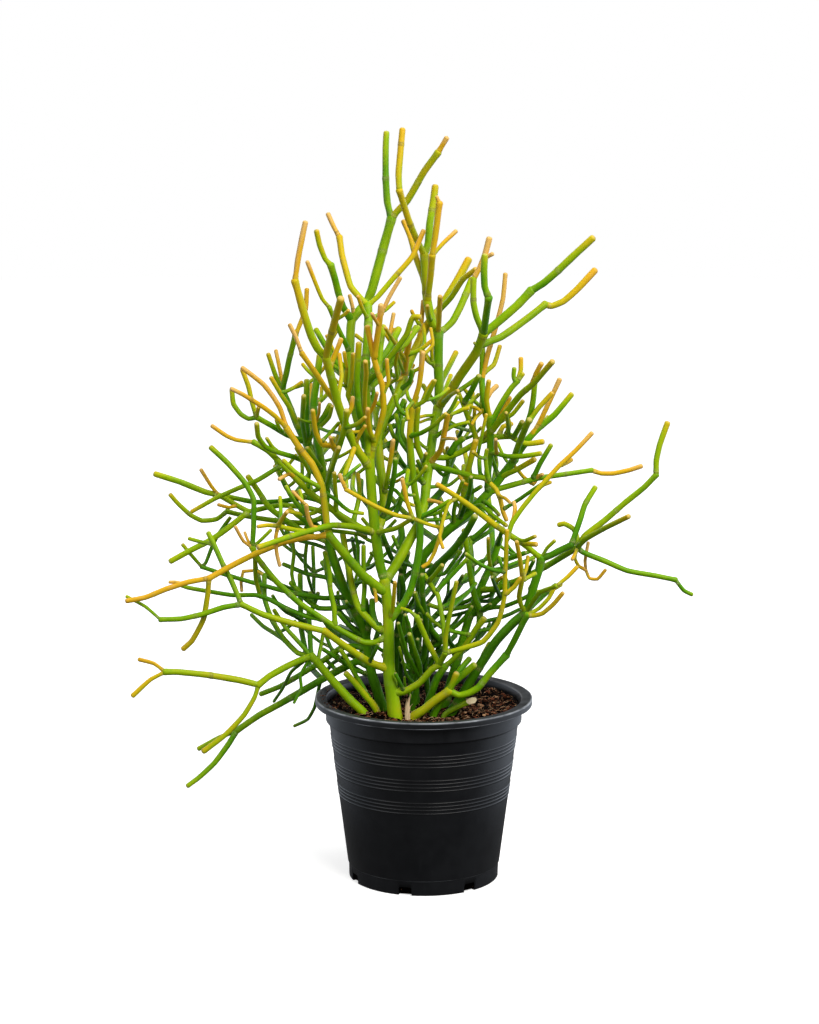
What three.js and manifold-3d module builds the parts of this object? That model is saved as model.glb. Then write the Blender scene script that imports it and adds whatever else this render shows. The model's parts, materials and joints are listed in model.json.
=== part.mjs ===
// A pencil-stem euphorbia in a round nursery pot. Millimetres, +Z up.
// The origin is the middle of the pot's underside, and the plant's best side faces -Y.
import * as THREE from 'three';
import { mergeVertices } from 'three/addons/utils/BufferGeometryUtils.js';
import Module from 'manifold-3d';

const wasm = await Module();
wasm.setup();

// ---------------------------------------------------------------- driving dimensions
const POT = {
  height: 238,
  rimRadius: 140,
  rimMouth: 126,
  rimEdge: 1.2,
  rimDish: 1,
  lipDepth: 9,
  lipEdge: 0.5,
  collarRadius: 126.3,
  collarFoot: 207.5,
  shoulderRadius: 122.2,
  shoulderFoot: 205.5,
  footRadius: 98.5,
  stepHeight: 18.7,
  baseRadius: 97,
  wall: 2,
  sides: 30,
};
const RING = { middles: [181, 149, 118.6], crests: 4, pitch: 4.7, stands: 0.6 };
const NOTCH = { count: 7, width: 17, height: 11, first: -14.5, depth: 9, past: 2, below: 10 };
const SOIL = { level: 225, relief: 2.4, root: 30 };
const GAP = 0.3;

// How far a straight run may leave its route, and the smallest edge that a join keeps.
const SLACK = { route: 3.9, surface: 0.25 };

// A stem's route is given as it is seen from this eye point: across and up on the plane y = 0.
const EYE = { across: -18.4, back: 3300, up: 1063 };

// How many sides a shoot has from which thickness on.
const SIDES = { most: { from: 12.5, count: 7 }, more: { from: 10.5, count: 5 }, least: 4 };

// Where two twigs would touch, the later one is swung in depth by whole steps of this many millimetres.
const SWING = { step: 8, most: 9, clear: 1, rootFree: 15 };

// Shoots that fill the crown where no route is listed: first long ones that reach back from the thick
// shoots, then twigs between all the others. The first number drawn comes from the seed.
const FILL_SEED = 20411;
const FILLS = [
  { wanted: 14, tries: 900, host: 8, near: 34, far: 300, shortest: 90, longest: 250, inner: 0.62, front: 0.08,
    thick: 8.4, thin: 6.8 },
  { wanted: 8, tries: 900, host: 5.4, near: 18, far: 80, shortest: 35, longest: 120, inner: 0.25, front: 0.2,
    thick: 6.6, thin: 5.8 },
];

// ---------------------------------------------------------------- the stems
// Each stem is its name, the depth y of its foot and its shoot. A shoot is its thickness at the foot and
// at the tip, the depth y at its tip, its route as [across, up] points, and the shoots that grow from it.
const STEMS = [
["stem_main", -62,
 [18, 13, -48, [[-37, 209], [-41, 241], [-45, 273], [-45, 300], [-46, 350], [-50, 388]], [
  [10, 8.5, -92, [[-46, 273], [-70, 282], [-97, 300], [-128, 323]], [
   [8.5, 7.5, -115, [[-128, 323], [-165, 332], [-205, 344], [-234, 358]], [
    [7.5, 6.5, -130, [[-234, 358], [-257, 354], [-284, 345], [-311, 339], [-338, 338]], [
     [4.5, 4.5, -125, [[-338, 338], [-357, 355], [-382, 369]], []]]],
    [7, 6.5, -85, [[-234, 358], [-246, 388], [-256, 408], [-268, 436], [-276, 453]], [
     [5, 5, -70, [[-268, 436], [-283, 439], [-301, 444]], []]]]]]]],
  [9.5, 8.5, -78, [[-42, 243], [-25, 243], [-5, 255], [10, 272], [20, 279]], [
   [7.5, 7, -92, [[20, 279], [6, 306], [-9, 341]], [
    [5.5, 4.5, -80, [[-9, 341], [-18, 349], [-30, 353]], []]]],
   [8, 7.5, -92, [[20, 279], [28, 294]], [
    [7, 5.5, -115, [[28, 294], [28, 317], [36, 359], [42, 389]], []],
    [6.5, 5.5, -80, [[28, 294], [25, 331], [18, 370], [8, 385], [0, 398]], []],
    [7, 5.5, -115, [[28, 294], [50, 300], [76, 309], [95, 334], [103, 366], [104, 400], [106, 456]], [
     [6.5, 6, -95, [[104, 440], [112, 463], [125, 483], [140, 502], [163, 528], [172, 538], [192, 557],
       [214, 581]], [
      [5.5, 5.5, -80, [[172, 538], [180, 541], [188, 546]], []],
      [5, 5, -90, [[143, 506], [152, 513], [162, 517]], []]]],
     [6.5, 5.5, -95, [[103, 370], [116, 381], [124, 394]], []]]]]]]],
  [8, 7.5, -78, [[-46, 318], [-62, 308], [-77, 308], [-104, 322], [-130, 339], [-160, 360], [-189, 388],
    [-213, 419], [-219, 432]], [
   [7, 6.5, -55, [[-114, 329], [-115, 352], [-120, 378], [-121, 400], [-127, 428]], []],
   [6.5, 5.5, -55, [[-128, 338], [-150, 342], [-175, 352], [-197, 364], [-215, 370], [-245, 370],
     [-276, 375], [-303, 380], [-314, 384]], []],
   [7, 7, -60, [[-219, 432], [-217, 465], [-217, 495], [-227, 515], [-249, 541], [-272, 563]], []],
   [4.5, 4.5, -95, [[-219, 432], [-230, 440], [-241, 460]], []],
   [4, 4, -70, [[-220, 434], [-225, 442], [-229, 453]], []],
   [5, 4.5, -75, [[-219, 432], [-206, 444], [-194, 456]], []],
   [5.5, 5.5, -60, [[-217, 426], [-215, 390], [-209, 366]], []]]],
  [12, 10.5, -80, [[-49, 373], [-77, 395], [-100, 422], [-122, 449]], [
   [9, 8, -62, [[-122, 449], [-125, 474], [-130, 513], [-142, 540], [-158, 561], [-174, 586]], [
    [6.5, 6, -45, [[-174, 586], [-182, 611], [-190, 625], [-202, 641], [-215, 652], [-231, 664]], []],
    [6.5, 5.5, -80, [[-174, 586], [-188, 601], [-202, 612], [-229, 629], [-245, 637]], []]]],
   [8, 7.5, -118, [[-122, 449], [-137, 446], [-152, 445], [-179, 439], [-213, 425], [-241, 411],
     [-275, 392]], [
    [7, 6.5, -128, [[-275, 392], [-302, 387], [-330, 378], [-357, 367], [-383, 362]], [
     [5, 4.5, -120, [[-310, 384], [-318, 387], [-327, 387]], []]]],
    [7, 7, -125, [[-275, 392], [-277, 370], [-283, 338], [-298, 310], [-311, 298]], []]]]]],
  [9, 7.5, -32, [[-46, 324], [-57, 326], [-71, 339], [-84, 354], [-91, 378], [-98, 415], [-104, 452]], []],
  [10, 9, -34, [[-45, 336], [-25, 360], [-17, 377], [-12, 395], [-8, 416], [-5, 440], [-5, 466]], [
   [9, 8, -66, [[-5, 466], [-8, 487], [-12, 508], [-16, 549], [-18, 576], [-15, 612]], [
    [7, 6.5, -85, [[-15, 612], [-6, 642], [-1, 684]], []],
    [6, 5, -95, [[-15, 612], [2, 622], [14, 648]], []]]]]],
  [13, 12, -36, [[-50, 388], [-56, 409], [-62, 450], [-65, 480], [-67, 508], [-70, 565], [-72, 600],
    [-74, 640], [-74, 669]], [
   [9.5, 7, -68, [[-61, 455], [-77, 456], [-104, 472], [-128, 490], [-144, 502], [-169, 528], [-198, 557],
     [-216, 568]], [
    [5.5, 5.5, -68, [[-216, 568], [-238, 571], [-250, 576], [-270, 590]], []],
    [5, 5, -90, [[-165, 524], [-172, 527], [-185, 520]], []],
    [6.5, 5.5, -40, [[-180, 539], [-212, 519], [-236, 509], [-265, 496], [-297, 478]], []]]],
   [8, 7, -92, [[-62, 452], [-90, 459], [-117, 461], [-145, 454], [-172, 446], [-213, 432]], [
    [6, 5, -108, [[-150, 453], [-170, 456], [-186, 460], [-200, 461], [-213, 459]], [
     [6, 5.5, -120, [[-186, 460], [-183, 466], [-174, 479]], []],
     [5, 5, -125, [[-186, 460], [-189, 446], [-188, 425], [-184, 407]], []]]],
    [5.5, 5.5, -85, [[-136, 457], [-143, 460], [-148, 472], [-150, 487]], [
     [4.5, 4.5, -85, [[-150, 487], [-158, 495], [-168, 506]], []]]]]],
   [6.5, 6, -98, [[-62, 451], [-36, 457], [-14, 470]], [
    [6, 5.5, -112, [[-14, 470], [-36, 474], [-63, 486], [-99, 507]], [
     [5.5, 5.5, -112, [[-99, 507], [-108, 528]], []]]],
    [5.5, 5.5, -105, [[-14, 470], [-21, 490], [-28, 522]], []],
    [5.5, 4.5, -108, [[-14, 470], [0, 464], [23, 457]], [
     [5, 5, -112, [[23, 457], [14, 427], [6, 412], [-3, 406]], []]]]]],
   [11.5, 11, -2, [[-61, 446], [-52, 475], [-51, 500], [-56, 542], [-57, 574], [-43, 611], [-33, 631],
     [-24, 656], [-16, 676], [-6, 697], [4, 717], [16, 732]], [
    [10.5, 10, 20, [[16, 732], [27, 750], [42, 774], [57, 802]], []],
    [7.5, 7, 10, [[16, 732], [34, 752], [49, 775], [66, 788]], []],
    [8, 8, -48, [[-25, 654], [-22, 680], [-17, 708]], []],
    [6, 5.5, -45, [[-20, 666], [-34, 684], [-45, 701], [-53, 713]], [
     [5.5, 5.5, -45, [[-44, 700], [-42, 712], [-38, 733]], []]]],
    [6, 5, -55, [[-26, 651], [-40, 646], [-51, 637]], []],
    [6, 6, 5, [[-8, 693], [-4, 715], [-1, 749]], []]]],
   [8.5, 8, -70, [[-71, 585], [-81, 601], [-85, 640], [-82, 696]], []],
   [8.5, 7, -75, [[-69, 545], [-57, 584], [-51, 610], [-53, 641], [-62, 670], [-72, 717]], [
    [7.5, 7.5, -95, [[-63, 674], [-60, 695], [-56, 722], [-54, 744]], [
     [5.5, 5.5, -90, [[-55, 727], [-44, 752], [-29, 778]], []],
     [5, 5, -105, [[-57, 717], [-61, 723], [-66, 732]], []]]],
    [8, 8, -60, [[-58, 655], [-55, 690], [-51, 718]], []]]],
   [11, 10, -72, [[-69, 535], [-84, 557], [-97, 584], [-105, 605], [-111, 625], [-117, 650],
     [-124, 676]], [
    [10.5, 9, -88, [[-124, 676], [-134, 687], [-142, 703], [-150, 728], [-162, 772]], [
     [7, 7, -85, [[-162, 772], [-158, 800], [-152, 830], [-148, 848]], []]]],
    [8.5, 9, -105, [[-124, 676], [-120, 693], [-112, 724], [-104, 752]], []],
    [7, 6.5, -60, [[-108, 615], [-120, 630], [-134, 652], [-154, 681]], [
     [5.5, 5.5, -55, [[-154, 681], [-162, 703], [-170, 719]], []]]],
    [7, 6, -110, [[-119, 662], [-108, 690], [-104, 701]], []]]],
   [12, 11.5, -18, [[-70, 556], [-82, 590], [-91, 625], [-94, 660], [-93, 700], [-91, 723], [-72, 746]], [
    [12.5, 11.5, 0, [[-72, 746], [-66, 760], [-59, 785], [-50, 818], [-41, 850]], [
     [9.5, 8, 14, [[-41, 850], [-46, 870], [-48, 900], [-48, 938], [-47, 959]], []],
     [9, 8.5, -18, [[-41, 850], [-35, 858], [-21, 873], [0, 909], [17, 932]], [
      [7, 7, -24, [[17, 932], [29, 952]], []]]]]],
    [9, 8.5, -50, [[-91, 723], [-102, 740], [-107, 755], [-112, 775], [-117, 792]], [
     [7, 7, -60, [[-117, 792], [-124, 800], [-131, 818], [-135, 837]], []]]],
    [7, 6, -60, [[-94, 682], [-104, 704], [-113, 724], [-119, 739]], [
     [5.5, 5.5, -75, [[-119, 739], [-128, 750], [-141, 782], [-147, 798]], []]]],
    [7.5, 7, 10, [[-94, 650], [-112, 671], [-124, 690], [-137, 713]], []],
    [6.5, 6.5, 30, [[-92, 635], [-105, 655], [-117, 673]], []],
    [5.5, 5, -20, [[-88, 727], [-90, 740], [-94, 756]], []]]],
   [11, 11, 5, [[-74, 669], [-71, 700], [-70, 725], [-71, 741]], [
    [7, 6.5, 26, [[-71, 741], [-58, 753], [-41, 773], [-15, 803], [0, 837]], []],
    [8.5, 8, 35, [[-71, 741], [-92, 765], [-98, 785], [-103, 805], [-106, 827]], [
     [6.5, 6.5, 40, [[-106, 827], [-113, 840], [-121, 858]], []]]]]],
   [9, 9, 25, [[-74, 648], [-60, 664], [-45, 686], [-31, 714]], []],
   [7.5, 7, -5, [[-74, 642], [-58, 657], [-38, 683], [-22, 705], [-14, 727], [-3, 727]], []],
   [7.5, 7.5, 50, [[-73, 632], [-55, 650], [-36, 675], [-9, 716]], []]]],
  [13, 12, -36, [[-50, 388], [-36, 409], [-25, 429], [-16, 446], [-6, 464], [1, 494], [3, 515], [6, 535],
    [11, 576], [18, 612]], [
   [8, 7, -72, [[6, 539], [37, 531], [64, 524], [77, 522]], [
    [6.5, 6, -88, [[77, 522], [91, 508], [97, 495], [101, 478], [106, 466]], []],
    [5, 4, -70, [[44, 529], [50, 516], [56, 513], [62, 520]], []]]],
   [8, 7.5, -40, [[8, 550], [25, 548], [44, 554], [67, 567], [88, 574], [110, 576]], [
    [7.5, 7.5, -45, [[110, 576], [120, 569], [131, 566], [153, 569]], []],
    [7.5, 5.5, -60, [[67, 567], [64, 580], [57, 596], [50, 615], [43, 633]], []],
    [7.5, 7, -75, [[67, 567], [85, 585], [96, 601], [109, 627]], []],
    [7, 6, -30, [[94, 575], [100, 588], [113, 592]], []],
    [7, 7, -50, [[104, 576], [108, 590], [104, 604]], []]]],
   [7.5, 7, -62, [[7, 541], [14, 548], [21, 558], [27, 586], [30, 604]], []],
   [8, 7.5, -52, [[5, 528], [-1, 545], [-8, 562], [-10, 582], [-8, 612]], []],
   [5.5, 4.5, -68, [[1, 494], [14, 492], [26, 489], [38, 495]], []],
   [12.5, 12, -22, [[18, 612], [19, 640], [18, 662], [18, 707]], [
    [12.5, 10.5, -12, [[18, 707], [9, 723], [4, 747], [2, 770], [0, 805]], [
     [10, 9, 6, [[0, 805], [5, 820], [7, 845], [11, 869], [14, 893]], []],
     [8.5, 8.5, -26, [[0, 805], [-12, 830], [-20, 850], [-31, 885]], [
      [8.6, 7.8, -10, [[-31, 885], [-32, 905], [-30, 930], [-27, 963]], []]]],
     [8.5, 6.5, 15, [[2, 768], [-10, 801], [-18, 829], [-27, 849]], []],
     [8.5, 8.5, -40, [[4, 747], [8, 779], [10, 804]], [
      [8, 8, -48, [[10, 804], [14, 829], [19, 869]], [
       [5.5, 5.5, -50, [[19, 869], [15, 879]], []]]],
      [5.5, 5.5, -25, [[10, 804], [24, 820], [41, 836]], []]]]]],
    [9, 9.5, 8, [[18, 707], [27, 713], [36, 722], [46, 741], [61, 777]], []],
    [7.5, 7.5, 15, [[18, 640], [28, 658], [41, 684]], []],
    [7, 6.5, -50, [[16, 728], [20, 754]], []]]],
   [12, 11.5, -48, [[18, 612], [34, 634], [45, 652], [56, 668], [66, 683], [75, 706]], [
    [8.5, 7.5, -42, [[75, 706], [66, 727], [62, 745], [62, 775]], [
     [7, 8, -42, [[62, 775], [70, 790], [76, 805], [82, 828]], [
      [5.5, 5.5, -50, [[76, 800], [87, 807]], []]]]]],
    [9.5, 9, -66, [[75, 706], [78, 730], [81, 751]], [
     [9, 8.5, -68, [[81, 751], [76, 765], [75, 785], [76, 807]], []]]],
    [11, 10.5, -88, [[75, 706], [99, 726], [117, 742], [134, 760]], [
     [10, 9, -105, [[134, 760], [150, 770], [165, 783], [187, 804], [213, 828]], []]]],
    [9.5, 9, -15, [[70, 691], [97, 702], [132, 727], [152, 743]], [
     [8.5, 9, -5, [[152, 743], [160, 741], [175, 747], [192, 762], [216, 788]], []]]],
    [4, 4, -60, [[68, 688], [63, 695]], []]]],
   [6.5, 6, -70, [[18, 612], [4, 632], [-2, 642]], []],
   [6.5, 6.5, 0, [[15, 596], [27, 635], [34, 654]], []]]],
  [5.5, 5, -66, [[-44, 336], [-40, 352], [-37, 388]], []]]],
],
["stem_left", -50,
 [11.5, 10, -58, [[-76, 212], [-95, 232], [-118, 258], [-135, 279], [-145, 290]], [
  [9, 8.5, -78, [[-145, 290], [-160, 284], [-175, 277], [-198, 264], [-213, 252]], [
   [9, 8, -92, [[-213, 252], [-237, 258], [-278, 265], [-318, 269], [-333, 269]], [
    [5, 5.5, -82, [[-333, 269], [-347, 280], [-368, 286]], []],
    [5.5, 6.5, -102, [[-333, 269], [-352, 259], [-377, 236]], []]]],
   [6, 7.5, -98, [[-213, 252], [-218, 236], [-232, 212], [-256, 186], [-287, 162]], []]]],
  [7, 6.5, -25, [[-145, 290], [-162, 294], [-181, 314], [-195, 338], [-204, 365], [-204, 396]], [
   [4.5, 4.5, -30, [[-204, 396], [-216, 402], [-231, 401]], [
    [4.5, 4.5, -35, [[-231, 401], [-234, 388], [-233, 374]], []]]],
   [6, 5.5, 15, [[-176, 309], [-192, 320], [-206, 329], [-222, 345]], []]]],
  [7, 6, -40, [[-145, 290], [-146, 310], [-147, 335], [-148, 350]], []],
  [6, 5.5, -10, [[-145, 290], [-163, 311], [-178, 328], [-193, 352]], []],
  [5.5, 5, -30, [[-137, 281], [-133, 300], [-128, 325]], []],
  [4.5, 4, -60, [[-160, 284], [-170, 270], [-182, 247], [-194, 229]], []],
  [4.5, 4, -50, [[-164, 282], [-159, 264], [-158, 248], [-168, 227]], []]]],
],
["stem_left_stub", -45,
 [8.5, 7.5, -52, [[-60, 216], [-66, 227], [-77, 240], [-90, 256], [-102, 269]], []],
],
["stem_back_left", -26,
 [13, 11, -12, [[-53, 219], [-59, 241], [-67, 266], [-73, 301], [-76, 324], [-91, 354], [-104, 384],
   [-118, 425], [-124, 450], [-126, 478], [-125, 505]], [
  [9.5, 8.5, -10, [[-69, 277], [-85, 283], [-104, 274], [-131, 259], [-158, 243], [-185, 227],
    [-212, 212], [-242, 191]], [
   [6.5, 6.5, -5, [[-242, 191], [-264, 182], [-293, 166]], []],
   [8, 6.5, -30, [[-242, 191], [-252, 174], [-271, 148], [-292, 128], [-308, 116]], []]]],
  [8, 7, 20, [[-73, 300], [-90, 303], [-106, 301], [-125, 287], [-158, 266], [-185, 250], [-212, 239]], []],
  [5.5, 4.5, 62, [[-70, 285], [-95, 292], [-118, 280], [-133, 256], [-141, 222], [-150, 206],
    [-168, 197]], []],
  [7, 5.5, 10, [[-97, 368], [-128, 366], [-160, 371], [-185, 377], [-221, 387], [-261, 399],
    [-284, 407]], [
   [5, 5, 0, [[-284, 407], [-296, 421], [-309, 437]], []],
   [5, 5, 20, [[-284, 407], [-279, 412], [-271, 432], [-262, 450], [-246, 472]], []]]],
  [7, 6.5, -10, [[-92, 356], [-110, 353], [-135, 353], [-150, 364], [-172, 388]], [
   [5, 5, -5, [[-166, 381], [-169, 398], [-166, 425], [-169, 452]], []]]],
  [7.5, 7, -35, [[-122, 440], [-145, 448], [-165, 460], [-185, 474], [-198, 485], [-210, 504],
    [-225, 526]], []],
  [6.5, 5.5, 35, [[-104, 384], [-125, 393], [-150, 398], [-181, 411]], []],
  [7, 6.5, -35, [[-126, 478], [-150, 484], [-181, 487], [-200, 484], [-223, 479], [-242, 489],
    [-261, 500]], [
   [8, 8, -30, [[-261, 500], [-278, 504], [-310, 517], [-344, 528]], []],
   [5, 5, -45, [[-261, 500], [-270, 511], [-284, 534]], []],
   [7.5, 7.5, -60, [[-223, 479], [-244, 462], [-270, 443], [-297, 429], [-326, 413]], []],
   [4.5, 4.5, -50, [[-238, 487], [-248, 484], [-263, 488]], []]]],
  [6.5, 6.5, 10, [[-125, 490], [-150, 497], [-181, 492], [-215, 491], [-254, 499]], []],
  [7, 6.5, 0, [[-126, 472], [-150, 464], [-181, 466], [-216, 471], [-240, 476], [-251, 479]], [
   [6.5, 6, -15, [[-251, 479], [-264, 469], [-283, 467], [-297, 474], [-313, 489], [-324, 502]], []],
  ]],
  [10, 9, 0, [[-125, 505], [-129, 535], [-136, 575], [-140, 615], [-135, 650], [-131, 681]], []],
  [8.5, 7.5, -40, [[-125, 505], [-116, 540], [-108, 562], [-100, 588], [-98, 610]], [
   [6, 6, -68, [[-110, 556], [-118, 563], [-129, 565], [-137, 580], [-141, 610]], []],
   [5, 5, -60, [[-113, 560], [-116, 566], [-119, 575]], []]]],
  [10, 8.5, 5, [[-125, 505], [-133, 528], [-139, 545], [-147, 561], [-161, 590], [-172, 619],
    [-179, 635]], [
   [6.5, 6, 0, [[-179, 635], [-187, 652], [-197, 682]], []],
   [5.5, 5.5, 20, [[-179, 635], [-181, 655], [-187, 686]], []],
   [8, 7.5, 20, [[-179, 635], [-174, 655], [-170, 674], [-162, 704]], [
    [6.5, 6.5, 25, [[-162, 704], [-149, 737], [-147, 764]], []]]],
   [6.5, 6, -15, [[-158, 584], [-170, 612], [-182, 631], [-194, 652]], []],
   [8, 7.5, 0, [[-147, 561], [-149, 600], [-148, 649]], []],
   [6.5, 6.5, 18, [[-147, 561], [-143, 600], [-143, 643]], []],
   [6.5, 6.5, -20, [[-149, 566], [-154, 595], [-152, 628]], []],
   [7, 7, -25, [[-151, 569], [-173, 577], [-191, 588], [-212, 600]], [
    [6.5, 6.5, -22, [[-212, 600], [-222, 598], [-232, 604], [-241, 617], [-243, 637]], []],
    [6.5, 6.5, -20, [[-212, 600], [-217, 617], [-222, 640], [-230, 662]], []],
    [5.5, 5.5, -40, [[-212, 600], [-209, 614]], []]]]]],
  [6.5, 6.5, -40, [[-129, 520], [-148, 541], [-165, 549], [-185, 555], [-201, 562], [-210, 575],
    [-212, 593]], [
   [5.5, 5, -45, [[-186, 555], [-193, 563], [-200, 574]], []]]]]],
],
["stem_front_right", -60,
 [11, 10.5, -72, [[-14, 209], [0, 219], [14, 231], [33, 244]], [
  [8, 8, -70, [[33, 244], [38, 256], [43, 269]], []],
  [9, 9, -72, [[33, 244], [45, 238], [58, 241], [70, 248], [84, 266], [106, 291]], [
   [8.5, 7.5, -98, [[106, 291], [116, 310], [126, 331], [133, 344]], [
    [6.5, 5.5, -118, [[133, 344], [140, 343], [152, 346], [166, 358], [179, 374]], []],
    [5.5, 5, -105, [[133, 344], [148, 353], [160, 366], [168, 381]], []]]]]]]],
],
["stem_right", -42,
 [12.5, 11.5, -66, [[33, 212], [41, 224], [49, 237], [56, 250], [73, 279], [94, 311], [115, 334],
   [131, 347]], [
  [7, 7, -38, [[68, 275], [77, 292], [86, 308]], []],
  [11, 10.5, -70, [[131, 347], [137, 368], [142, 386], [147, 402], [150, 418]], [
   [8, 6.5, -112, [[150, 418], [128, 436], [110, 448], [91, 461], [64, 482], [37, 501], [15, 515]], [
    [6.5, 6.5, -100, [[123, 439], [133, 437], [145, 436]], []],
    [5, 5, -98, [[116, 443], [128, 441], [143, 447]], []],
    [4.5, 4.5, -118, [[42, 497], [31, 488], [20, 446], [25, 430]], []]]],
   [10, 8.5, -64, [[150, 418], [162, 422], [175, 429], [188, 435]], [
    [7.5, 7, -45, [[188, 435], [193, 450], [199, 468], [205, 488], [219, 512]], []]]],
   [5, 5, -80, [[150, 418], [157, 431], [168, 442]], []]]],
  [7, 6.5, -80, [[131, 347], [145, 362], [159, 375], [170, 384]], []],
  [6.5, 5.5, -90, [[131, 347], [125, 356], [122, 368], [126, 392], [123, 416], [118, 441]], []],
  [6.5, 5.5, -58, [[134, 358], [148, 373], [170, 382]], [
   [5.5, 5.5, -52, [[170, 382], [184, 394], [197, 408]], []]]]]],
],
["stem_back_right", -14,
 [12.5, 9, 20, [[26, 222], [34, 252], [45, 292], [55, 330], [64, 358], [75, 385], [88, 415], [98, 447]], [
  [8.5, 7.5, -20, [[47, 298], [62, 316], [71, 332], [72, 350], [65, 368], [60, 395], [56, 425],
    [51, 457]], [
   [7, 7, -5, [[57, 418], [58, 430], [60, 445]], []]]],
  [9, 8, 0, [[60, 345], [74, 350], [88, 358], [100, 370], [113, 379]], [
   [6, 5, -10, [[98, 368], [88, 395], [83, 420], [82, 445]], []]]],
  [8.5, 8, -30, [[72, 377], [90, 378], [115, 387], [135, 396], [162, 411], [178, 421], [196, 432]], [
   [8, 7.5, -50, [[196, 432], [205, 447], [230, 467], [257, 491], [280, 510], [295, 526]], [
    [7.5, 7.5, -45, [[295, 526], [295, 545], [299, 565], [309, 595]], []]]],
   [7, 6.5, -62, [[196, 432], [206, 443], [230, 457], [262, 473]], []],
   [7.5, 6.5, -35, [[196, 432], [203, 426], [230, 415], [260, 402], [298, 395], [322, 390]], [
    [5.5, 5.5, -35, [[322, 390], [333, 376], [345, 370]], []]]],
   [6.5, 6.5, -50, [[196, 432], [196, 444], [191, 456], [179, 463], [170, 461]], []],
   [5, 5, -55, [[196, 432], [193, 423], [189, 416]], []],
   [4.5, 4.5, -20, [[196, 432], [193, 418], [198, 408], [207, 403]], [
    [4.5, 4.5, -22, [[207, 403], [206, 415], [210, 440]], []],
    [4.5, 4.5, -30, [[207, 403], [212, 392], [222, 391], [233, 404]], []]]]]],
  [6, 5, 40, [[90, 420], [105, 416], [120, 421], [138, 428]], []],
  [6.5, 6, 50, [[81, 398], [100, 403], [125, 412], [142, 420]], []],
  [5.5, 5, 0, [[67, 365], [85, 370], [105, 394]], []]]],
],
["stem_middle", 6,
 [13.5, 12.5, 14, [[-12, 226], [-14, 260], [-10, 300], [-6, 350], [-4, 388]], [
  [12, 10.5, 22, [[-4, 388], [-1, 420], [17, 441], [30, 454], [57, 478], [84, 505], [105, 533],
    [115, 546]], [
   [9.5, 7.5, 30, [[115, 546], [132, 572], [145, 586], [165, 603], [188, 631]], [
    [6.5, 6.5, 15, [[136, 577], [146, 593], [158, 619], [172, 650]], []],
    [6.5, 5.5, 25, [[148, 588], [158, 602]], []]]],
   [8.5, 8, 8, [[113, 543], [120, 565], [128, 585], [134, 598]], [
    [7.5, 7, 0, [[127, 583], [135, 605], [138, 622], [140, 645]], []],
    [7, 6.5, 30, [[131, 592], [145, 612], [163, 632]], []]]],
   [8, 6.5, 30, [[84, 505], [105, 511], [119, 515], [146, 522], [180, 527], [213, 532]], [
    [6.5, 6.5, 25, [[213, 532], [225, 528], [241, 528], [260, 532], [278, 538]], []],
    [7.5, 6.5, 10, [[138, 520], [147, 540], [162, 566]], []],
    [5, 5, 15, [[143, 521], [146, 525], [152, 527]], []]]],
   [10, 8.5, 5, [[82, 503], [81, 530], [84, 555], [84, 578], [83, 600]], [
    [6.5, 6.5, -2, [[84, 556], [105, 550], [125, 550], [150, 554]], []],
    [7.5, 7, 10, [[83, 590], [98, 618], [110, 637], [118, 646]], [
     [6, 6, 8, [[116, 644], [113, 652], [114, 664]], []],
     [6.5, 6.5, 15, [[118, 646], [122, 660], [122, 677]], []],
     [6.5, 6.5, 8, [[118, 646], [126, 657]], []]]],
    [8.5, 7.5, -25, [[84, 580], [107, 610], [122, 629], [138, 643], [163, 672]], [
     [6.5, 6.5, -28, [[137, 642], [141, 655], [149, 670]], []]]],
    [8, 8, 20, [[83, 590], [76, 615], [73, 645], [74, 672], [72, 700]], [
     [7, 6, 22, [[74, 648], [80, 679], [92, 721], [99, 750], [102, 783]], []],
     [6.5, 6, 5, [[74, 655], [88, 667], [96, 692]], []]]],
    [7, 6.5, -10, [[84, 585], [75, 612], [84, 632], [93, 641]], []],
    [7, 6.5, 0, [[80, 600], [79, 622], [82, 648]], []]]],
   [7.5, 7.5, -5, [[98, 524], [118, 533], [130, 540], [142, 547]], []],
   [5, 5, -20, [[107, 537], [114, 538], [126, 524], [139, 514], [144, 523]], []],
   [8.5, 8, -25, [[47, 469], [49, 490], [54, 523], [60, 548], [66, 572]], []],
   [6.5, 6, 10, [[78, 498], [86, 510], [92, 540], [88, 560]], []]]],
  [10.5, 8.5, -2, [[-4, 386], [18, 410], [38, 430], [54, 452], [66, 474]], []],
  [8, 7, 14, [[-13, 240], [-14, 262], [-24, 300], [-26, 330], [-33, 362]], []],
  [8, 7, -6, [[-12, 250], [-8, 268], [-14, 290], [-21, 335]], [
   [5.5, 5.5, -25, [[-13, 286], [-9, 300], [-8, 313]], []]]],
  [8, 7, 10, [[-12, 262], [0, 290], [3, 330], [-2, 372], [-2, 398]], []],
  [7.5, 6.5, -28, [[-10, 296], [22, 308], [10, 325], [2, 350], [-5, 356], [-12, 375]], []]]],
],
["stem_inner_left", -30,
 [8.5, 7, -38, [[-16, 217], [-13, 232], [-9, 250], [-4, 266]], [
  [6.5, 5.5, -30, [[-4, 266], [-10, 288], [-16, 316], [-24, 345]], []],
  [5.5, 5, -48, [[-6, 262], [-13, 276], [-24, 300], [-33, 334]], []]]],
],
["stem_inner_right", -26,
 [9.5, 9, -40, [[3, 218], [9, 238], [17, 260], [27, 276]], [
  [7.5, 8, -60, [[27, 276], [40, 288], [55, 306], [68, 327], [79, 341]], []]]],
],
["stem_inner_back", 14,
 [8.5, 7, 24, [[8, 229], [4, 256], [2, 280], [4, 304], [6, 330], [3, 358]], []],
],
["stem_behind_trunk", 26,
 [10.5, 9, 36, [[-34, 232], [-31, 262], [-31, 305], [-30, 345], [-30, 385], [-22, 425]], [
  [6.5, 6, 20, [[-30, 385], [-18, 399], [-4, 405], [12, 410]], []]]],
],
["stem_cut_right", -52,
 [9, 8.5, -66, [[12, 211], [19, 224], [26, 237], [34, 250], [50, 265], [67, 280]], [
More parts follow.
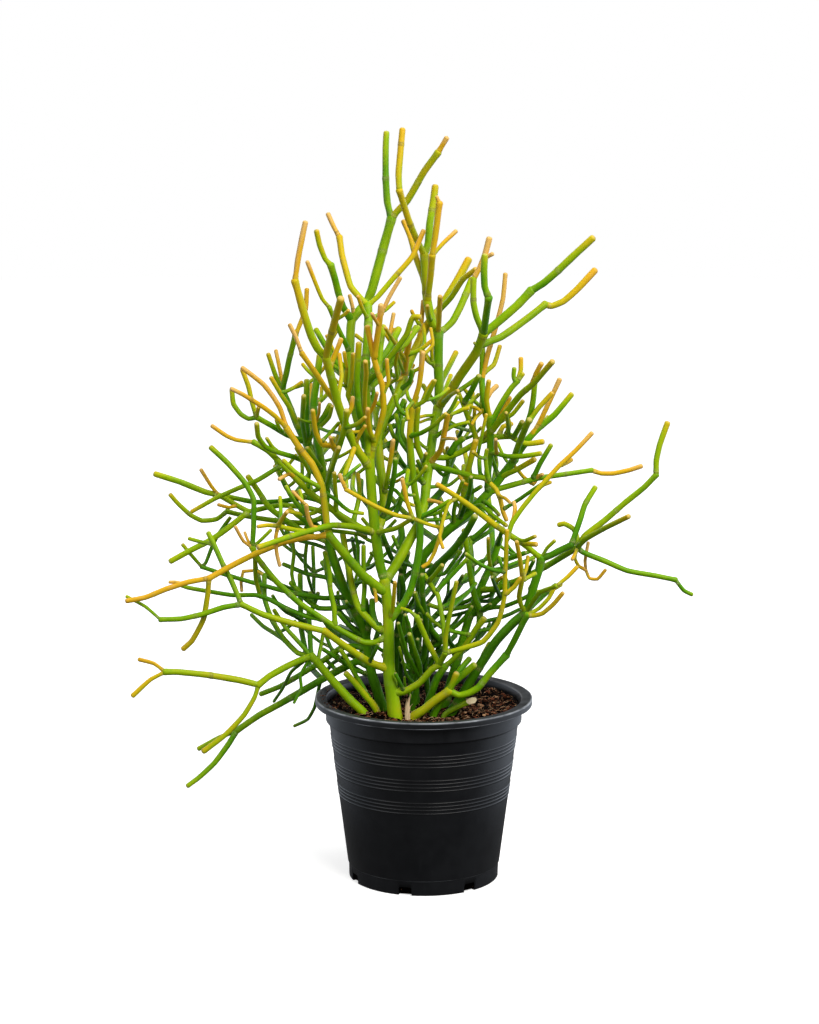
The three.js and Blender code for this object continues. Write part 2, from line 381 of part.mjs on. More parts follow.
  [7.5, 7.5, -30, [[34, 250], [46, 271], [60, 288]], []]]],
],
];

// The crown's outline as [up, to the left, to the right, in depth]: filling twigs stay inside it.
const CROWN = [
  [235, 60, 60, 60],
  [300, 135, 100, 130],
  [380, 195, 130, 185],
  [460, 205, 125, 205],
  [540, 185, 120, 190],
  [620, 165, 105, 150],
  [700, 120, 30, 100],
  [760, 85, 20, 60],
];

// ---------------------------------------------------------------- laying out the branches

// The point at depth y that is seen at [across, up] on the plane y = 0.
function sighted(across, up, depth) {
  const reach = (EYE.back + depth) / EYE.back;
  return new THREE.Vector3(
    EYE.across + (across - EYE.across) * reach,
    depth,
    EYE.up + (up - EYE.up) * reach,
  );
}

// The inverse of sighted: where a point is seen on the plane y = 0.
function seen(point) {
  const reach = (EYE.back + point.y) / EYE.back;
  return [EYE.across + (point.x - EYE.across) / reach, EYE.up + (point.z - EYE.up) / reach];
}

// The place on a shoot's route that is nearest to a seen point, and the depth that was listed for it.
function footOn(shoot, across, up) {
  let best = { miss: Infinity };
  for (let i = 1; i < shoot.points.length; i += 1) {
    const [ax, az] = seen(shoot.points[i - 1]);
    const [bx, bz] = seen(shoot.points[i]);
    const span = (bx - ax) ** 2 + (bz - az) ** 2;
    const share = Math.min(1, Math.max(0, ((across - ax) * (bx - ax) + (up - az) * (bz - az)) / span));
    const miss = (ax + (bx - ax) * share - across) ** 2 + (az + (bz - az) * share - up) ** 2;
    if (miss < best.miss) {
      const point = shoot.points[i - 1].clone().lerp(shoot.points[i], share);
      best = { miss, point, listed: shoot.listed[i - 1] + (shoot.listed[i] - shoot.listed[i - 1]) * share };
    }
  }
  return best;
}

// The length of a route up to each of its points, as a share of the whole.
function sharesOf(route) {
  const lengths = [0];
  for (let i = 1; i < route.length; i += 1) {
    lengths.push(lengths[i - 1] + Math.hypot(route[i][0] - route[i - 1][0], route[i][1] - route[i - 1][1]));
  }
  return lengths.map((length) => length / lengths[lengths.length - 1]);
}

// The points of a shoot that starts at foot and whose depth runs evenly to the given depth at its tip.
function laidOut(foot, route, tipDepth) {
  return sharesOf(route).map((share, i) => {
    const depth = foot.y + (tipDepth - foot.y) * share;
    return i === 0 ? foot.clone() : sighted(...route[i], depth);
  });
}

// The smallest distance between the segments a-b and c-d.
function segmentDistance(a, b, c, d) {
  const u = b.clone().sub(a);
  const v = d.clone().sub(c);
  const w = a.clone().sub(c);
  const uu = u.dot(u);
  const uv = u.dot(v);
  const vv = v.dot(v);
  const uw = u.dot(w);
  const vw = v.dot(w);
  const spread = uu * vv - uv * uv;
  let s = spread > 1e-9 ? Math.min(1, Math.max(0, (uv * vw - vv * uw) / spread)) : 0;
  const t = Math.min(1, Math.max(0, (uv * s + vw) / vv));
  s = Math.min(1, Math.max(0, (uv * t - uw) / uu));
  return w.addScaledVector(u, s).addScaledVector(v, -t).length();
}

// The part of a line of points that lies beyond a length from its start.
function beyond(points, length) {
  let left = length;
  for (let i = 1; i < points.length; i += 1) {
    const span = points[i].distanceTo(points[i - 1]);
    if (span > left) {
      return [points[i - 1].clone().lerp(points[i], left / span), ...points.slice(i)];
    }
    left -= span;
  }
  return points.slice(-1);
}

// How much further out the corners of a many-sided tube stand than the round one of the same section.
function fullnessOf(sides) {
  return Math.sqrt(2 * Math.PI / (sides * Math.sin(2 * Math.PI / sides)));
}

// Thicker shoots have more sides.
function sidesOf(thickness) {
  if (thickness >= SIDES.most.from) return SIDES.most.count;
  if (thickness >= SIDES.more.from) return SIDES.more.count;
  return SIDES.least;
}

// How far a shoot's corners stand from its middle.
function cornerOf(thickness) {
  return fullnessOf(sidesOf(thickness)) * thickness / 2;
}

const placed = [];

// How far a run of points of one thickness cuts into the shoots that stand already.
function clash(points, radius, stem, parent) {
  const free = beyond(points, SWING.rootFree);
  let cut = 0;
  for (let i = 1; i < free.length; i += 1) {
    const low = Math.min(free[i - 1].z, free[i].z) - 12;
    const high = Math.max(free[i - 1].z, free[i].z) + 12;
    for (const other of placed) {
      if (other === parent || other.low > high || other.high < low) continue;
      for (let k = 1; k < other.points.length; k += 1) {
        const room = segmentDistance(free[i - 1], free[i], other.points[k - 1], other.points[k]);
        const short = radius + other.radius + SWING.clear - room;
        if (short > 0) cut += short * (other.stem === stem ? 1 : 20);
      }
    }
  }
  return cut;
}

// Stands a shoot and notes what the later ones need to know of it.
function stand(shoot) {
  const heights = shoot.points.map((point) => point.z);
  placed.push(Object.assign(shoot, {
    radius: cornerOf(Math.max(shoot.start, shoot.end)),
    low: Math.min(...heights),
    high: Math.max(...heights),
  }));
}

// Lays out every listed shoot, thick ones first, and swings a shoot in depth until it runs clear. What
// grows from a shoot swings along with it.
function growListed() {
  const waiting = STEMS.map(([stem, depth, shoot]) => {
    const [across, up] = shoot[3][0];
    return { stem, parent: null, foot: { point: sighted(across, up, depth), listed: depth }, shoot };
  });
  while (waiting.length > 0) {
    const { stem, parent, foot, shoot } = waiting.shift();
    const [start, end, tipDepth, route, shoots] = shoot;
    const root = foot ?? footOn(parent, ...route[0]);
    const carried = root.point.y - root.listed;
    let best = { cut: Infinity };
    for (let turn = 0; turn <= 2 * SWING.most && best.cut > 0; turn += 1) {
      const swing = SWING.step * Math.ceil(turn / 2) * (turn % 2 === 1 ? 1 : -1);
      const points = laidOut(root.point, route, tipDepth + carried + swing);
      const cut = clash(points, cornerOf(Math.max(start, end)), stem, parent);
      if (cut < best.cut) best = { cut, points };
    }
    const listed = sharesOf(route).map((share) => root.listed + (tipDepth - root.listed) * share);
    const grown = { stem, start, end, points: best.points, listed };
    stand(grown);
    for (const next of shoots) waiting.push({ stem, parent: grown, foot: null, shoot: next });
  }
}

// Even random numbers from 0 to 1, the same on every run.
let drawn = FILL_SEED;
function draw() {
  drawn = (drawn * 16807) % 2147483647;
  return drawn / 2147483647;
}

// The crown's reach to the left, to the right and in depth at a height.
function crownAt(up) {
  for (let i = 1; i < CROWN.length; i += 1) {
    const [low, ...from] = CROWN[i - 1];
    const [high, ...to] = CROWN[i];
    if (up <= high) return from.map((reach, k) => reach + (to[k] - reach) * (up - low) / (high - low));
  }
  return [0, 0, 0];
}

// The nearest place below a point from which a shoot of one fill can grow to it, and how near the
// nearest of all shoots stands.
function nearestFoot(tip, fill) {
  let nearest = Infinity;
  let best = { gap: fill.longest };
  for (const shoot of placed) {
    for (let k = 1; k < shoot.points.length; k += 1) {
      const a = shoot.points[k - 1];
      const b = shoot.points[k];
      const run = b.clone().sub(a);
      const share = Math.min(1, Math.max(0, tip.clone().sub(a).dot(run) / run.dot(run)));
      nearest = Math.min(nearest, a.clone().addScaledVector(run, share).distanceTo(tip));
      const gap = a.distanceTo(tip);
      const rises = tip.z - a.z > 0.3 * gap && a.z > POT.height + 8;
      if (k > 1 && rises && shoot.end >= fill.host && gap < best.gap && gap > fill.shortest) {
        best = { gap, shoot, point: a.clone(), ahead: run.normalize() };
      }
    }
  }
  return { ...best, nearest };
}

// Fills the empty places of the crown: each shoot grows from the nearest place below its tip, sags and
// then rises on its way, and stands only if it runs clear of all the others.
function growFill(fill) {
  let count = 0;
  for (let attempt = 0; attempt < fill.tries && count < fill.wanted; attempt += 1) {
    const up = CROWN[0][0] + (CROWN[CROWN.length - 1][0] - CROWN[0][0]) * draw();
    const [left, right, deep] = crownAt(up);
    const side = 2 * draw() - 1;
    const across = EYE.across + (right - left) / 2 + side * (left + right) / 2;
    const way = draw() < fill.front ? -1 : 1;
    const round = Math.sqrt(1 - 0.7 * side * side);
    const tip = sighted(across, up, way * deep * round * (fill.inner + (1 - fill.inner) * draw()));
    const foot = nearestFoot(tip, fill);
    if (!foot.shoot || foot.nearest < fill.near || foot.nearest > fill.far) continue;
    const start = Math.min(fill.thick, 0.9 * foot.shoot.end);
    const points = [foot.point];
    for (const share of [0.3, 0.65]) {
      const bow = foot.gap * share * (1 - share);
      const point = foot.point.clone().lerp(tip, share).addScaledVector(foot.ahead, 0.25 * bow);
      points.push(point.setZ(point.z - 0.55 * bow));
    }
    points.push(tip);
    if (clash(points, cornerOf(start) + 1, foot.shoot.stem, foot.shoot) > 0) continue;
    stand({ stem: foot.shoot.stem, start, end: Math.min(start, fill.thin), points });
    count += 1;
  }
  return count;
}

// ---------------------------------------------------------------- solids

function solid(geometry) {
  const bare = geometry.clone();
  bare.deleteAttribute('normal');
  bare.deleteAttribute('uv');
  const merged = mergeVertices(bare, 1e-4);
  return new wasm.Manifold(new wasm.Mesh({
    numProp: 3,
    vertProperties: merged.attributes.position.array,
    triVerts: Uint32Array.from(merged.index.array),
  }));
}

// The largest body of a join: a sealed hollow or a loose scrap is left out.
function wholeBody(joined) {
  const bodies = joined.simplify(SLACK.surface).decompose();
  return bodies.reduce((most, body) => (body.volume() > most.volume() ? body : most));
}

function named(name, manifold, material) {
  const { vertProperties, triVerts } = manifold.getMesh();
  const geometry = new THREE.BufferGeometry();
  geometry.setAttribute('position', new THREE.BufferAttribute(vertProperties, 3));
  geometry.setIndex(new THREE.BufferAttribute(triVerts, 1));
  geometry.computeVertexNormals();
  const mesh = new THREE.Mesh(geometry, material);
  mesh.name = name;
  return mesh;
}

// Leaves out the points of a route that lie within a small distance of the straight line past them.
function plain(points, slack) {
  const first = points[0];
  const last = points[points.length - 1];
  const line = new THREE.Line3(first, last);
  let worst = { miss: slack };
  points.slice(1, -1).forEach((point, i) => {
    const miss = line.closestPointToPoint(point, true, new THREE.Vector3()).distanceTo(point);
    if (miss > worst.miss) worst = { miss, at: i + 1 };
  });
  if (!worst.at) return [first, last];
  return [...plain(points.slice(0, worst.at + 1), slack), ...plain(points.slice(worst.at), slack).slice(1)];
}

// A closed tube along straight runs, thick at its start as start and at its end as end: a cylinder with a
// ring for each point, whose rings are set square to the bisector of the bend there.
function tube(points, start, end, sides) {
  const rings = points.length - 1;
  const geometry = new THREE.CylinderGeometry(1, 1, rings, sides, rings);
  const position = geometry.attributes.position;
  const place = new THREE.Vector3();
  const frames = points.map((point, i) => {
    const before = points[Math.max(0, i - 1)];
    const after = points[Math.min(rings, i + 1)];
    return after.clone().sub(before).normalize();
  });
  const sideways = new THREE.Vector3(0, 1, 0).cross(frames[0]);
  if (sideways.length() < 0.2) sideways.set(1, 0, 0);
  const fullness = fullnessOf(sides);
  const squares = frames.map((ahead) => {
    const across = sideways.clone().addScaledVector(ahead, -sideways.dot(ahead)).normalize();
    return [across, ahead.clone().cross(across)];
  });
  for (let i = 0; i < position.count; i += 1) {
    place.fromBufferAttribute(position, i);
    const ring = Math.round(place.y + rings / 2);
    const [across, over] = squares[ring];
    const radius = fullness * (start + (end - start) * ring / rings) / 2;
    const at = points[ring].clone()
      .addScaledVector(across, place.x * radius)
      .addScaledVector(over, -place.z * radius);
    position.setXYZ(i, at.x, at.y, at.z);
  }
  return solid(geometry);
}

function shootSolid(shoot, extra = 0) {
  const points = plain(shoot.points, SLACK.route);
  return tube(points, shoot.start + extra, shoot.end + extra, sidesOf(shoot.start));
}

// A stem's foot goes straight down into the soil.
function footPoints(shoot) {
  const top = shoot.points[0];
  return [top.clone().setZ(SOIL.level - SOIL.root), top.clone()];
}

// The pot turned from one profile: up the outer wall with its rings, over the rim and down the inner wall.
function potSolid() {
  const outer = [[POT.baseRadius, 0], [POT.baseRadius, POT.stepHeight], [POT.footRadius, POT.stepHeight + 1]];
  const slope = (POT.shoulderRadius - POT.footRadius) / (POT.shoulderFoot - POT.stepHeight);
  const wallAt = (height) => POT.footRadius + (height - POT.stepHeight) * slope;
  for (const middle of [...RING.middles].reverse()) {
    for (let half = -RING.crests; half <= RING.crests; half += 1) {
      const height = middle + half * RING.pitch / 2;
      outer.push([wallAt(height) + (half % 2 === 0 ? 0 : RING.stands), height]);
    }
  }
  const lipFoot = POT.height - POT.lipDepth;
  outer.push([POT.shoulderRadius, POT.shoulderFoot], [POT.collarRadius, POT.collarFoot]);
  outer.push([POT.collarRadius, lipFoot], [POT.rimRadius, lipFoot - POT.lipEdge]);
  outer.push([POT.rimRadius, POT.height - POT.rimEdge], [POT.rimRadius - POT.rimEdge, POT.height]);
  outer.push([POT.rimMouth, POT.height - POT.rimDish]);
  const inner = [
    [POT.collarRadius - POT.wall, lipFoot],
    [POT.collarRadius - POT.wall, POT.collarFoot],
    [POT.shoulderRadius - POT.wall, POT.shoulderFoot - 1],
    [POT.baseRadius - POT.wall, POT.wall],
  ];
  const profile = [[0, 0], ...outer, ...inner, [0, POT.wall]].map(([r, z]) => new THREE.Vector2(r, z));
  const lathe = new THREE.LatheGeometry(profile, POT.sides).rotateX(Math.PI / 2);
  let pot = solid(lathe);
  for (let i = 0; i < NOTCH.count; i += 1) {
    const angle = THREE.MathUtils.degToRad(NOTCH.first + i * 360 / NOTCH.count);
    const box = new THREE.BoxGeometry(NOTCH.width, NOTCH.depth, NOTCH.height + NOTCH.below);
    const reach = POT.baseRadius - NOTCH.depth / 2 + NOTCH.past;
    box.translate(0, -reach, (NOTCH.height - NOTCH.below) / 2).rotateZ(angle);
    pot = pot.subtract(solid(box));
  }
  return pot;
}

// The soil's top rises and sinks in low hummocks.
function soilLevel(x, y) {
  const hummocks = Math.sin(x / 23 + 1.3) * Math.cos(y / 19 - 0.4) + 0.5 * Math.sin((x + y) / 11);
  return SOIL.level + SOIL.relief * hummocks;
}

// The soil fills the pot to its level and has a plain hole for each stem.
function soilSolid(feet) {
  const side = POT.collarRadius - POT.wall - GAP;
  const narrow = POT.shoulderRadius - POT.wall - GAP;
  const bottom = POT.baseRadius - POT.wall - GAP;
  const rings = [side, 0.72 * side, 0.42 * side, 0];
  const profile = [[0, POT.wall + GAP], [bottom - 0.1, POT.wall + GAP], [narrow - 0.1, POT.shoulderFoot - 1],
    [side, POT.collarFoot + 1], ...rings.map((radius) => [radius, SOIL.level])];
  const points = profile.map(([r, z]) => new THREE.Vector2(r, z));
  const lathe = new THREE.LatheGeometry(points, POT.sides).rotateX(Math.PI / 2);
  const position = lathe.attributes.position;
  for (let i = 0; i < position.count; i += 1) {
    if (Math.abs(position.getZ(i) - SOIL.level) < 0.01) {
      position.setZ(i, soilLevel(position.getX(i), position.getY(i)));
    }
  }
  return feet.reduce((soil, foot) => soil.subtract(foot), solid(lathe));
}

// ---------------------------------------------------------------- the dry sheath and the cut stub

// A dry, straw-coloured sheath that stands beside the trunk: a narrow blade that tapers to its tip.
const SHEATH = {
  route: [[-20, 195], [-21, 212], [-20, 227], [-17, 240]],
  depth: -73,
  wide: [8, 7.5, 6, 2.5],
  thick: 2.4,
};
const STUB = { route: [[26, 211], [44, 223], [62, 231]], depth: -56, start: 6.5, end: 8 };

function sheathSolid(extra = 0) {
  const points = SHEATH.route.map(([across, up]) => sighted(across, up, SHEATH.depth));
  const geometry = new THREE.BoxGeometry(1, 1, points.length - 1, 1, 1, points.length - 1);
  const position = geometry.attributes.position;
  for (let i = 0; i < position.count; i += 1) {
    const ring = Math.round(position.getZ(i) + (points.length - 1) / 2);
    const x = points[ring].x + position.getX(i) * (SHEATH.wide[ring] + extra);
    const y = points[ring].y + position.getY(i) * (SHEATH.thick + extra);
    position.setXYZ(i, x, y, points[ring].z - (ring === 0 ? extra : 0));
  }
  return solid(geometry);
}

// ---------------------------------------------------------------- the plant in its pot

const materials = {
  pot: new THREE.MeshStandardMaterial({ color: '#1d1f23', roughness: 0.42, metalness: 0 }),
  soil: new THREE.MeshStandardMaterial({ color: '#3a2117', roughness: 0.95, metalness: 0 }),
  stem: new THREE.MeshStandardMaterial({ color: '#7fa60f', roughness: 0.5, metalness: 0 }),
  dry: new THREE.MeshStandardMaterial({ color: '#d9bd86', roughness: 0.8, metalness: 0 }),
};

growListed();
FILLS.forEach(growFill);

const plant = new THREE.Group();
const feet = [];
for (const [name] of STEMS) {
  const shoots = placed.filter((shoot) => shoot.stem === name);
  const [first] = shoots;
  const root = { points: footPoints(first), start: first.start, end: first.start };
  for (const shoot of [root, ...shoots.filter((one) => one.low < SOIL.level + 2 * SOIL.relief)]) {
    feet.push(shootSolid(shoot, 2 * (GAP + SLACK.surface) / Math.cos(Math.PI / sidesOf(shoot.start))));
  }
  const joined = shoots.reduce((body, shoot) => body.add(shootSolid(shoot)), shootSolid(root));
  plant.add(named(name, wholeBody(joined), materials.stem));
}

const stubPoints = STUB.route.map(([across, up]) => sighted(across, up, STUB.depth));
const stub = { points: [stubPoints[0].clone().setZ(SOIL.level - SOIL.root / 2), ...stubPoints] };
Object.assign(stub, { start: STUB.start, end: STUB.end });
feet.push(shootSolid(stub, 2 * (GAP + SLACK.surface)), sheathSolid(2 * GAP));
plant.add(named('stem_cut_stub', shootSolid(stub), materials.stem));
plant.add(named('dry_sheath', sheathSolid(), materials.dry));
plant.add(named('soil', wholeBody(soilSolid(feet)), materials.soil));
plant.add(named('pot', potSolid(), materials.pot));

export default plant;
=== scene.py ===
"""A pencil-stem euphorbia in a round nursery pot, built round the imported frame.

Everything is in metres in the frame's own axes unless a name ends in _MM: +Z is up and the plant's best
side faces -Y. The branches are laid out in millimetres, as they are listed, and scaled once at the end.
"""
import json
import math

import bpy
import numpy as np
from bpy.props import FloatProperty, FloatVectorProperty, IntProperty, PointerProperty
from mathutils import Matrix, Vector

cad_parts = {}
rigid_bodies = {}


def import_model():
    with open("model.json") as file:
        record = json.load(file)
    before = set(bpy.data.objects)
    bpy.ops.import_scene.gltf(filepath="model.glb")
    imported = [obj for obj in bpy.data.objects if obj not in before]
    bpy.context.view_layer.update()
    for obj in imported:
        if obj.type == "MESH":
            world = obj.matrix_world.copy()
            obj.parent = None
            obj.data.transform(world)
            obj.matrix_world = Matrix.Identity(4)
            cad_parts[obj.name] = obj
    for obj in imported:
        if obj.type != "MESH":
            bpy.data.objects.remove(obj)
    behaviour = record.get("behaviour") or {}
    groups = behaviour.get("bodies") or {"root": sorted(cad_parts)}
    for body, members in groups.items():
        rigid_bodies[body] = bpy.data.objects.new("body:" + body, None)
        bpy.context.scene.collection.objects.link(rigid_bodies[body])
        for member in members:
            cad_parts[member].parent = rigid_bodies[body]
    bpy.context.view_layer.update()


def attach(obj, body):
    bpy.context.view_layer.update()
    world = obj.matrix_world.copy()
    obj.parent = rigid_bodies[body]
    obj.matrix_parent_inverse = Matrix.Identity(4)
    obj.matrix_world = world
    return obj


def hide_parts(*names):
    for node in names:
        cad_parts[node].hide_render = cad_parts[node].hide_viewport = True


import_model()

bl_info = {
    "name": "Potted pencil-stem euphorbia",
    "version": (1, 0, 0),
    "blender": (4, 5, 0),
    "location": "3D View > Sidebar > Euphorbia",
    "description": "Builds a pencil-stem euphorbia in a ringed nursery pot",
    "category": "Add Mesh",
}

MM = 0.001

# ------------------------------------------------------------------ values shared with the CAD solids
# The eye point in front of the plant, from which the routes below are seen on the plane y = 0.
EYE_ACROSS_MM = -18.4
EYE_BACK_MM = 3300
EYE_UP_MM = 1063

# How later twigs swing in depth until they run clear of the earlier ones. Runs further apart in height than
# NEAR_MM aren't compared, and a cut into another stem counts CROSS_WEIGHT times. SOLID_SIDES are (least
# thickness, sides of the solid shoot), and DEPTH_WEIGHT is what depth counts for beside what is seen.
SWING_STEP_MM = 8
SWING_MOST = 9
CLEAR_MM = 1
SOLID_SIDES = ((12.5, 7), (10.5, 5), (0, 4))
ROOT_FREE_MM = 15
NEAR_MM = 12
CROSS_WEIGHT = 20
DEPTH_WEIGHT = 0.2

SOIL_LEVEL_MM = 225
SOIL_RELIEF_MM = 2.4
ROOT_MM = 30
POT_HEIGHT_MM = 238

# The crown's outline as (up, to the left, to the right, in depth): filling shoots stay inside it.
CROWN_MM = (
    (235, 60, 60, 60),
    (300, 135, 100, 130),
    (380, 195, 130, 185),
    (460, 205, 125, 205),
    (540, 185, 120, 190),
    (620, 165, 105, 150),
    (700, 120, 30, 100),
    (760, 85, 20, 60),
)

# Shoots that fill the crown where no route is listed. The first two rounds stand in the solids as well,
# and the others are thin twigs that only the finished plant has. A shoot's foot is so far below its tip
# that it climbs by FILL_CLIMB of its length or more, and starts FILL_ABOVE_RIM_MM or more above the rim.
# At the FILL_BENDS of its way it runs on along its host and sags, and it is FILL_TAPER of its host's
# thickness at most. FILL_ROUNDNESS rounds the crown off in depth towards its sides.
FILL_SEED = 20411
DRAW_FACTOR = 16807
DRAW_PRIME = 2147483647
SOLID_FILLS = 2
FILL_CLIMB = 0.3
FILL_ABOVE_RIM_MM = 8
FILL_BENDS = (0.3, 0.65)
FILL_AHEAD = 0.25
FILL_ROUNDNESS = 0.7
FILL_TAPER = 0.9
FILL_SAG = 0.55
FILLS = (
    dict(wanted=14, tries=900, host=8, near=34, far=300, shortest=90, longest=250, inner=0.62, front=0.08,
         thick=8.4, thin=6.8, reach=1),
    dict(wanted=8, tries=900, host=5.4, near=18, far=80, shortest=35, longest=120, inner=0.25, front=0.2,
         thick=6.6, thin=5.8, reach=1),
    dict(wanted=80, tries=6000, host=5, near=12, far=90, shortest=34, longest=130, inner=0.15, front=0.12,
         thick=6.4, thin=5.2, reach=0.82),
    dict(wanted=80, tries=6000, host=4.8, near=9, far=60, shortest=22, longest=80, inner=0.05, front=0.2,
         thick=5.4, thin=4.8, reach=0.82),
)

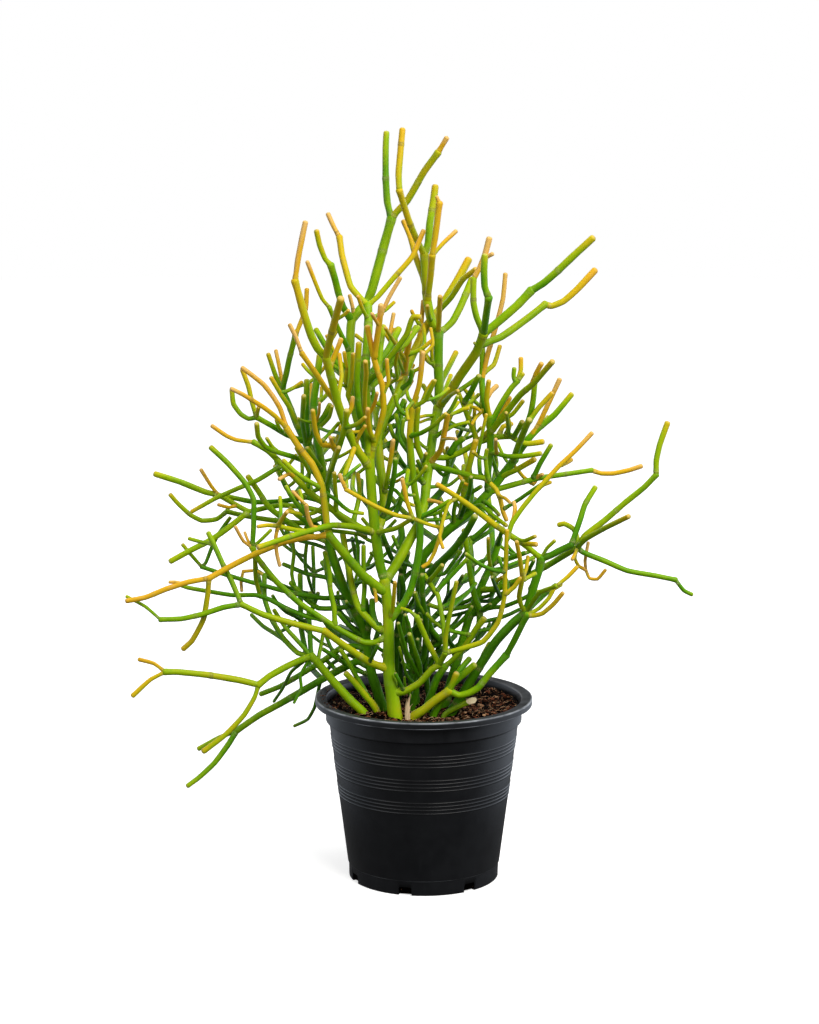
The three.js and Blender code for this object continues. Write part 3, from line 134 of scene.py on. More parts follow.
# Each stem is its name, the depth y of its foot and its shoot. A shoot is its thickness at the foot and
# at the tip, the depth y at its tip, its tone at the foot and at the tip (0 dark green, 0.5 lime, 1 peach),
# its route as [across, up] points, and the shoots that grow from it. All lengths are in millimetres.
STEMS = [
["stem_main", -62,
 [18, 13, -48, 0.55, 0.5, [[-37, 209], [-41, 241], [-45, 273], [-45, 300], [-46, 350], [-50, 388]], [
  [10, 8.5, -92, 0.55, 0.65, [[-46, 273], [-70, 282], [-97, 300], [-128, 323]], [
   [8.5, 7.5, -115, 0.5, 0.4, [[-128, 323], [-165, 332], [-205, 344], [-234, 358]], [
    [7.5, 6.5, -130, 0.3, 0.35, [[-234, 358], [-257, 354], [-284, 345], [-311, 339], [-338, 338]], [
     [4.5, 4.5, -125, 0.35, 0.4, [[-338, 338], [-357, 355], [-382, 369]], []]]],
    [7, 6.5, -85, 0.35, 0.4, [[-234, 358], [-246, 388], [-256, 408], [-268, 436], [-276, 453]], [
     [5, 5, -70, 0.35, 0.35, [[-268, 436], [-283, 439], [-301, 444]], []]]]]]]],
  [9.5, 8.5, -78, 0.5, 0.45, [[-42, 243], [-25, 243], [-5, 255], [10, 272], [20, 279]], [
   [7.5, 7, -92, 0.5, 0.5, [[20, 279], [6, 306], [-9, 341]], [
    [5.5, 4.5, -80, 0.5, 0.5, [[-9, 341], [-18, 349], [-30, 353]], []]]],
   [8, 7.5, -92, 0.45, 0.45, [[20, 279], [28, 294]], [
    [7, 5.5, -115, 0.5, 0.55, [[28, 294], [28, 317], [36, 359], [42, 389]], []],
    [6.5, 5.5, -80, 0.45, 0.45, [[28, 294], [25, 331], [18, 370], [8, 385], [0, 398]], []],
    [7, 5.5, -115, 0.5, 0.7, [[28, 294], [50, 300], [76, 309], [95, 334], [103, 366], [104, 400],
      [106, 456]], [
     [6.5, 6, -95, 0.55, 0.85, [[104, 440], [112, 463], [125, 483], [140, 502], [163, 528], [172, 538],
       [192, 557], [214, 581]], [
      [5.5, 5.5, -80, 0.75, 0.8, [[172, 538], [180, 541], [188, 546]], []],
      [5, 5, -90, 0.5, 0.55, [[143, 506], [152, 513], [162, 517]], []]]],
     [6.5, 5.5, -95, 0.6, 0.6, [[103, 370], [116, 381], [124, 394]], []]]]]]]],
  [8, 7.5, -78, 0.35, 0.45, [[-46, 318], [-62, 308], [-77, 308], [-104, 322], [-130, 339], [-160, 360],
    [-189, 388], [-213, 419], [-219, 432]], [
   [7, 6.5, -55, 0.4, 0.4, [[-114, 329], [-115, 352], [-120, 378], [-121, 400], [-127, 428]], []],
   [6.5, 5.5, -55, 0.35, 0.3, [[-128, 338], [-150, 342], [-175, 352], [-197, 364], [-215, 370],
     [-245, 370], [-276, 375], [-303, 380], [-314, 384]], []],
   [7, 7, -60, 0.2, 0.35, [[-219, 432], [-217, 465], [-217, 495], [-227, 515], [-249, 541],
     [-272, 563]], []],
   [4.5, 4.5, -95, 0.8, 0.95, [[-219, 432], [-230, 440], [-241, 460]], []],
   [4, 4, -70, 0.85, 0.95, [[-220, 434], [-225, 442], [-229, 453]], []],
   [5, 4.5, -75, 0.3, 0.35, [[-219, 432], [-206, 444], [-194, 456]], []],
   [5.5, 5.5, -60, 0.6, 0.6, [[-217, 426], [-215, 390], [-209, 366]], []]]],
  [12, 10.5, -80, 0.5, 0.5, [[-49, 373], [-77, 395], [-100, 422], [-122, 449]], [
   [9, 8, -62, 0.65, 0.75, [[-122, 449], [-125, 474], [-130, 513], [-142, 540], [-158, 561],
     [-174, 586]], [
    [6.5, 6, -45, 0.8, 0.95, [[-174, 586], [-182, 611], [-190, 625], [-202, 641], [-215, 652],
      [-231, 664]], []],
    [6.5, 5.5, -80, 0.8, 0.95, [[-174, 586], [-188, 601], [-202, 612], [-229, 629], [-245, 637]], []],
   ]],
   [8, 7.5, -118, 0.75, 0.85, [[-122, 449], [-137, 446], [-152, 445], [-179, 439], [-213, 425],
     [-241, 411], [-275, 392]], [
    [7, 6.5, -128, 0.8, 0.85, [[-275, 392], [-302, 387], [-330, 378], [-357, 367], [-383, 362]], [
     [5, 4.5, -120, 0.8, 0.85, [[-310, 384], [-318, 387], [-327, 387]], []]]],
    [7, 7, -125, 0.65, 0.75, [[-275, 392], [-277, 370], [-283, 338], [-298, 310], [-311, 298]], []],
   ]]]],
  [9, 7.5, -32, 0.45, 0.45, [[-46, 324], [-57, 326], [-71, 339], [-84, 354], [-91, 378], [-98, 415],
    [-104, 452]], []],
  [10, 9, -34, 0.35, 0.35, [[-45, 336], [-25, 360], [-17, 377], [-12, 395], [-8, 416], [-5, 440],
    [-5, 466]], [
   [9, 8, -66, 0.45, 0.65, [[-5, 466], [-8, 487], [-12, 508], [-16, 549], [-18, 576], [-15, 612]], [
    [7, 6.5, -85, 0.8, 0.9, [[-15, 612], [-6, 642], [-1, 684]], []],
    [6, 5, -95, 0.42, 0.48, [[-15, 612], [2, 622], [14, 648]], []]]]]],
  [13, 12, -36, 0.4, 0.4, [[-50, 388], [-56, 409], [-62, 450], [-65, 480], [-67, 508], [-70, 565],
    [-72, 600], [-74, 640], [-74, 669]], [
   [9.5, 7, -68, 0.45, 0.5, [[-61, 455], [-77, 456], [-104, 472], [-128, 490], [-144, 502], [-169, 528],
     [-198, 557], [-216, 568]], [
    [5.5, 5.5, -68, 0.8, 0.95, [[-216, 568], [-238, 571], [-250, 576], [-270, 590]], []],
    [5, 5, -90, 0.8, 0.9, [[-165, 524], [-172, 527], [-185, 520]], []],
    [6.5, 5.5, -40, 0.3, 0.65, [[-180, 539], [-212, 519], [-236, 509], [-265, 496], [-297, 478]], []],
   ]],
   [8, 7, -92, 0.45, 0.5, [[-62, 452], [-90, 459], [-117, 461], [-145, 454], [-172, 446], [-213, 432]], [
    [6, 5, -108, 0.6, 0.6, [[-150, 453], [-170, 456], [-186, 460], [-200, 461], [-213, 459]], [
     [6, 5.5, -120, 0.7, 0.75, [[-186, 460], [-183, 466], [-174, 479]], []],
     [5, 5, -125, 0.8, 0.95, [[-186, 460], [-189, 446], [-188, 425], [-184, 407]], []]]],
    [5.5, 5.5, -85, 0.85, 0.9, [[-136, 457], [-143, 460], [-148, 472], [-150, 487]], [
     [4.5, 4.5, -85, 0.85, 0.95, [[-150, 487], [-158, 495], [-168, 506]], []]]]]],
   [6.5, 6, -98, 0.5, 0.55, [[-62, 451], [-36, 457], [-14, 470]], [
    [6, 5.5, -112, 0.6, 0.8, [[-14, 470], [-36, 474], [-63, 486], [-99, 507]], [
     [5.5, 5.5, -112, 0.8, 0.9, [[-99, 507], [-108, 528]], []]]],
    [5.5, 5.5, -105, 0.6, 0.85, [[-14, 470], [-21, 490], [-28, 522]], []],
    [5.5, 4.5, -108, 0.55, 0.6, [[-14, 470], [0, 464], [23, 457]], [
     [5, 5, -112, 0.6, 0.75, [[23, 457], [14, 427], [6, 412], [-3, 406]], []]]]]],
   [11.5, 11, -2, 0.5, 0.6, [[-61, 446], [-52, 475], [-51, 500], [-56, 542], [-57, 574], [-43, 611],
     [-33, 631], [-24, 656], [-16, 676], [-6, 697], [4, 717], [16, 732]], [
    [10.5, 10, 20, 0.6, 0.66, [[16, 732], [27, 750], [42, 774], [57, 802]], []],
    [7.5, 7, 10, 0.46, 0.66, [[16, 732], [34, 752], [49, 775], [66, 788]], []],
    [8, 8, -48, 0.85, 0.9, [[-25, 654], [-22, 680], [-17, 708]], []],
    [6, 5.5, -45, 0.6, 0.75, [[-20, 666], [-34, 684], [-45, 701], [-53, 713]], [
     [5.5, 5.5, -45, 0.9, 0.95, [[-44, 700], [-42, 712], [-38, 733]], []]]],
    [6, 5, -55, 0.7, 0.75, [[-26, 651], [-40, 646], [-51, 637]], []],
    [6, 6, 5, 0.85, 0.95, [[-8, 693], [-4, 715], [-1, 749]], []]]],
   [8.5, 8, -70, 0.35, 0.45, [[-71, 585], [-81, 601], [-85, 640], [-82, 696]], []],
   [8.5, 7, -75, 0.6, 0.85, [[-69, 545], [-57, 584], [-51, 610], [-53, 641], [-62, 670], [-72, 717]], [
    [7.5, 7.5, -95, 0.85, 0.9, [[-63, 674], [-60, 695], [-56, 722], [-54, 744]], [
     [5.5, 5.5, -90, 0.9, 0.95, [[-55, 727], [-44, 752], [-29, 778]], []],
     [5, 5, -105, 0.8, 0.85, [[-57, 717], [-61, 723], [-66, 732]], []]]],
    [8, 8, -60, 0.35, 0.4, [[-58, 655], [-55, 690], [-51, 718]], []]]],
   [11, 10, -72, 0.5, 0.6, [[-69, 535], [-84, 557], [-97, 584], [-105, 605], [-111, 625], [-117, 650],
     [-124, 676]], [
    [10.5, 9, -88, 0.6, 0.75, [[-124, 676], [-134, 687], [-142, 703], [-150, 728], [-162, 772]], [
     [7, 7, -85, 0.85, 0.95, [[-162, 772], [-158, 800], [-152, 830], [-148, 848]], []]]],
    [8.5, 9, -105, 0.68, 0.72, [[-124, 676], [-120, 693], [-112, 724], [-104, 752]], []],
    [7, 6.5, -60, 0.7, 0.85, [[-108, 615], [-120, 630], [-134, 652], [-154, 681]], [
     [5.5, 5.5, -55, 0.85, 0.9, [[-154, 681], [-162, 703], [-170, 719]], []]]],
    [7, 6, -110, 0.75, 0.85, [[-119, 662], [-108, 690], [-104, 701]], []]]],
   [12, 11.5, -18, 0.3, 0.35, [[-70, 556], [-82, 590], [-91, 625], [-94, 660], [-93, 700], [-91, 723],
     [-72, 746]], [
    [12.5, 11.5, 0, 0.35, 0.45, [[-72, 746], [-66, 760], [-59, 785], [-50, 818], [-41, 850]], [
     [9.5, 8, 14, 0.35, 0.4, [[-41, 850], [-46, 870], [-48, 900], [-48, 938], [-47, 959]], []],
     [9, 8.5, -18, 0.55, 0.6, [[-41, 850], [-35, 858], [-21, 873], [0, 909], [17, 932]], [
      [7, 7, -24, 0.8, 0.95, [[17, 932], [29, 952]], []]]]]],
    [9, 8.5, -50, 0.35, 0.45, [[-91, 723], [-102, 740], [-107, 755], [-112, 775], [-117, 792]], [
     [7, 7, -60, 0.5, 0.6, [[-117, 792], [-124, 800], [-131, 818], [-135, 837]], []]]],
    [7, 6, -60, 0.25, 0.4, [[-94, 682], [-104, 704], [-113, 724], [-119, 739]], [
     [5.5, 5.5, -75, 0.6, 0.95, [[-119, 739], [-128, 750], [-141, 782], [-147, 798]], []]]],
    [7.5, 7, 10, 0.25, 0.3, [[-94, 650], [-112, 671], [-124, 690], [-137, 713]], []],
    [6.5, 6.5, 30, 0.2, 0.25, [[-92, 635], [-105, 655], [-117, 673]], []],
    [5.5, 5, -20, 0.85, 0.9, [[-88, 727], [-90, 740], [-94, 756]], []]]],
   [11, 11, 5, 0.3, 0.35, [[-74, 669], [-71, 700], [-70, 725], [-71, 741]], [
    [7, 6.5, 26, 0.55, 0.85, [[-71, 741], [-58, 753], [-41, 773], [-15, 803], [0, 837]], []],
    [8.5, 8, 35, 0.55, 0.65, [[-71, 741], [-92, 765], [-98, 785], [-103, 805], [-106, 827]], [
     [6.5, 6.5, 40, 0.8, 0.95, [[-106, 827], [-113, 840], [-121, 858]], []]]]]],
   [9, 9, 25, 0.3, 0.4, [[-74, 648], [-60, 664], [-45, 686], [-31, 714]], []],
   [7.5, 7, -5, 0.3, 0.4, [[-74, 642], [-58, 657], [-38, 683], [-22, 705], [-14, 727], [-3, 727]], []],
   [7.5, 7.5, 50, 0.3, 0.4, [[-73, 632], [-55, 650], [-36, 675], [-9, 716]], []]]],
  [13, 12, -36, 0.4, 0.45, [[-50, 388], [-36, 409], [-25, 429], [-16, 446], [-6, 464], [1, 494], [3, 515],
    [6, 535], [11, 576], [18, 612]], [
   [8, 7, -72, 0.35, 0.45, [[6, 539], [37, 531], [64, 524], [77, 522]], [
    [6.5, 6, -88, 0.6, 0.85, [[77, 522], [91, 508], [97, 495], [101, 478], [106, 466]], []],
    [5, 4, -70, 0.85, 0.9, [[44, 529], [50, 516], [56, 513], [62, 520]], []]]],
   [8, 7.5, -40, 0.4, 0.45, [[8, 550], [25, 548], [44, 554], [67, 567], [88, 574], [110, 576]], [
    [7.5, 7.5, -45, 0.45, 0.45, [[110, 576], [120, 569], [131, 566], [153, 569]], []],
    [7.5, 5.5, -60, 0.55, 0.65, [[67, 567], [64, 580], [57, 596], [50, 615], [43, 633]], []],
    [7.5, 7, -75, 0.66, 0.72, [[67, 567], [85, 585], [96, 601], [109, 627]], []],
    [7, 6, -30, 0.5, 0.6, [[94, 575], [100, 588], [113, 592]], []],
    [7, 7, -50, 0.5, 0.6, [[104, 576], [108, 590], [104, 604]], []]]],
   [7.5, 7, -62, 0.8, 0.9, [[7, 541], [14, 548], [21, 558], [27, 586], [30, 604]], []],
   [8, 7.5, -52, 0.5, 0.6, [[5, 528], [-1, 545], [-8, 562], [-10, 582], [-8, 612]], []],
   [5.5, 4.5, -68, 0.8, 0.85, [[1, 494], [14, 492], [26, 489], [38, 495]], []],
   [12.5, 12, -22, 0.45, 0.45, [[18, 612], [19, 640], [18, 662], [18, 707]], [
    [12.5, 10.5, -12, 0.45, 0.5, [[18, 707], [9, 723], [4, 747], [2, 770], [0, 805]], [
     [10, 9, 6, 0.45, 0.65, [[0, 805], [5, 820], [7, 845], [11, 869], [14, 893]], []],
     [8.5, 8.5, -26, 0.65, 0.65, [[0, 805], [-12, 830], [-20, 850], [-31, 885]], [
      [8.6, 7.8, -10, 0.62, 0.7, [[-31, 885], [-32, 905], [-30, 930], [-27, 963]], []]]],
     [8.5, 6.5, 15, 0.6, 0.85, [[2, 768], [-10, 801], [-18, 829], [-27, 849]], []],
     [8.5, 8.5, -40, 0.7, 0.8, [[4, 747], [8, 779], [10, 804]], [
      [8, 8, -48, 0.75, 0.85, [[10, 804], [14, 829], [19, 869]], [
       [5.5, 5.5, -50, 0.85, 0.9, [[19, 869], [15, 879]], []]]],
      [5.5, 5.5, -25, 0.7, 0.95, [[10, 804], [24, 820], [41, 836]], []]]]]],
    [9, 9.5, 8, 0.4, 0.5, [[18, 707], [27, 713], [36, 722], [46, 741], [61, 777]], []],
    [7.5, 7.5, 15, 0.45, 0.6, [[18, 640], [28, 658], [41, 684]], []],
    [7, 6.5, -50, 0.66, 0.74, [[16, 728], [20, 754]], []]]],
   [12, 11.5, -48, 0.6, 0.5, [[18, 612], [34, 634], [45, 652], [56, 668], [66, 683], [75, 706]], [
    [8.5, 7.5, -42, 0.45, 0.65, [[75, 706], [66, 727], [62, 745], [62, 775]], [
     [7, 8, -42, 0.85, 0.9, [[62, 775], [70, 790], [76, 805], [82, 828]], [
      [5.5, 5.5, -50, 0.85, 0.9, [[76, 800], [87, 807]], []]]]]],
    [9.5, 9, -66, 0.25, 0.3, [[75, 706], [78, 730], [81, 751]], [
     [9, 8.5, -68, 0.25, 0.35, [[81, 751], [76, 765], [75, 785], [76, 807]], []]]],
    [11, 10.5, -88, 0.35, 0.4, [[75, 706], [99, 726], [117, 742], [134, 760]], [
     [10, 9, -105, 0.35, 0.5, [[134, 760], [150, 770], [165, 783], [187, 804], [213, 828]], []]]],
    [9.5, 9, -15, 0.5, 0.55, [[70, 691], [97, 702], [132, 727], [152, 743]], [
     [8.5, 9, -5, 0.6, 0.75, [[152, 743], [160, 741], [175, 747], [192, 762], [216, 788]], []]]],
    [4, 4, -60, 0.4, 0.3, [[68, 688], [63, 695]], []]]],
   [6.5, 6, -70, 0.35, 0.4, [[18, 612], [4, 632], [-2, 642]], []],
   [6.5, 6.5, 0, 0.4, 0.45, [[15, 596], [27, 635], [34, 654]], []]]],
  [5.5, 5, -66, 0.62, 0.85, [[-44, 336], [-40, 352], [-37, 388]], []]]],
],
["stem_left", -50,
 [11.5, 10, -58, 0.45, 0.4, [[-76, 212], [-95, 232], [-118, 258], [-135, 279], [-145, 290]], [
  [9, 8.5, -78, 0.5, 0.5, [[-145, 290], [-160, 284], [-175, 277], [-198, 264], [-213, 252]], [
   [9, 8, -92, 0.5, 0.5, [[-213, 252], [-237, 258], [-278, 265], [-318, 269], [-333, 269]], [
    [5, 5.5, -82, 0.75, 0.85, [[-333, 269], [-347, 280], [-368, 286]], []],
    [5.5, 6.5, -102, 0.75, 0.65, [[-333, 269], [-352, 259], [-377, 236]], []]]],
   [6, 7.5, -98, 0.5, 0.65, [[-213, 252], [-218, 236], [-232, 212], [-256, 186], [-287, 162]], []]]],
  [7, 6.5, -25, 0.35, 0.4, [[-145, 290], [-162, 294], [-181, 314], [-195, 338], [-204, 365],
    [-204, 396]], [
   [4.5, 4.5, -30, 0.8, 0.85, [[-204, 396], [-216, 402], [-231, 401]], [
    [4.5, 4.5, -35, 0.8, 0.85, [[-231, 401], [-234, 388], [-233, 374]], []]]],
   [6, 5.5, 15, 0.3, 0.3, [[-176, 309], [-192, 320], [-206, 329], [-222, 345]], []]]],
  [7, 6, -40, 0.25, 0.3, [[-145, 290], [-146, 310], [-147, 335], [-148, 350]], []],
  [6, 5.5, -10, 0.3, 0.35, [[-145, 290], [-163, 311], [-178, 328], [-193, 352]], []],
  [5.5, 5, -30, 0.35, 0.4, [[-137, 281], [-133, 300], [-128, 325]], []],
  [4.5, 4, -60, 0.2, 0.15, [[-160, 284], [-170, 270], [-182, 247], [-194, 229]], []],
  [4.5, 4, -50, 0.25, 0.2, [[-164, 282], [-159, 264], [-158, 248], [-168, 227]], []]]],
],
["stem_left_stub", -45,
 [8.5, 7.5, -52, 0.55, 0.5, [[-60, 216], [-66, 227], [-77, 240], [-90, 256], [-102, 269]], []],
],
["stem_back_left", -26,
 [13, 11, -12, 0.25, 0.3, [[-53, 219], [-59, 241], [-67, 266], [-73, 301], [-76, 324], [-91, 354],
   [-104, 384], [-118, 425], [-124, 450], [-126, 478], [-125, 505]], [
  [9.5, 8.5, -10, 0.3, 0.3, [[-69, 277], [-85, 283], [-104, 274], [-131, 259], [-158, 243], [-185, 227],
    [-212, 212], [-242, 191]], [
   [6.5, 6.5, -5, 0.4, 0.5, [[-242, 191], [-264, 182], [-293, 166]], []],
   [8, 6.5, -30, 0.3, 0.4, [[-242, 191], [-252, 174], [-271, 148], [-292, 128], [-308, 116]], []]]],
  [8, 7, 20, 0.25, 0.35, [[-73, 300], [-90, 303], [-106, 301], [-125, 287], [-158, 266], [-185, 250],
    [-212, 239]], []],
  [5.5, 4.5, 62, 0.2, 0.3, [[-70, 285], [-95, 292], [-118, 280], [-133, 256], [-141, 222], [-150, 206],
    [-168, 197]], []],
  [7, 5.5, 10, 0.2, 0.25, [[-97, 368], [-128, 366], [-160, 371], [-185, 377], [-221, 387], [-261, 399],
    [-284, 407]], [
   [5, 5, 0, 0.35, 0.4, [[-284, 407], [-296, 421], [-309, 437]], []],
   [5, 5, 20, 0.2, 0.25, [[-284, 407], [-279, 412], [-271, 432], [-262, 450], [-246, 472]], []]]],
  [7, 6.5, -10, 0.2, 0.25, [[-92, 356], [-110, 353], [-135, 353], [-150, 364], [-172, 388]], [
   [5, 5, -5, 0.3, 0.35, [[-166, 381], [-169, 398], [-166, 425], [-169, 452]], []]]],
  [7.5, 7, -35, 0.4, 0.5, [[-122, 440], [-145, 448], [-165, 460], [-185, 474], [-198, 485], [-210, 504],
    [-225, 526]], []],
  [6.5, 5.5, 35, 0.2, 0.2, [[-104, 384], [-125, 393], [-150, 398], [-181, 411]], []],
  [7, 6.5, -35, 0.35, 0.55, [[-126, 478], [-150, 484], [-181, 487], [-200, 484], [-223, 479], [-242, 489],
    [-261, 500]], [
   [8, 8, -30, 0.45, 0.55, [[-261, 500], [-278, 504], [-310, 517], [-344, 528]], []],
   [5, 5, -45, 0.8, 0.95, [[-261, 500], [-270, 511], [-284, 534]], []],
   [7.5, 7.5, -60, 0.45, 0.5, [[-223, 479], [-244, 462], [-270, 443], [-297, 429], [-326, 413]], []],
   [4.5, 4.5, -50, 0.75, 0.85, [[-238, 487], [-248, 484], [-263, 488]], []]]],
  [6.5, 6.5, 10, 0.2, 0.25, [[-125, 490], [-150, 497], [-181, 492], [-215, 491], [-254, 499]], []],
  [7, 6.5, 0, 0.3, 0.35, [[-126, 472], [-150, 464], [-181, 466], [-216, 471], [-240, 476], [-251, 479]], [
   [6.5, 6, -15, 0.35, 0.45, [[-251, 479], [-264, 469], [-283, 467], [-297, 474], [-313, 489],
     [-324, 502]], []]]],
  [10, 9, 0, 0.3, 0.35, [[-125, 505], [-129, 535], [-136, 575], [-140, 615], [-135, 650], [-131, 681]], []],
  [8.5, 7.5, -40, 0.35, 0.4, [[-125, 505], [-116, 540], [-108, 562], [-100, 588], [-98, 610]], [
   [6, 6, -68, 0.7, 0.75, [[-110, 556], [-118, 563], [-129, 565], [-137, 580], [-141, 610]], []],
   [5, 5, -60, 0.85, 0.9, [[-113, 560], [-116, 566], [-119, 575]], []]]],
  [10, 8.5, 5, 0.25, 0.3, [[-125, 505], [-133, 528], [-139, 545], [-147, 561], [-161, 590], [-172, 619],
    [-179, 635]], [
   [6.5, 6, 0, 0.35, 0.5, [[-179, 635], [-187, 652], [-197, 682]], []],
   [5.5, 5.5, 20, 0.85, 0.95, [[-179, 635], [-181, 655], [-187, 686]], []],
   [8, 7.5, 20, 0.35, 0.4, [[-179, 635], [-174, 655], [-170, 674], [-162, 704]], [
    [6.5, 6.5, 25, 0.8, 0.8, [[-162, 704], [-149, 737], [-147, 764]], []]]],
   [6.5, 6, -15, 0.45, 0.6, [[-158, 584], [-170, 612], [-182, 631], [-194, 652]], []],
   [8, 7.5, 0, 0.2, 0.25, [[-147, 561], [-149, 600], [-148, 649]], []],
   [6.5, 6.5, 18, 0.4, 0.75, [[-147, 561], [-143, 600], [-143, 643]], []],
   [6.5, 6.5, -20, 0.35, 0.5, [[-149, 566], [-154, 595], [-152, 628]], []],
   [7, 7, -25, 0.3, 0.35, [[-151, 569], [-173, 577], [-191, 588], [-212, 600]], [
    [6.5, 6.5, -22, 0.3, 0.4, [[-212, 600], [-222, 598], [-232, 604], [-241, 617], [-243, 637]], []],
    [6.5, 6.5, -20, 0.45, 0.6, [[-212, 600], [-217, 617], [-222, 640], [-230, 662]], []],
    [5.5, 5.5, -40, 0.45, 0.55, [[-212, 600], [-209, 614]], []]]]]],
  [6.5, 6.5, -40, 0.35, 0.45, [[-129, 520], [-148, 541], [-165, 549], [-185, 555], [-201, 562],
    [-210, 575], [-212, 593]], [
   [5.5, 5, -45, 0.3, 0.3, [[-186, 555], [-193, 563], [-200, 574]], []]]]]],
],
["stem_front_right", -60,
 [11, 10.5, -72, 0.55, 0.5, [[-14, 209], [0, 219], [14, 231], [33, 244]], [
  [8, 8, -70, 0.5, 0.58, [[33, 244], [38, 256], [43, 269]], []],
  [9, 9, -72, 0.4, 0.35, [[33, 244], [45, 238], [58, 241], [70, 248], [84, 266], [106, 291]], [
   [8.5, 7.5, -98, 0.35, 0.35, [[106, 291], [116, 310], [126, 331], [133, 344]], [
    [6.5, 5.5, -118, 0.55, 0.7, [[133, 344], [140, 343], [152, 346], [166, 358], [179, 374]], []],
    [5.5, 5, -105, 0.5, 0.6, [[133, 344], [148, 353], [160, 366], [168, 381]], []]]]]]]],
],
["stem_right", -42,
 [12.5, 11.5, -66, 0.2, 0.2, [[33, 212], [41, 224], [49, 237], [56, 250], [73, 279], [94, 311],
   [115, 334], [131, 347]], [
  [7, 7, -38, 0.35, 0.45, [[68, 275], [77, 292], [86, 308]], []],
  [11, 10.5, -70, 0.2, 0.2, [[131, 347], [137, 368], [142, 386], [147, 402], [150, 418]], [
   [8, 6.5, -112, 0.5, 0.65, [[150, 418], [128, 436], [110, 448], [91, 461], [64, 482], [37, 501],
     [15, 515]], [
    [6.5, 6.5, -100, 0.5, 0.6, [[123, 439], [133, 437], [145, 436]], []],
    [5, 5, -98, 0.45, 0.5, [[116, 443], [128, 441], [143, 447]], []],
    [4.5, 4.5, -118, 0.65, 0.75, [[42, 497], [31, 488], [20, 446], [25, 430]], []]]],
   [10, 8.5, -64, 0.15, 0.15, [[150, 418], [162, 422], [175, 429], [188, 435]], [
    [7.5, 7, -45, 0.2, 0.3, [[188, 435], [193, 450], [199, 468], [205, 488], [219, 512]], []]]],
   [5, 5, -80, 0.5, 0.5, [[150, 418], [157, 431], [168, 442]], []]]],
  [7, 6.5, -80, 0.15, 0.2, [[131, 347], [145, 362], [159, 375], [170, 384]], []],
  [6.5, 5.5, -90, 0.6, 0.7, [[131, 347], [125, 356], [122, 368], [126, 392], [123, 416], [118, 441]], []],
  [6.5, 5.5, -58, 0.4, 0.6, [[134, 358], [148, 373], [170, 382]], [
   [5.5, 5.5, -52, 0.6, 0.7, [[170, 382], [184, 394], [197, 408]], []]]]]],
],
["stem_back_right", -14,
 [12.5, 9, 20, 0.2, 0.3, [[26, 222], [34, 252], [45, 292], [55, 330], [64, 358], [75, 385], [88, 415],
   [98, 447]], [
  [8.5, 7.5, -20, 0.35, 0.35, [[47, 298], [62, 316], [71, 332], [72, 350], [65, 368], [60, 395],
    [56, 425], [51, 457]], [
   [7, 7, -5, 0.25, 0.3, [[57, 418], [58, 430], [60, 445]], []]]],
  [9, 8, 0, 0.2, 0.2, [[60, 345], [74, 350], [88, 358], [100, 370], [113, 379]], [
   [6, 5, -10, 0.5, 0.55, [[98, 368], [88, 395], [83, 420], [82, 445]], []]]],
  [8.5, 8, -30, 0.35, 0.45, [[72, 377], [90, 378], [115, 387], [135, 396], [162, 411], [178, 421],
    [196, 432]], [
   [8, 7.5, -50, 0.5, 0.4, [[196, 432], [205, 447], [230, 467], [257, 491], [280, 510], [295, 526]], [
    [7.5, 7.5, -45, 0.45, 0.55, [[295, 526], [295, 545], [299, 565], [309, 595]], []]]],
   [7, 6.5, -62, 0.45, 0.5, [[196, 432], [206, 443], [230, 457], [262, 473]], []],
   [7.5, 6.5, -35, 0.3, 0.35, [[196, 432], [203, 426], [230, 415], [260, 402], [298, 395], [322, 390]], [
    [5.5, 5.5, -35, 0.3, 0.35, [[322, 390], [333, 376], [345, 370]], []]]],
   [6.5, 6.5, -50, 0.5, 0.55, [[196, 432], [196, 444], [191, 456], [179, 463], [170, 461]], []],
   [5, 5, -55, 0.6, 0.75, [[196, 432], [193, 423], [189, 416]], []],
   [4.5, 4.5, -20, 0.5, 0.85, [[196, 432], [193, 418], [198, 408], [207, 403]], [
    [4.5, 4.5, -22, 0.9, 0.95, [[207, 403], [206, 415], [210, 440]], []],
    [4.5, 4.5, -30, 0.85, 0.95, [[207, 403], [212, 392], [222, 391], [233, 404]], []]]]]],
  [6, 5, 40, 0.25, 0.3, [[90, 420], [105, 416], [120, 421], [138, 428]], []],
  [6.5, 6, 50, 0.25, 0.3, [[81, 398], [100, 403], [125, 412], [142, 420]], []],
  [5.5, 5, 0, 0.2, 0.25, [[67, 365], [85, 370], [105, 394]], []]]],
],
["stem_middle", 6,
 [13.5, 12.5, 14, 0.12, 0.15, [[-12, 226], [-14, 260], [-10, 300], [-6, 350], [-4, 388]], [
  [12, 10.5, 22, 0.15, 0.3, [[-4, 388], [-1, 420], [17, 441], [30, 454], [57, 478], [84, 505], [105, 533],
    [115, 546]], [
   [9.5, 7.5, 30, 0.25, 0.4, [[115, 546], [132, 572], [145, 586], [165, 603], [188, 631]], [
    [6.5, 6.5, 15, 0.75, 0.9, [[136, 577], [146, 593], [158, 619], [172, 650]], []],
    [6.5, 5.5, 25, 0.3, 0.35, [[148, 588], [158, 602]], []]]],
   [8.5, 8, 8, 0.35, 0.35, [[113, 543], [120, 565], [128, 585], [134, 598]], [
    [7.5, 7, 0, 0.25, 0.3, [[127, 583], [135, 605], [138, 622], [140, 645]], []],
    [7, 6.5, 30, 0.45, 0.6, [[131, 592], [145, 612], [163, 632]], []]]],
   [8, 6.5, 30, 0.3, 0.45, [[84, 505], [105, 511], [119, 515], [146, 522], [180, 527], [213, 532]], [
    [6.5, 6.5, 25, 0.8, 0.95, [[213, 532], [225, 528], [241, 528], [260, 532], [278, 538]], []],
    [7.5, 6.5, 10, 0.15, 0.25, [[138, 520], [147, 540], [162, 566]], []],
    [5, 5, 15, 0.8, 0.85, [[143, 521], [146, 525], [152, 527]], []]]],
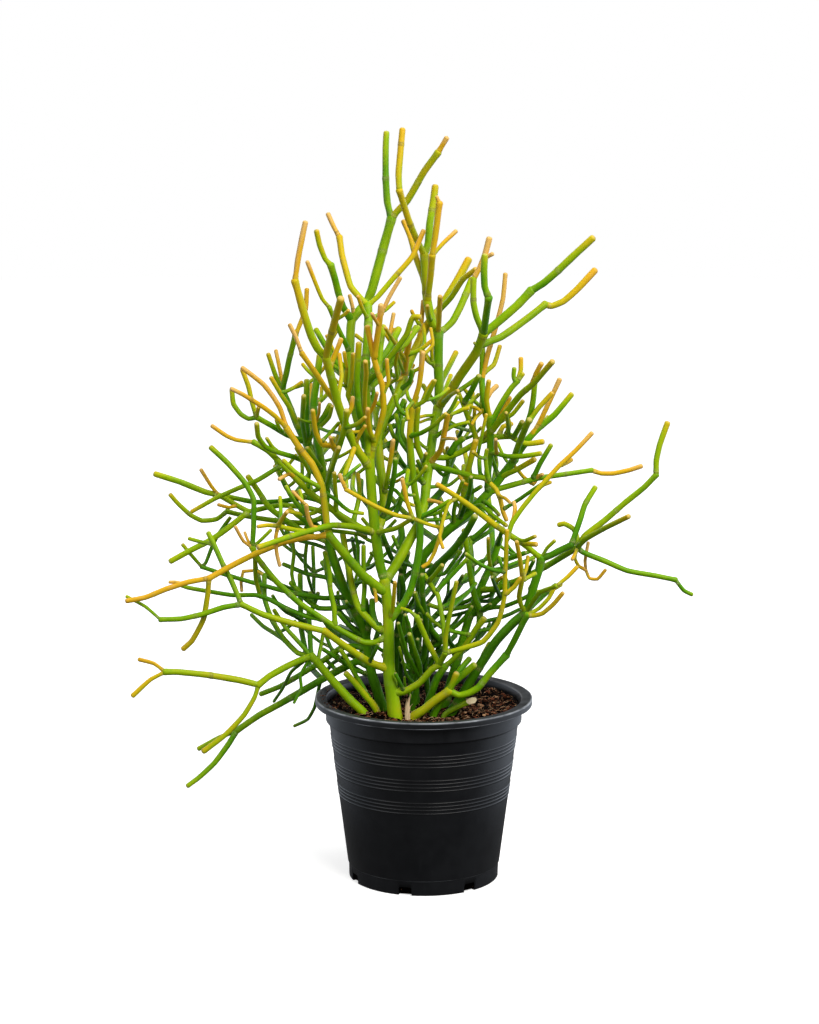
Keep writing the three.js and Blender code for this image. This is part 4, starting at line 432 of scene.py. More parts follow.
   [10, 8.5, 5, 0.35, 0.35, [[82, 503], [81, 530], [84, 555], [84, 578], [83, 600]], [
    [6.5, 6.5, -2, 0.35, 0.4, [[84, 556], [105, 550], [125, 550], [150, 554]], []],
    [7.5, 7, 10, 0.3, 0.35, [[83, 590], [98, 618], [110, 637], [118, 646]], [
     [6, 6, 8, 0.25, 0.3, [[116, 644], [113, 652], [114, 664]], []],
     [6.5, 6.5, 15, 0.5, 0.75, [[118, 646], [122, 660], [122, 677]], []],
     [6.5, 6.5, 8, 0.3, 0.35, [[118, 646], [126, 657]], []]]],
    [8.5, 7.5, -25, 0.5, 0.55, [[84, 580], [107, 610], [122, 629], [138, 643], [163, 672]], [
     [6.5, 6.5, -28, 0.75, 0.85, [[137, 642], [141, 655], [149, 670]], []]]],
    [8, 8, 20, 0.3, 0.35, [[83, 590], [76, 615], [73, 645], [74, 672], [72, 700]], [
     [7, 6, 22, 0.85, 0.95, [[74, 648], [80, 679], [92, 721], [99, 750], [102, 783]], []],
     [6.5, 6, 5, 0.55, 0.65, [[74, 655], [88, 667], [96, 692]], []]]],
    [7, 6.5, -10, 0.75, 0.9, [[84, 585], [75, 612], [84, 632], [93, 641]], []],
    [7, 6.5, 0, 0.6, 0.7, [[80, 600], [79, 622], [82, 648]], []]]],
   [7.5, 7.5, -5, 0.4, 0.5, [[98, 524], [118, 533], [130, 540], [142, 547]], []],
   [5, 5, -20, 0.65, 0.85, [[107, 537], [114, 538], [126, 524], [139, 514], [144, 523]], []],
   [8.5, 8, -25, 0.45, 0.5, [[47, 469], [49, 490], [54, 523], [60, 548], [66, 572]], []],
   [6.5, 6, 10, 0.25, 0.35, [[78, 498], [86, 510], [92, 540], [88, 560]], []]]],
  [10.5, 8.5, -2, 0.12, 0.2, [[-4, 386], [18, 410], [38, 430], [54, 452], [66, 474]], []],
  [8, 7, 14, 0.25, 0.3, [[-13, 240], [-14, 262], [-24, 300], [-26, 330], [-33, 362]], []],
  [8, 7, -6, 0.25, 0.3, [[-12, 250], [-8, 268], [-14, 290], [-21, 335]], [
   [5.5, 5.5, -25, 0.2, 0.1, [[-13, 286], [-9, 300], [-8, 313]], []]]],
  [8, 7, 10, 0.2, 0.25, [[-12, 262], [0, 290], [3, 330], [-2, 372], [-2, 398]], []],
  [7.5, 6.5, -28, 0.25, 0.3, [[-10, 296], [22, 308], [10, 325], [2, 350], [-5, 356], [-12, 375]], []],
 ]],
],
["stem_inner_left", -30,
 [8.5, 7, -38, 0.15, 0.2, [[-16, 217], [-13, 232], [-9, 250], [-4, 266]], [
  [6.5, 5.5, -30, 0.2, 0.15, [[-4, 266], [-10, 288], [-16, 316], [-24, 345]], []],
  [5.5, 5, -48, 0.2, 0.3, [[-6, 262], [-13, 276], [-24, 300], [-33, 334]], []]]],
],
["stem_inner_right", -26,
 [9.5, 9, -40, 0.2, 0.28, [[3, 218], [9, 238], [17, 260], [27, 276]], [
  [7.5, 8, -60, 0.38, 0.42, [[27, 276], [40, 288], [55, 306], [68, 327], [79, 341]], []]]],
],
["stem_inner_back", 14,
 [8.5, 7, 24, 0.1, 0.12, [[8, 229], [4, 256], [2, 280], [4, 304], [6, 330], [3, 358]], []],
],
["stem_behind_trunk", 26,
 [10.5, 9, 36, 0.1, 0.1, [[-34, 232], [-31, 262], [-31, 305], [-30, 345], [-30, 385], [-22, 425]], [
  [6.5, 6, 20, 0.1, 0.1, [[-30, 385], [-18, 399], [-4, 405], [12, 410]], []]]],
],
["stem_cut_right", -52,
 [9, 8.5, -66, 0.2, 0.35, [[12, 211], [19, 224], [26, 237], [34, 250], [50, 265], [67, 280]], [
  [7.5, 7.5, -30, 0.25, 0.3, [[34, 250], [46, 271], [60, 288]], []]]],
],
]

# Thin twigs that only the finished plant has, each as its thickness at the foot and at the tip, the depth
# at its tip, its tone at the foot and at the tip, and its route. It grows from the nearest of the solids'
# own shoots.
MORE = (
    (6.5, 5.5, -70, 0.5, 0.45, ((7, 388), (14, 397), (24, 410))),
    (5.5, 5, 20, 0.15, 0.2, ((17, 374), (28, 390), (40, 408), (52, 424), (60, 440))),
    (5.5, 5, 30, 0.1, 0.25, ((22, 352), (30, 368), (42, 383), (50, 396))),
    (5.5, 5, 10, 0.15, 0.3, ((15, 386), (26, 398), (38, 414), (48, 428))),
    (5.5, 5, 40, 0.1, 0.2, ((6, 358), (14, 372), (27, 392))),
    (6.5, 6, -10, 0.3, 0.35, ((64, 358), (50, 354), (35, 352), (20, 353), (5, 358))),
    (5, 4.5, 20, 0.12, 0.15, ((55, 352), (40, 344), (28, 342), (14, 347))),
    (6, 5, -30, 0.32, 0.35, ((61, 318), (48, 320), (35, 323), (24, 327), (12, 336), (3, 347))),
    (6, 5.5, 10, 0.12, 0.15, ((22, 312), (10, 322), (2, 332), (-7, 347))),
    (5, 4.5, 25, 0.15, 0.2, ((28, 320), (38, 332), (50, 348))),
    (5.5, 5, 15, 0.15, 0.25, ((36, 352), (48, 365), (58, 375), (67, 386))),
    (5, 4.5, -20, 0.35, 0.4, ((-1, 345), (-7, 358), (-12, 374))),
    (6, 5.5, -5, 0.15, 0.2, ((-26, 308), (-14, 321), (-6, 330), (7, 343))),
    (5.5, 5, 40, 0.1, 0.12, ((-24, 352), (-11, 368), (2, 386))),
    (4, 3.5, -40, 0.35, 0.42, ((-22, 233), (-24, 250), (-25, 263))),
    (4.5, 4, -30, 0.2, 0.35, ((-11, 250), (-22, 265), (-27, 284), (-32, 303))),
    (5.5, 5.5, 10, 0.05, 0.05, ((-2, 262), (-6, 288), (-8, 312))),
    (5, 4.5, 10, 0.12, 0.15, ((46, 272), (40, 286), (35, 303), (31, 322))),
    (4.5, 4.5, 20, 0.15, 0.2, ((22, 296), (16, 307), (8, 315))),
    (5.5, 5, -5, 0.12, 0.15, ((57, 407), (70, 413), (85, 419))),
    (5.5, 5.5, 10, 0.25, 0.3, ((84, 402), (100, 405), (118, 412), (126, 416))),
    (5.5, 5.5, 25, 0.12, 0.15, ((86, 408), (100, 416), (115, 421), (131, 426))),
    (5.5, 5, 0, 0.2, 0.25, ((88, 394), (105, 407), (122, 414))),
    (5.5, 5, 20, 0.1, 0.12, ((69, 361), (82, 362), (98, 366))),
    (5.5, 5, 10, 0.15, 0.2, ((76, 334), (97, 340), (110, 345), (124, 352))),
    (6, 5.5, 0, 0.12, 0.15, ((86, 343), (102, 355), (120, 362), (139, 372))),
    (4.5, 4, -60, 0.12, 0.1, ((106, 371), (108, 380), (106, 391))),
    (5.5, 5, -40, 0.1, 0.12, ((130, 396), (136, 406), (141, 416))),
    (6, 5.5, -60, 0.5, 0.45, ((126, 389), (135, 394), (144, 399))),
    (5.5, 5, -85, 0.5, 0.6, ((127, 391), (131, 405), (133, 422))),
    (6, 5.5, -30, 0.35, 0.4, ((130, 370), (136, 379), (142, 388))),
    (6, 5.5, -50, 0.45, 0.5, ((140, 372), (155, 376), (168, 379), (177, 385))),
    (6.5, 5.5, 10, 0.2, 0.2, ((63, 385), (62, 405), (61, 425), (58, 446))),
    (6.5, 6, -40, 0.3, 0.35, ((-68, 233), (-78, 248), (-88, 265), (-97, 282), (-108, 300))),
    (6, 5, -30, 0.15, 0.2, ((-78, 286), (-100, 278), (-121, 267))),
    (6.5, 6, -20, 0.2, 0.3, ((-67, 260), (-85, 272), (-100, 281), (-119, 297))),
    (6.5, 6, 10, 0.15, 0.2, ((-76, 313), (-100, 322), (-119, 332))),
    (6.5, 5.5, 20, 0.12, 0.2, ((-78, 312), (-96, 330), (-111, 348))),
    (7, 6, -40, 0.42, 0.5, ((-126, 507), (-121, 523), (-118, 533), (-113, 547), (-108, 562))),
    (7.5, 6.5, -70, 0.45, 0.5, ((-102, 505), (-100, 529), (-96, 540), (-88, 562))),
    (5, 4.5, -40, 0.12, 0.15, ((-101, 520), (-90, 532), (-80, 540))),
    (6.5, 6, -20, 0.3, 0.42, ((-92, 492), (-91, 510), (-89, 530))),
    (6.5, 6, 0, 0.3, 0.6, ((-82, 478), (-82, 500), (-84, 528))),
    (8, 7, 20, 0.05, 0.15, ((-80, 478), (-80, 500), (-80, 520))),
    (6, 5.5, -50, 0.4, 0.45, ((-112, 480), (-112, 495), (-113, 512), (-114, 530))),
    (6, 5.5, -10, 0.2, 0.25, ((-104, 488), (-112, 500), (-121, 517), (-126, 532))),
    (5.5, 5, -60, 0.2, 0.45, ((-121, 506), (-112, 494), (-104, 486), (-94, 479), (-76, 476))),
    (5.5, 5, -70, 0.3, 0.55, ((-118, 455), (-100, 452), (-86, 450), (-73, 446))),
    (5, 4.5, 10, 0.1, 0.15, ((-106, 440), (-90, 442), (-76, 438))),
    (4.5, 4, -40, 0.3, 0.95, ((-150, 498), (-158, 502), (-168, 505))),
    (6, 5.5, -50, 0.42, 0.5, ((-129, 481), (-140, 477), (-152, 475), (-164, 477), (-176, 480))),
    (6.5, 6, -20, 0.25, 0.35, ((-140, 456), (-150, 465), (-162, 474), (-172, 484))),
    (6, 5.5, 10, 0.2, 0.25, ((-126, 452), (-138, 462), (-150, 472), (-158, 482))),
    (6.5, 6, -60, 0.42, 0.5, ((-137, 508), (-150, 520), (-165, 531), (-180, 546))),
    (5.5, 5, -50, 0.3, 0.35, ((-141, 514), (-146, 530), (-154, 546), (-163, 562))),
    (7, 6.5, -30, 0.15, 0.2, ((-130, 530), (-139, 546), (-149, 562))),
    (6, 5.5, 20, 0.1, 0.12, ((-128, 436), (-145, 446), (-163, 455), (-182, 470))),
    (5.5, 5, 30, 0.1, 0.12, ((-120, 428), (-138, 436), (-158, 441), (-178, 452))),
    (6, 5.5, 20, 0.05, 0.08, ((-54, 500), (-54, 519), (-60, 540), (-64, 553))),
    (6.5, 6, -60, 0.45, 0.85, ((-50, 500), (-47, 519), (-44, 536), (-41, 555), (-39, 572))),
    (6, 5.5, 0, 0.1, 0.15, ((-46, 478), (-43, 497), (-38, 531), (-33, 552))),
    (5.5, 5, -30, 0.2, 0.25, ((-14, 537), (-24, 531), (-34, 525), (-45, 517))),
    (4.5, 4, -50, 0.4, 0.6, ((-42, 514), (-34, 518), (-26, 523))),
    (5, 4.5, 10, 0.1, 0.5, ((-43, 514), (-36, 506), (-29, 498), (-22, 491), (-12, 486))),
    (4.5, 4, 0, 0.15, 0.55, ((-24, 502), (-18, 500), (-12, 500))),
    (6, 5.5, 20, 0.15, 0.2, ((-43, 476), (-36, 485), (-26, 498))),
    (6, 5.5, -20, 0.3, 0.4, ((-24, 500), (-23, 512), (-20, 533))),
    (4.5, 4.5, 20, 0.12, 0.15, ((-1, 524), (-5, 532), (-10, 540))),
    (4.5, 4.5, 10, 0.12, 0.15, ((-1, 511), (-4, 517), (-9, 524))),
    (9, 8, 30, 0.08, 0.12, ((12, 478), (22, 505), (30, 530), (42, 562))),
    (5, 4.5, 0, 0.2, 0.25, ((22, 508), (32, 513), (40, 519), (48, 526))),
    (6, 5.5, -20, 0.3, 0.4, ((38, 462), (38, 478), (42, 498), (50, 520))),
    (6, 5.5, -40, 0.2, 0.3, ((1, 472), (12, 480), (22, 486), (34, 494))),
    (5.5, 5, 0, 0.15, 0.2, ((2, 466), (14, 468), (24, 469), (34, 472))),
    (5.5, 5, -10, 0.3, 0.35, ((8, 470), (18, 477), (30, 485))),
    (8, 7, 40, 0.08, 0.1, ((10, 432), (24, 447), (42, 460), (62, 474))),
    (6.5, 6, 20, 0.1, 0.12, ((-66, 436), (-58, 450), (-55, 470), (-57, 492))),
    (6, 5.5, -50, 0.55, 0.7, ((-104, 605), (-108, 628), (-104, 653), (-107, 682))),
    (5.5, 5, -30, 0.5, 0.65, ((-102, 620), (-99, 640), (-98, 662), (-101, 684))),
    (5.5, 5, 10, 0.08, 0.12, ((-94, 652), (-104, 658), (-117, 668))),
    (5, 4.5, -30, 0.4, 0.45, ((-103, 630), (-96, 639), (-88, 650))),
    (7, 6.5, -40, 0.42, 0.6, ((-96, 606), (-96, 628), (-91, 650), (-89, 682))),
    (6, 5.5, -80, 0.6, 0.95, ((-100, 596), (-96, 604), (-92, 612), (-90, 627))),
    (7, 6, -30, 0.5, 0.6, ((-84, 590), (-82, 620), (-82, 650), (-82, 684))),
    (6.5, 6, -60, 0.6, 0.7, ((-71, 590), (-75, 612), (-75, 633), (-73, 655), (-74, 672))),
    (7, 6, -80, 0.6, 0.9, ((-66, 570), (-69, 583), (-71, 597), (-71, 612))),
    (5.5, 5, -70, 0.6, 0.62, ((-91, 562), (-82, 577), (-74, 590))),
    (4.5, 4, -70, 0.5, 0.6, ((-97, 583), (-88, 581), (-79, 582))),
    (7.5, 7, -10, 0.1, 0.15, ((-133, 588), (-126, 602), (-118, 618))),
    (5.5, 5, -30, 0.4, 0.45, ((-124, 584), (-120, 600), (-116, 615))),
    (4.5, 4, -40, 0.9, 1, ((-134, 592), (-133, 605), (-132, 619))),
    (4.5, 4.5, -20, 0.1, 0.12, ((-101, 577), (-112, 581), (-122, 582), (-132, 586))),
    (5, 4.5, -50, 0.2, 0.3, ((-127, 570), (-118, 581), (-107, 594))),
    (4, 3.5, -40, 0.35, 0.4, ((-143, 592), (-152, 595), (-160, 599))),
    (6, 5.5, -30, 0.25, 0.3, ((-146, 566), (-141, 580), (-137, 594))),
    (4.5, 4.5, -30, 0.4, 0.5, ((-149, 608), (-151, 618), (-153, 628))),
    (6, 5.5, -60, 0.42, 0.5, ((-116, 548), (-110, 569), (-105, 591))),
    (6, 5.5, 10, 0.08, 0.12, ((-98, 560), (-90, 572), (-82, 590), (-80, 606))),
    (5.5, 5, -60, 0.6, 0.9, ((-49, 630), (-45, 644), (-46, 660), (-47, 675))),
    (4.5, 4, -30, 0.4, 0.5, ((-28, 655), (-30, 668), (-34, 682))),
    (6, 5.5, 30, 0.05, 0.1, ((-20, 630), (-18, 645), (-15, 662))),
    (4.5, 4, -40, 0.5, 0.6, ((-10, 613), (-2, 622), (3, 634), (12, 648))),
    (5.5, 5, -30, 0.5, 0.6, ((22, 619), (32, 627), (43, 634))),
    (5, 4.5, -20, 0.4, 0.5, ((32, 606), (38, 612), (44, 620))),
    (5, 4.5, -10, 0.3, 0.35, ((30, 603), (45, 607), (60, 616))),
    (5, 4.5, 10, 0.3, 0.5, ((12, 603), (2, 602), (-6, 600))),
    (4.5, 4, -10, 0.35, 0.5, ((14, 599), (4, 597), (-6, 593))),
    (5, 4.5, -60, 0.7, 1, ((24, 572), (32, 573), (41, 572))),
    (5, 4.5, -20, 0.35, 0.4, ((26, 583), (38, 589), (48, 592), (58, 594))),
    (5, 4.5, 0, 0.3, 0.35, ((22, 594), (34, 590), (46, 586), (60, 582))),
    (5, 4.5, 10, 0.15, 0.2, ((6, 557), (-1, 563), (-8, 570))),
    (4.5, 4, 10, 0.12, 0.15, ((-56, 578), (-46, 585), (-37, 592))),
    (4.5, 4, 0, 0.12, 0.15, ((-56, 568), (-50, 576), (-45, 583))),
    (4.5, 4.5, 10, 0.08, 0.1, ((-54, 567), (-46, 563), (-38, 560))),
    (6.5, 6, 20, 0.08, 0.1, ((-22, 550), (-29, 569), (-31, 586), (-36, 604))),
    (6, 5.5, 30, 0.08, 0.1, ((-18, 552), (-22, 566), (-28, 580), (-26, 598))),
    (6, 5.5, 10, 0.08, 0.12, ((-46, 590), (-39, 600), (-30, 612), (-25, 624))),
    (5.5, 5, 0, 0.15, 0.25, ((-21, 612), (-20, 625), (-22, 634))),
    (5, 4.5, -70, 0.7, 0.95, ((-69, 600), (-63, 616), (-59, 632))),
    (6, 5.5, -60, 0.3, 0.45, ((50, 480), (62, 484), (73, 487), (85, 476), (98, 466), (106, 460))),
    (6, 5.5, 0, 0.1, 0.15, ((48, 496), (60, 503), (74, 512))),
    (5.5, 5, -60, 0.25, 0.35, ((112, 484), (122, 495), (136, 505), (152, 516))),
    (6, 5.5, -80, 0.8, 0.9, ((110, 462), (115, 474), (116, 484), (114, 492))),
    (5, 4.5, -75, 0.7, 0.9, ((97, 500), (103, 496), (110, 490))),
    (6, 5.5, -20, 0.2, 0.35, ((80, 487), (88, 483), (96, 474))),
    (7, 6.5, 0, 0.12, 0.15, ((62, 441), (76, 456), (92, 472))),
    (6, 5.5, 10, 0.15, 0.2, ((68, 436), (82, 452), (96, 466))),
    (6, 5.5, -20, 0.2, 0.25, ((92, 436), (97, 446), (101, 458))),
    (6, 5.5, 0, 0.05, 0.1, ((72, 514), (71, 530), (70, 548))),
    (6, 5.5, -30, 0.45, 0.5, ((79, 512), (80, 530), (78, 548), (80, 560))),
    (6, 5.5, -10, 0.12, 0.15, ((96, 522), (90, 536), (85, 552))),
    (6.5, 6, 0, 0.2, 0.3, ((44, 634), (56, 642), (70, 652))),
    (8, 7, -20, 0.1, 0.15, ((52, 618), (58, 630), (64, 642), (70, 654))),
    (5.5, 5, -50, 0.35, 0.4, ((54, 615), (62, 622), (70, 630))),
    (5, 4.5, -60, 0.4, 0.5, ((69, 630), (72, 618), (76, 609))),
    (5, 4.5, -70, 0.6, 0.65, ((60, 618), (66, 612), (72, 607))),
    (5, 4.5, -70, 0.55, 0.6, ((73, 610), (66, 600), (60, 590))),
    (5, 4.5, -60, 0.45, 0.45, ((108, 577), (106, 592), (104, 606))),
    (6, 5.5, -30, 0.4, 0.4, ((100, 590), (112, 604), (126, 622))),
    (7, 7, -60, 0.3, 0.35, ((112, 572), (119, 584), (125, 595))),
    (5, 4.5, -70, 0.8, 0.95, ((92, 552), (91, 562), (91, 572))),
    (5.5, 4.5, -75, 0.6, 0.55, ((-22, 672), (-34, 690), (-43, 704), (-49, 714))),
    (6.5, 6, -40, 0.4, 0.35, ((-36, 684), (-24, 692), (-16, 702), (-6, 716))),
    (5, 4.5, -75, 0.6, 0.6, ((13, 676), (11, 692), (8, 714))),
    (8, 7, 20, 0.08, 0.12, ((-34, 556), (-33, 580), (-30, 600), (-24, 622))),
    (6, 5.5, 0, 0.1, 0.15, ((-46, 578), (-38, 588), (-26, 596), (-16, 600))),
    (6, 5.5, 10, 0.05, 0.1, ((-30, 560), (-38, 575), (-44, 592))),
    (6.5, 6, 10, 0.1, 0.12, ((-44, 560), (-36, 572), (-30, 590), (-28, 612))),
    (6, 5.5, -20, 0.15, 0.2, ((-22, 598), (-28, 606), (-34, 616), (-36, 630))),
    (5, 4.5, -40, 0.3, 0.4, ((-27, 625), (-22, 610), (-20, 596))),
    (5.5, 5, -30, 0.3, 0.35, ((30, 604), (36, 614), (43, 628))),
    (9, 8, 30, 0.02, 0.05, ((30, 556), (40, 566), (52, 574))),
    (7, 6.5, 0, 0.08, 0.1, ((-50, 468), (-46, 486), (-42, 505), (-38, 525), (-36, 548))),
    (6.5, 6, 10, 0.12, 0.15, ((-20, 528), (-28, 542), (-36, 556))),
    (6, 5.5, -10, 0.25, 0.3, ((1, 512), (-5, 523), (-11, 535))),
    (6, 5.5, -20, 0.25, 0.3, ((2, 526), (-4, 536), (-9, 546))),
    (7, 6, -10, 0.2, 0.25, ((-44, 464), (-36, 477), (-28, 498), (-22, 522))),
    (5.5, 5, 10, 0.12, 0.15, ((30, 516), (24, 526), (14, 536))),
    (6, 5.5, 20, 0.1, 0.12, ((44, 470), (52, 486), (58, 504), (60, 524))),
    (6, 5.5, 0, 0.25, 0.3, ((56, 500), (60, 516), (58, 534), (62, 552))),
    (6, 5.5, 10, 0.1, 0.15, ((30, 458), (40, 470), (52, 478), (66, 482))),
    (6.5, 6, 20, 0.06, 0.1, ((-66, 560), (-70, 580), (-68, 600), (-72, 622))),
    (6, 5.5, 0, 0.15, 0.2, ((-70, 610), (-64, 628), (-66, 648), (-62, 668))),
    (5.5, 5, 10, 0.1, 0.15, ((-40, 628), (-44, 644), (-42, 662))),
    (5, 4.5, -20, 0.5, 0.6, ((-40, 636), (-34, 650), (-36, 668), (-33, 684))),
    (5.5, 5, 0, 0.2, 0.3, ((6, 560), (14, 574), (26, 584), (40, 590))),
    (5.5, 5, 0, 0.12, 0.2, ((44, 574), (50, 588), (60, 600))),
    (5.5, 5, -20, 0.35, 0.4, ((24, 606), (36, 604), (48, 610), (58, 612))),
    (6, 5.5, -20, 0.25, 0.3, ((-76, 264), (-88, 271), (-100, 279), (-116, 290), (-131, 300))),
    (6, 5.5, 10, 0.12, 0.15, ((-84, 318), (-94, 330), (-104, 344), (-112, 356))),
    (7, 6.5, 10, 0.15, 0.2, ((-78, 320), (-88, 336), (-98, 352), (-104, 366))),
    (9, 8.5, -20, 0.3, 0.35, ((-68, 316), (-70, 332), (-73, 348), (-76, 366))),
    (6, 5.5, 0, 0.12, 0.15, ((-78, 317), (-92, 323), (-108, 330))),
    (7, 6.5, -10, 0.15, 0.2, ((-74, 298), (-88, 306), (-104, 316), (-118, 324))),
    (5.5, 5, 0, 0.2, 0.25, ((-112, 290), (-120, 302), (-126, 318))),
    (6, 5.5, 0, 0.2, 0.25, ((-104, 262), (-114, 273), (-127, 286))),
    (7, 6.5, 0, 0.06, 0.1, ((-70, 285), (-66, 300), (-60, 318), (-56, 334))),
    (8, 7.5, -10, 0.1, 0.12, ((-58, 322), (-62, 334), (-66, 350), (-66, 366))),
    (9, 8.5, 0, 0.05, 0.08, ((-36, 240), (-37, 260), (-36, 290), (-34, 320), (-30, 350))),
    (7, 6.5, -20, 0.3, 0.3, ((-2, 262), (-12, 275), (-22, 294), (-29, 314))),
    (7, 6.5, -20, 0.3, 0.3, ((-1, 264), (-6, 280), (-12, 298), (-19, 320))),
    (5.5, 5, -20, 0.3, 0.35, ((-25, 312), (-14, 325), (-3, 338))),
    (6, 5.5, -10, 0.25, 0.3, ((-31, 245), (-32, 270), (-32, 298))),
    (6, 5.5, 0, 0.1, 0.12, ((6, 268), (12, 286), (20, 304), (22, 318))),
    (8, 8, -40, 0.3, 0.35, ((8, 246), (14, 258), (22, 270), (27, 279))),
    (9, 9, -20, 0.3, 0.35, ((70, 275), (78, 290), (86, 307))),
    (6, 5.5, 0, 0.2, 0.25, ((78, 316), (86, 326), (92, 338))),
    (7.5, 7, 10, 0.08, 0.1, ((74, 282), (88, 300), (104, 320), (122, 342))),
    (6, 5.5, 0, 0.15, 0.2, ((30, 322), (42, 330), (54, 342), (62, 356))),
    (8, 7.5, 20, 0.05, 0.08, ((16, 300), (12, 318), (6, 338), (4, 358))),
    (5.5, 5, 10, 0.08, 0.1, ((40, 296), (34, 308), (28, 322))),
    (5.5, 5, 10, 0.1, 0.12, ((-76, 380), (-82, 402), (-88, 424), (-92, 446))),
    (5, 4.5, 10, 0.15, 0.2, ((-80, 392), (-84, 412), (-84, 432), (-88, 452))),
    (6.5, 6, 0, 0.3, 0.35, ((-74, 352), (-76, 380), (-77, 408), (-77, 436))),
    (6, 5.5, 0, 0.1, 0.15, ((-58, 354), (-64, 372), (-70, 392))),
    (7, 6.5, 10, 0.12, 0.15, ((-34, 402), (-42, 420), (-48, 436), (-54, 452))),
    (6, 5.5, 20, 0.08, 0.1, ((-40, 416), (-28, 412), (-14, 408))),
    (6, 5.5, 20, 0.06, 0.1, ((-42, 428), (-30, 424), (-18, 424))),
    (6.5, 6, 20, 0.08, 0.1, ((-30, 386), (-27, 404), (-26, 420), (-20, 440))),
    (10, 9, 10, 0.15, 0.2, ((-34, 412), (-30, 428), (-28, 446), (-30, 462))),
    (9, 8, 10, 0.04, 0.06, ((-30, 345), (-28, 362), (-27, 380), (-30, 398))),
    (6, 5.5, 0, 0.3, 0.35, ((-112, 348), (-118, 372), (-124, 396), (-127, 418))),
    (6, 5.5, 10, 0.15, 0.2, ((-92, 408), (-104, 424), (-114, 440), (-120, 454))),
    (5, 4.5, -60, 0.6, 0.95, ((-66, 384), (-62, 372), (-61, 360))),
    (6.5, 6, 0, 0.2, 0.25, ((3, 388), (16, 402), (30, 418), (44, 430))),
    (6, 5.5, -10, 0.3, 0.3, ((18, 376), (30, 390), (44, 405), (56, 418))),
    (6, 5.5, 0, 0.2, 0.25, ((30, 354), (46, 366), (64, 380))),
    (6, 5.5, -20, 0.25, 0.3, ((54, 396), (58, 412), (60, 430), (60, 448))),
    (5.5, 5, -20, 0.15, 0.2, ((98, 368), (92, 380), (87, 394))),
    (5.5, 5, -60, 0.4, 0.8, ((88, 384), (95, 390), (102, 394))),
)


# ------------------------------------------------------------------ laying out the branches

def sighted(across, up, depth):
    """The point at a depth that is seen at (across, up) on the plane y = 0: both offsets from the eye
    point grow in proportion to the distance from it."""
    reach = (EYE_BACK_MM + depth) / EYE_BACK_MM
    return np.array([EYE_ACROSS_MM + (across - EYE_ACROSS_MM) * reach, depth,
                     EYE_UP_MM + (up - EYE_UP_MM) * reach])


def seen(points):
    """The inverse of sighted, for an array of points."""
    reach = (EYE_BACK_MM + points[:, 1]) / EYE_BACK_MM
    return np.stack([EYE_ACROSS_MM + (points[:, 0] - EYE_ACROSS_MM) / reach,
                     EYE_UP_MM + (points[:, 2] - EYE_UP_MM) / reach], axis=1)


def corner_of(thickness):
    """How far the corners of the many-sided solid of the same section stand from its middle."""
    sides = next(count for least, count in SOLID_SIDES if thickness >= least)
    return math.sqrt(2 * math.pi / (sides * math.sin(2 * math.pi / sides))) * thickness / 2


def shares_of(route):
    """The length of a route up to each of its points, as a share of the whole."""
    lengths = lengths_along(np.array(route, float))
    return lengths / lengths[-1]


def laid_out(foot, route, tip_depth):
    """The points of a shoot that starts at foot and whose depth runs evenly to its tip's depth."""
    depths = foot[1] + (tip_depth - foot[1]) * shares_of(route)
    points = [sighted(across, up, depth) for (across, up), depth in zip(route, depths)]
    return np.array([foot] + points[1:])


def segment_gaps(a, b, c, d):
    """The smallest distances between the segment a-b and each of the segments c-d: the nearest place on
    one unbounded line is clamped to its segment, then the same on the other, then on the first again."""
    u = b - a
    v = d - c
    w = a - c
    uu = u @ u
    uv = v @ u
    vv = np.einsum("ij,ij->i", v, v)
    uw = w @ u
    vw = np.einsum("ij,ij->i", v, w)
    spread = uu * vv - uv * uv
    s = np.where(spread > 1e-9, np.clip((uv * vw - vv * uw) / np.maximum(spread, 1e-9), 0, 1), 0)
    t = np.clip((uv * s + vw) / vv, 0, 1)
    s = np.clip((uv * t - uw) / uu, 0, 1)
    return np.linalg.norm(w + s[:, None] * u - t[:, None] * v, axis=1)


def beyond(points, length):
    """The part of a line of points that lies beyond a length from its start."""
    spans = np.linalg.norm(np.diff(points, axis=0), axis=1)
    ends = np.cumsum(spans)
    later = np.nonzero(ends > length)[0]
    if len(later) == 0:
        return points[-1:]
    first = later[0]
    share = (length - (ends[first] - spans[first])) / spans[first]
    start = points[first] + (points[first + 1] - points[first]) * share
    return np.vstack([start, points[first + 1:]])


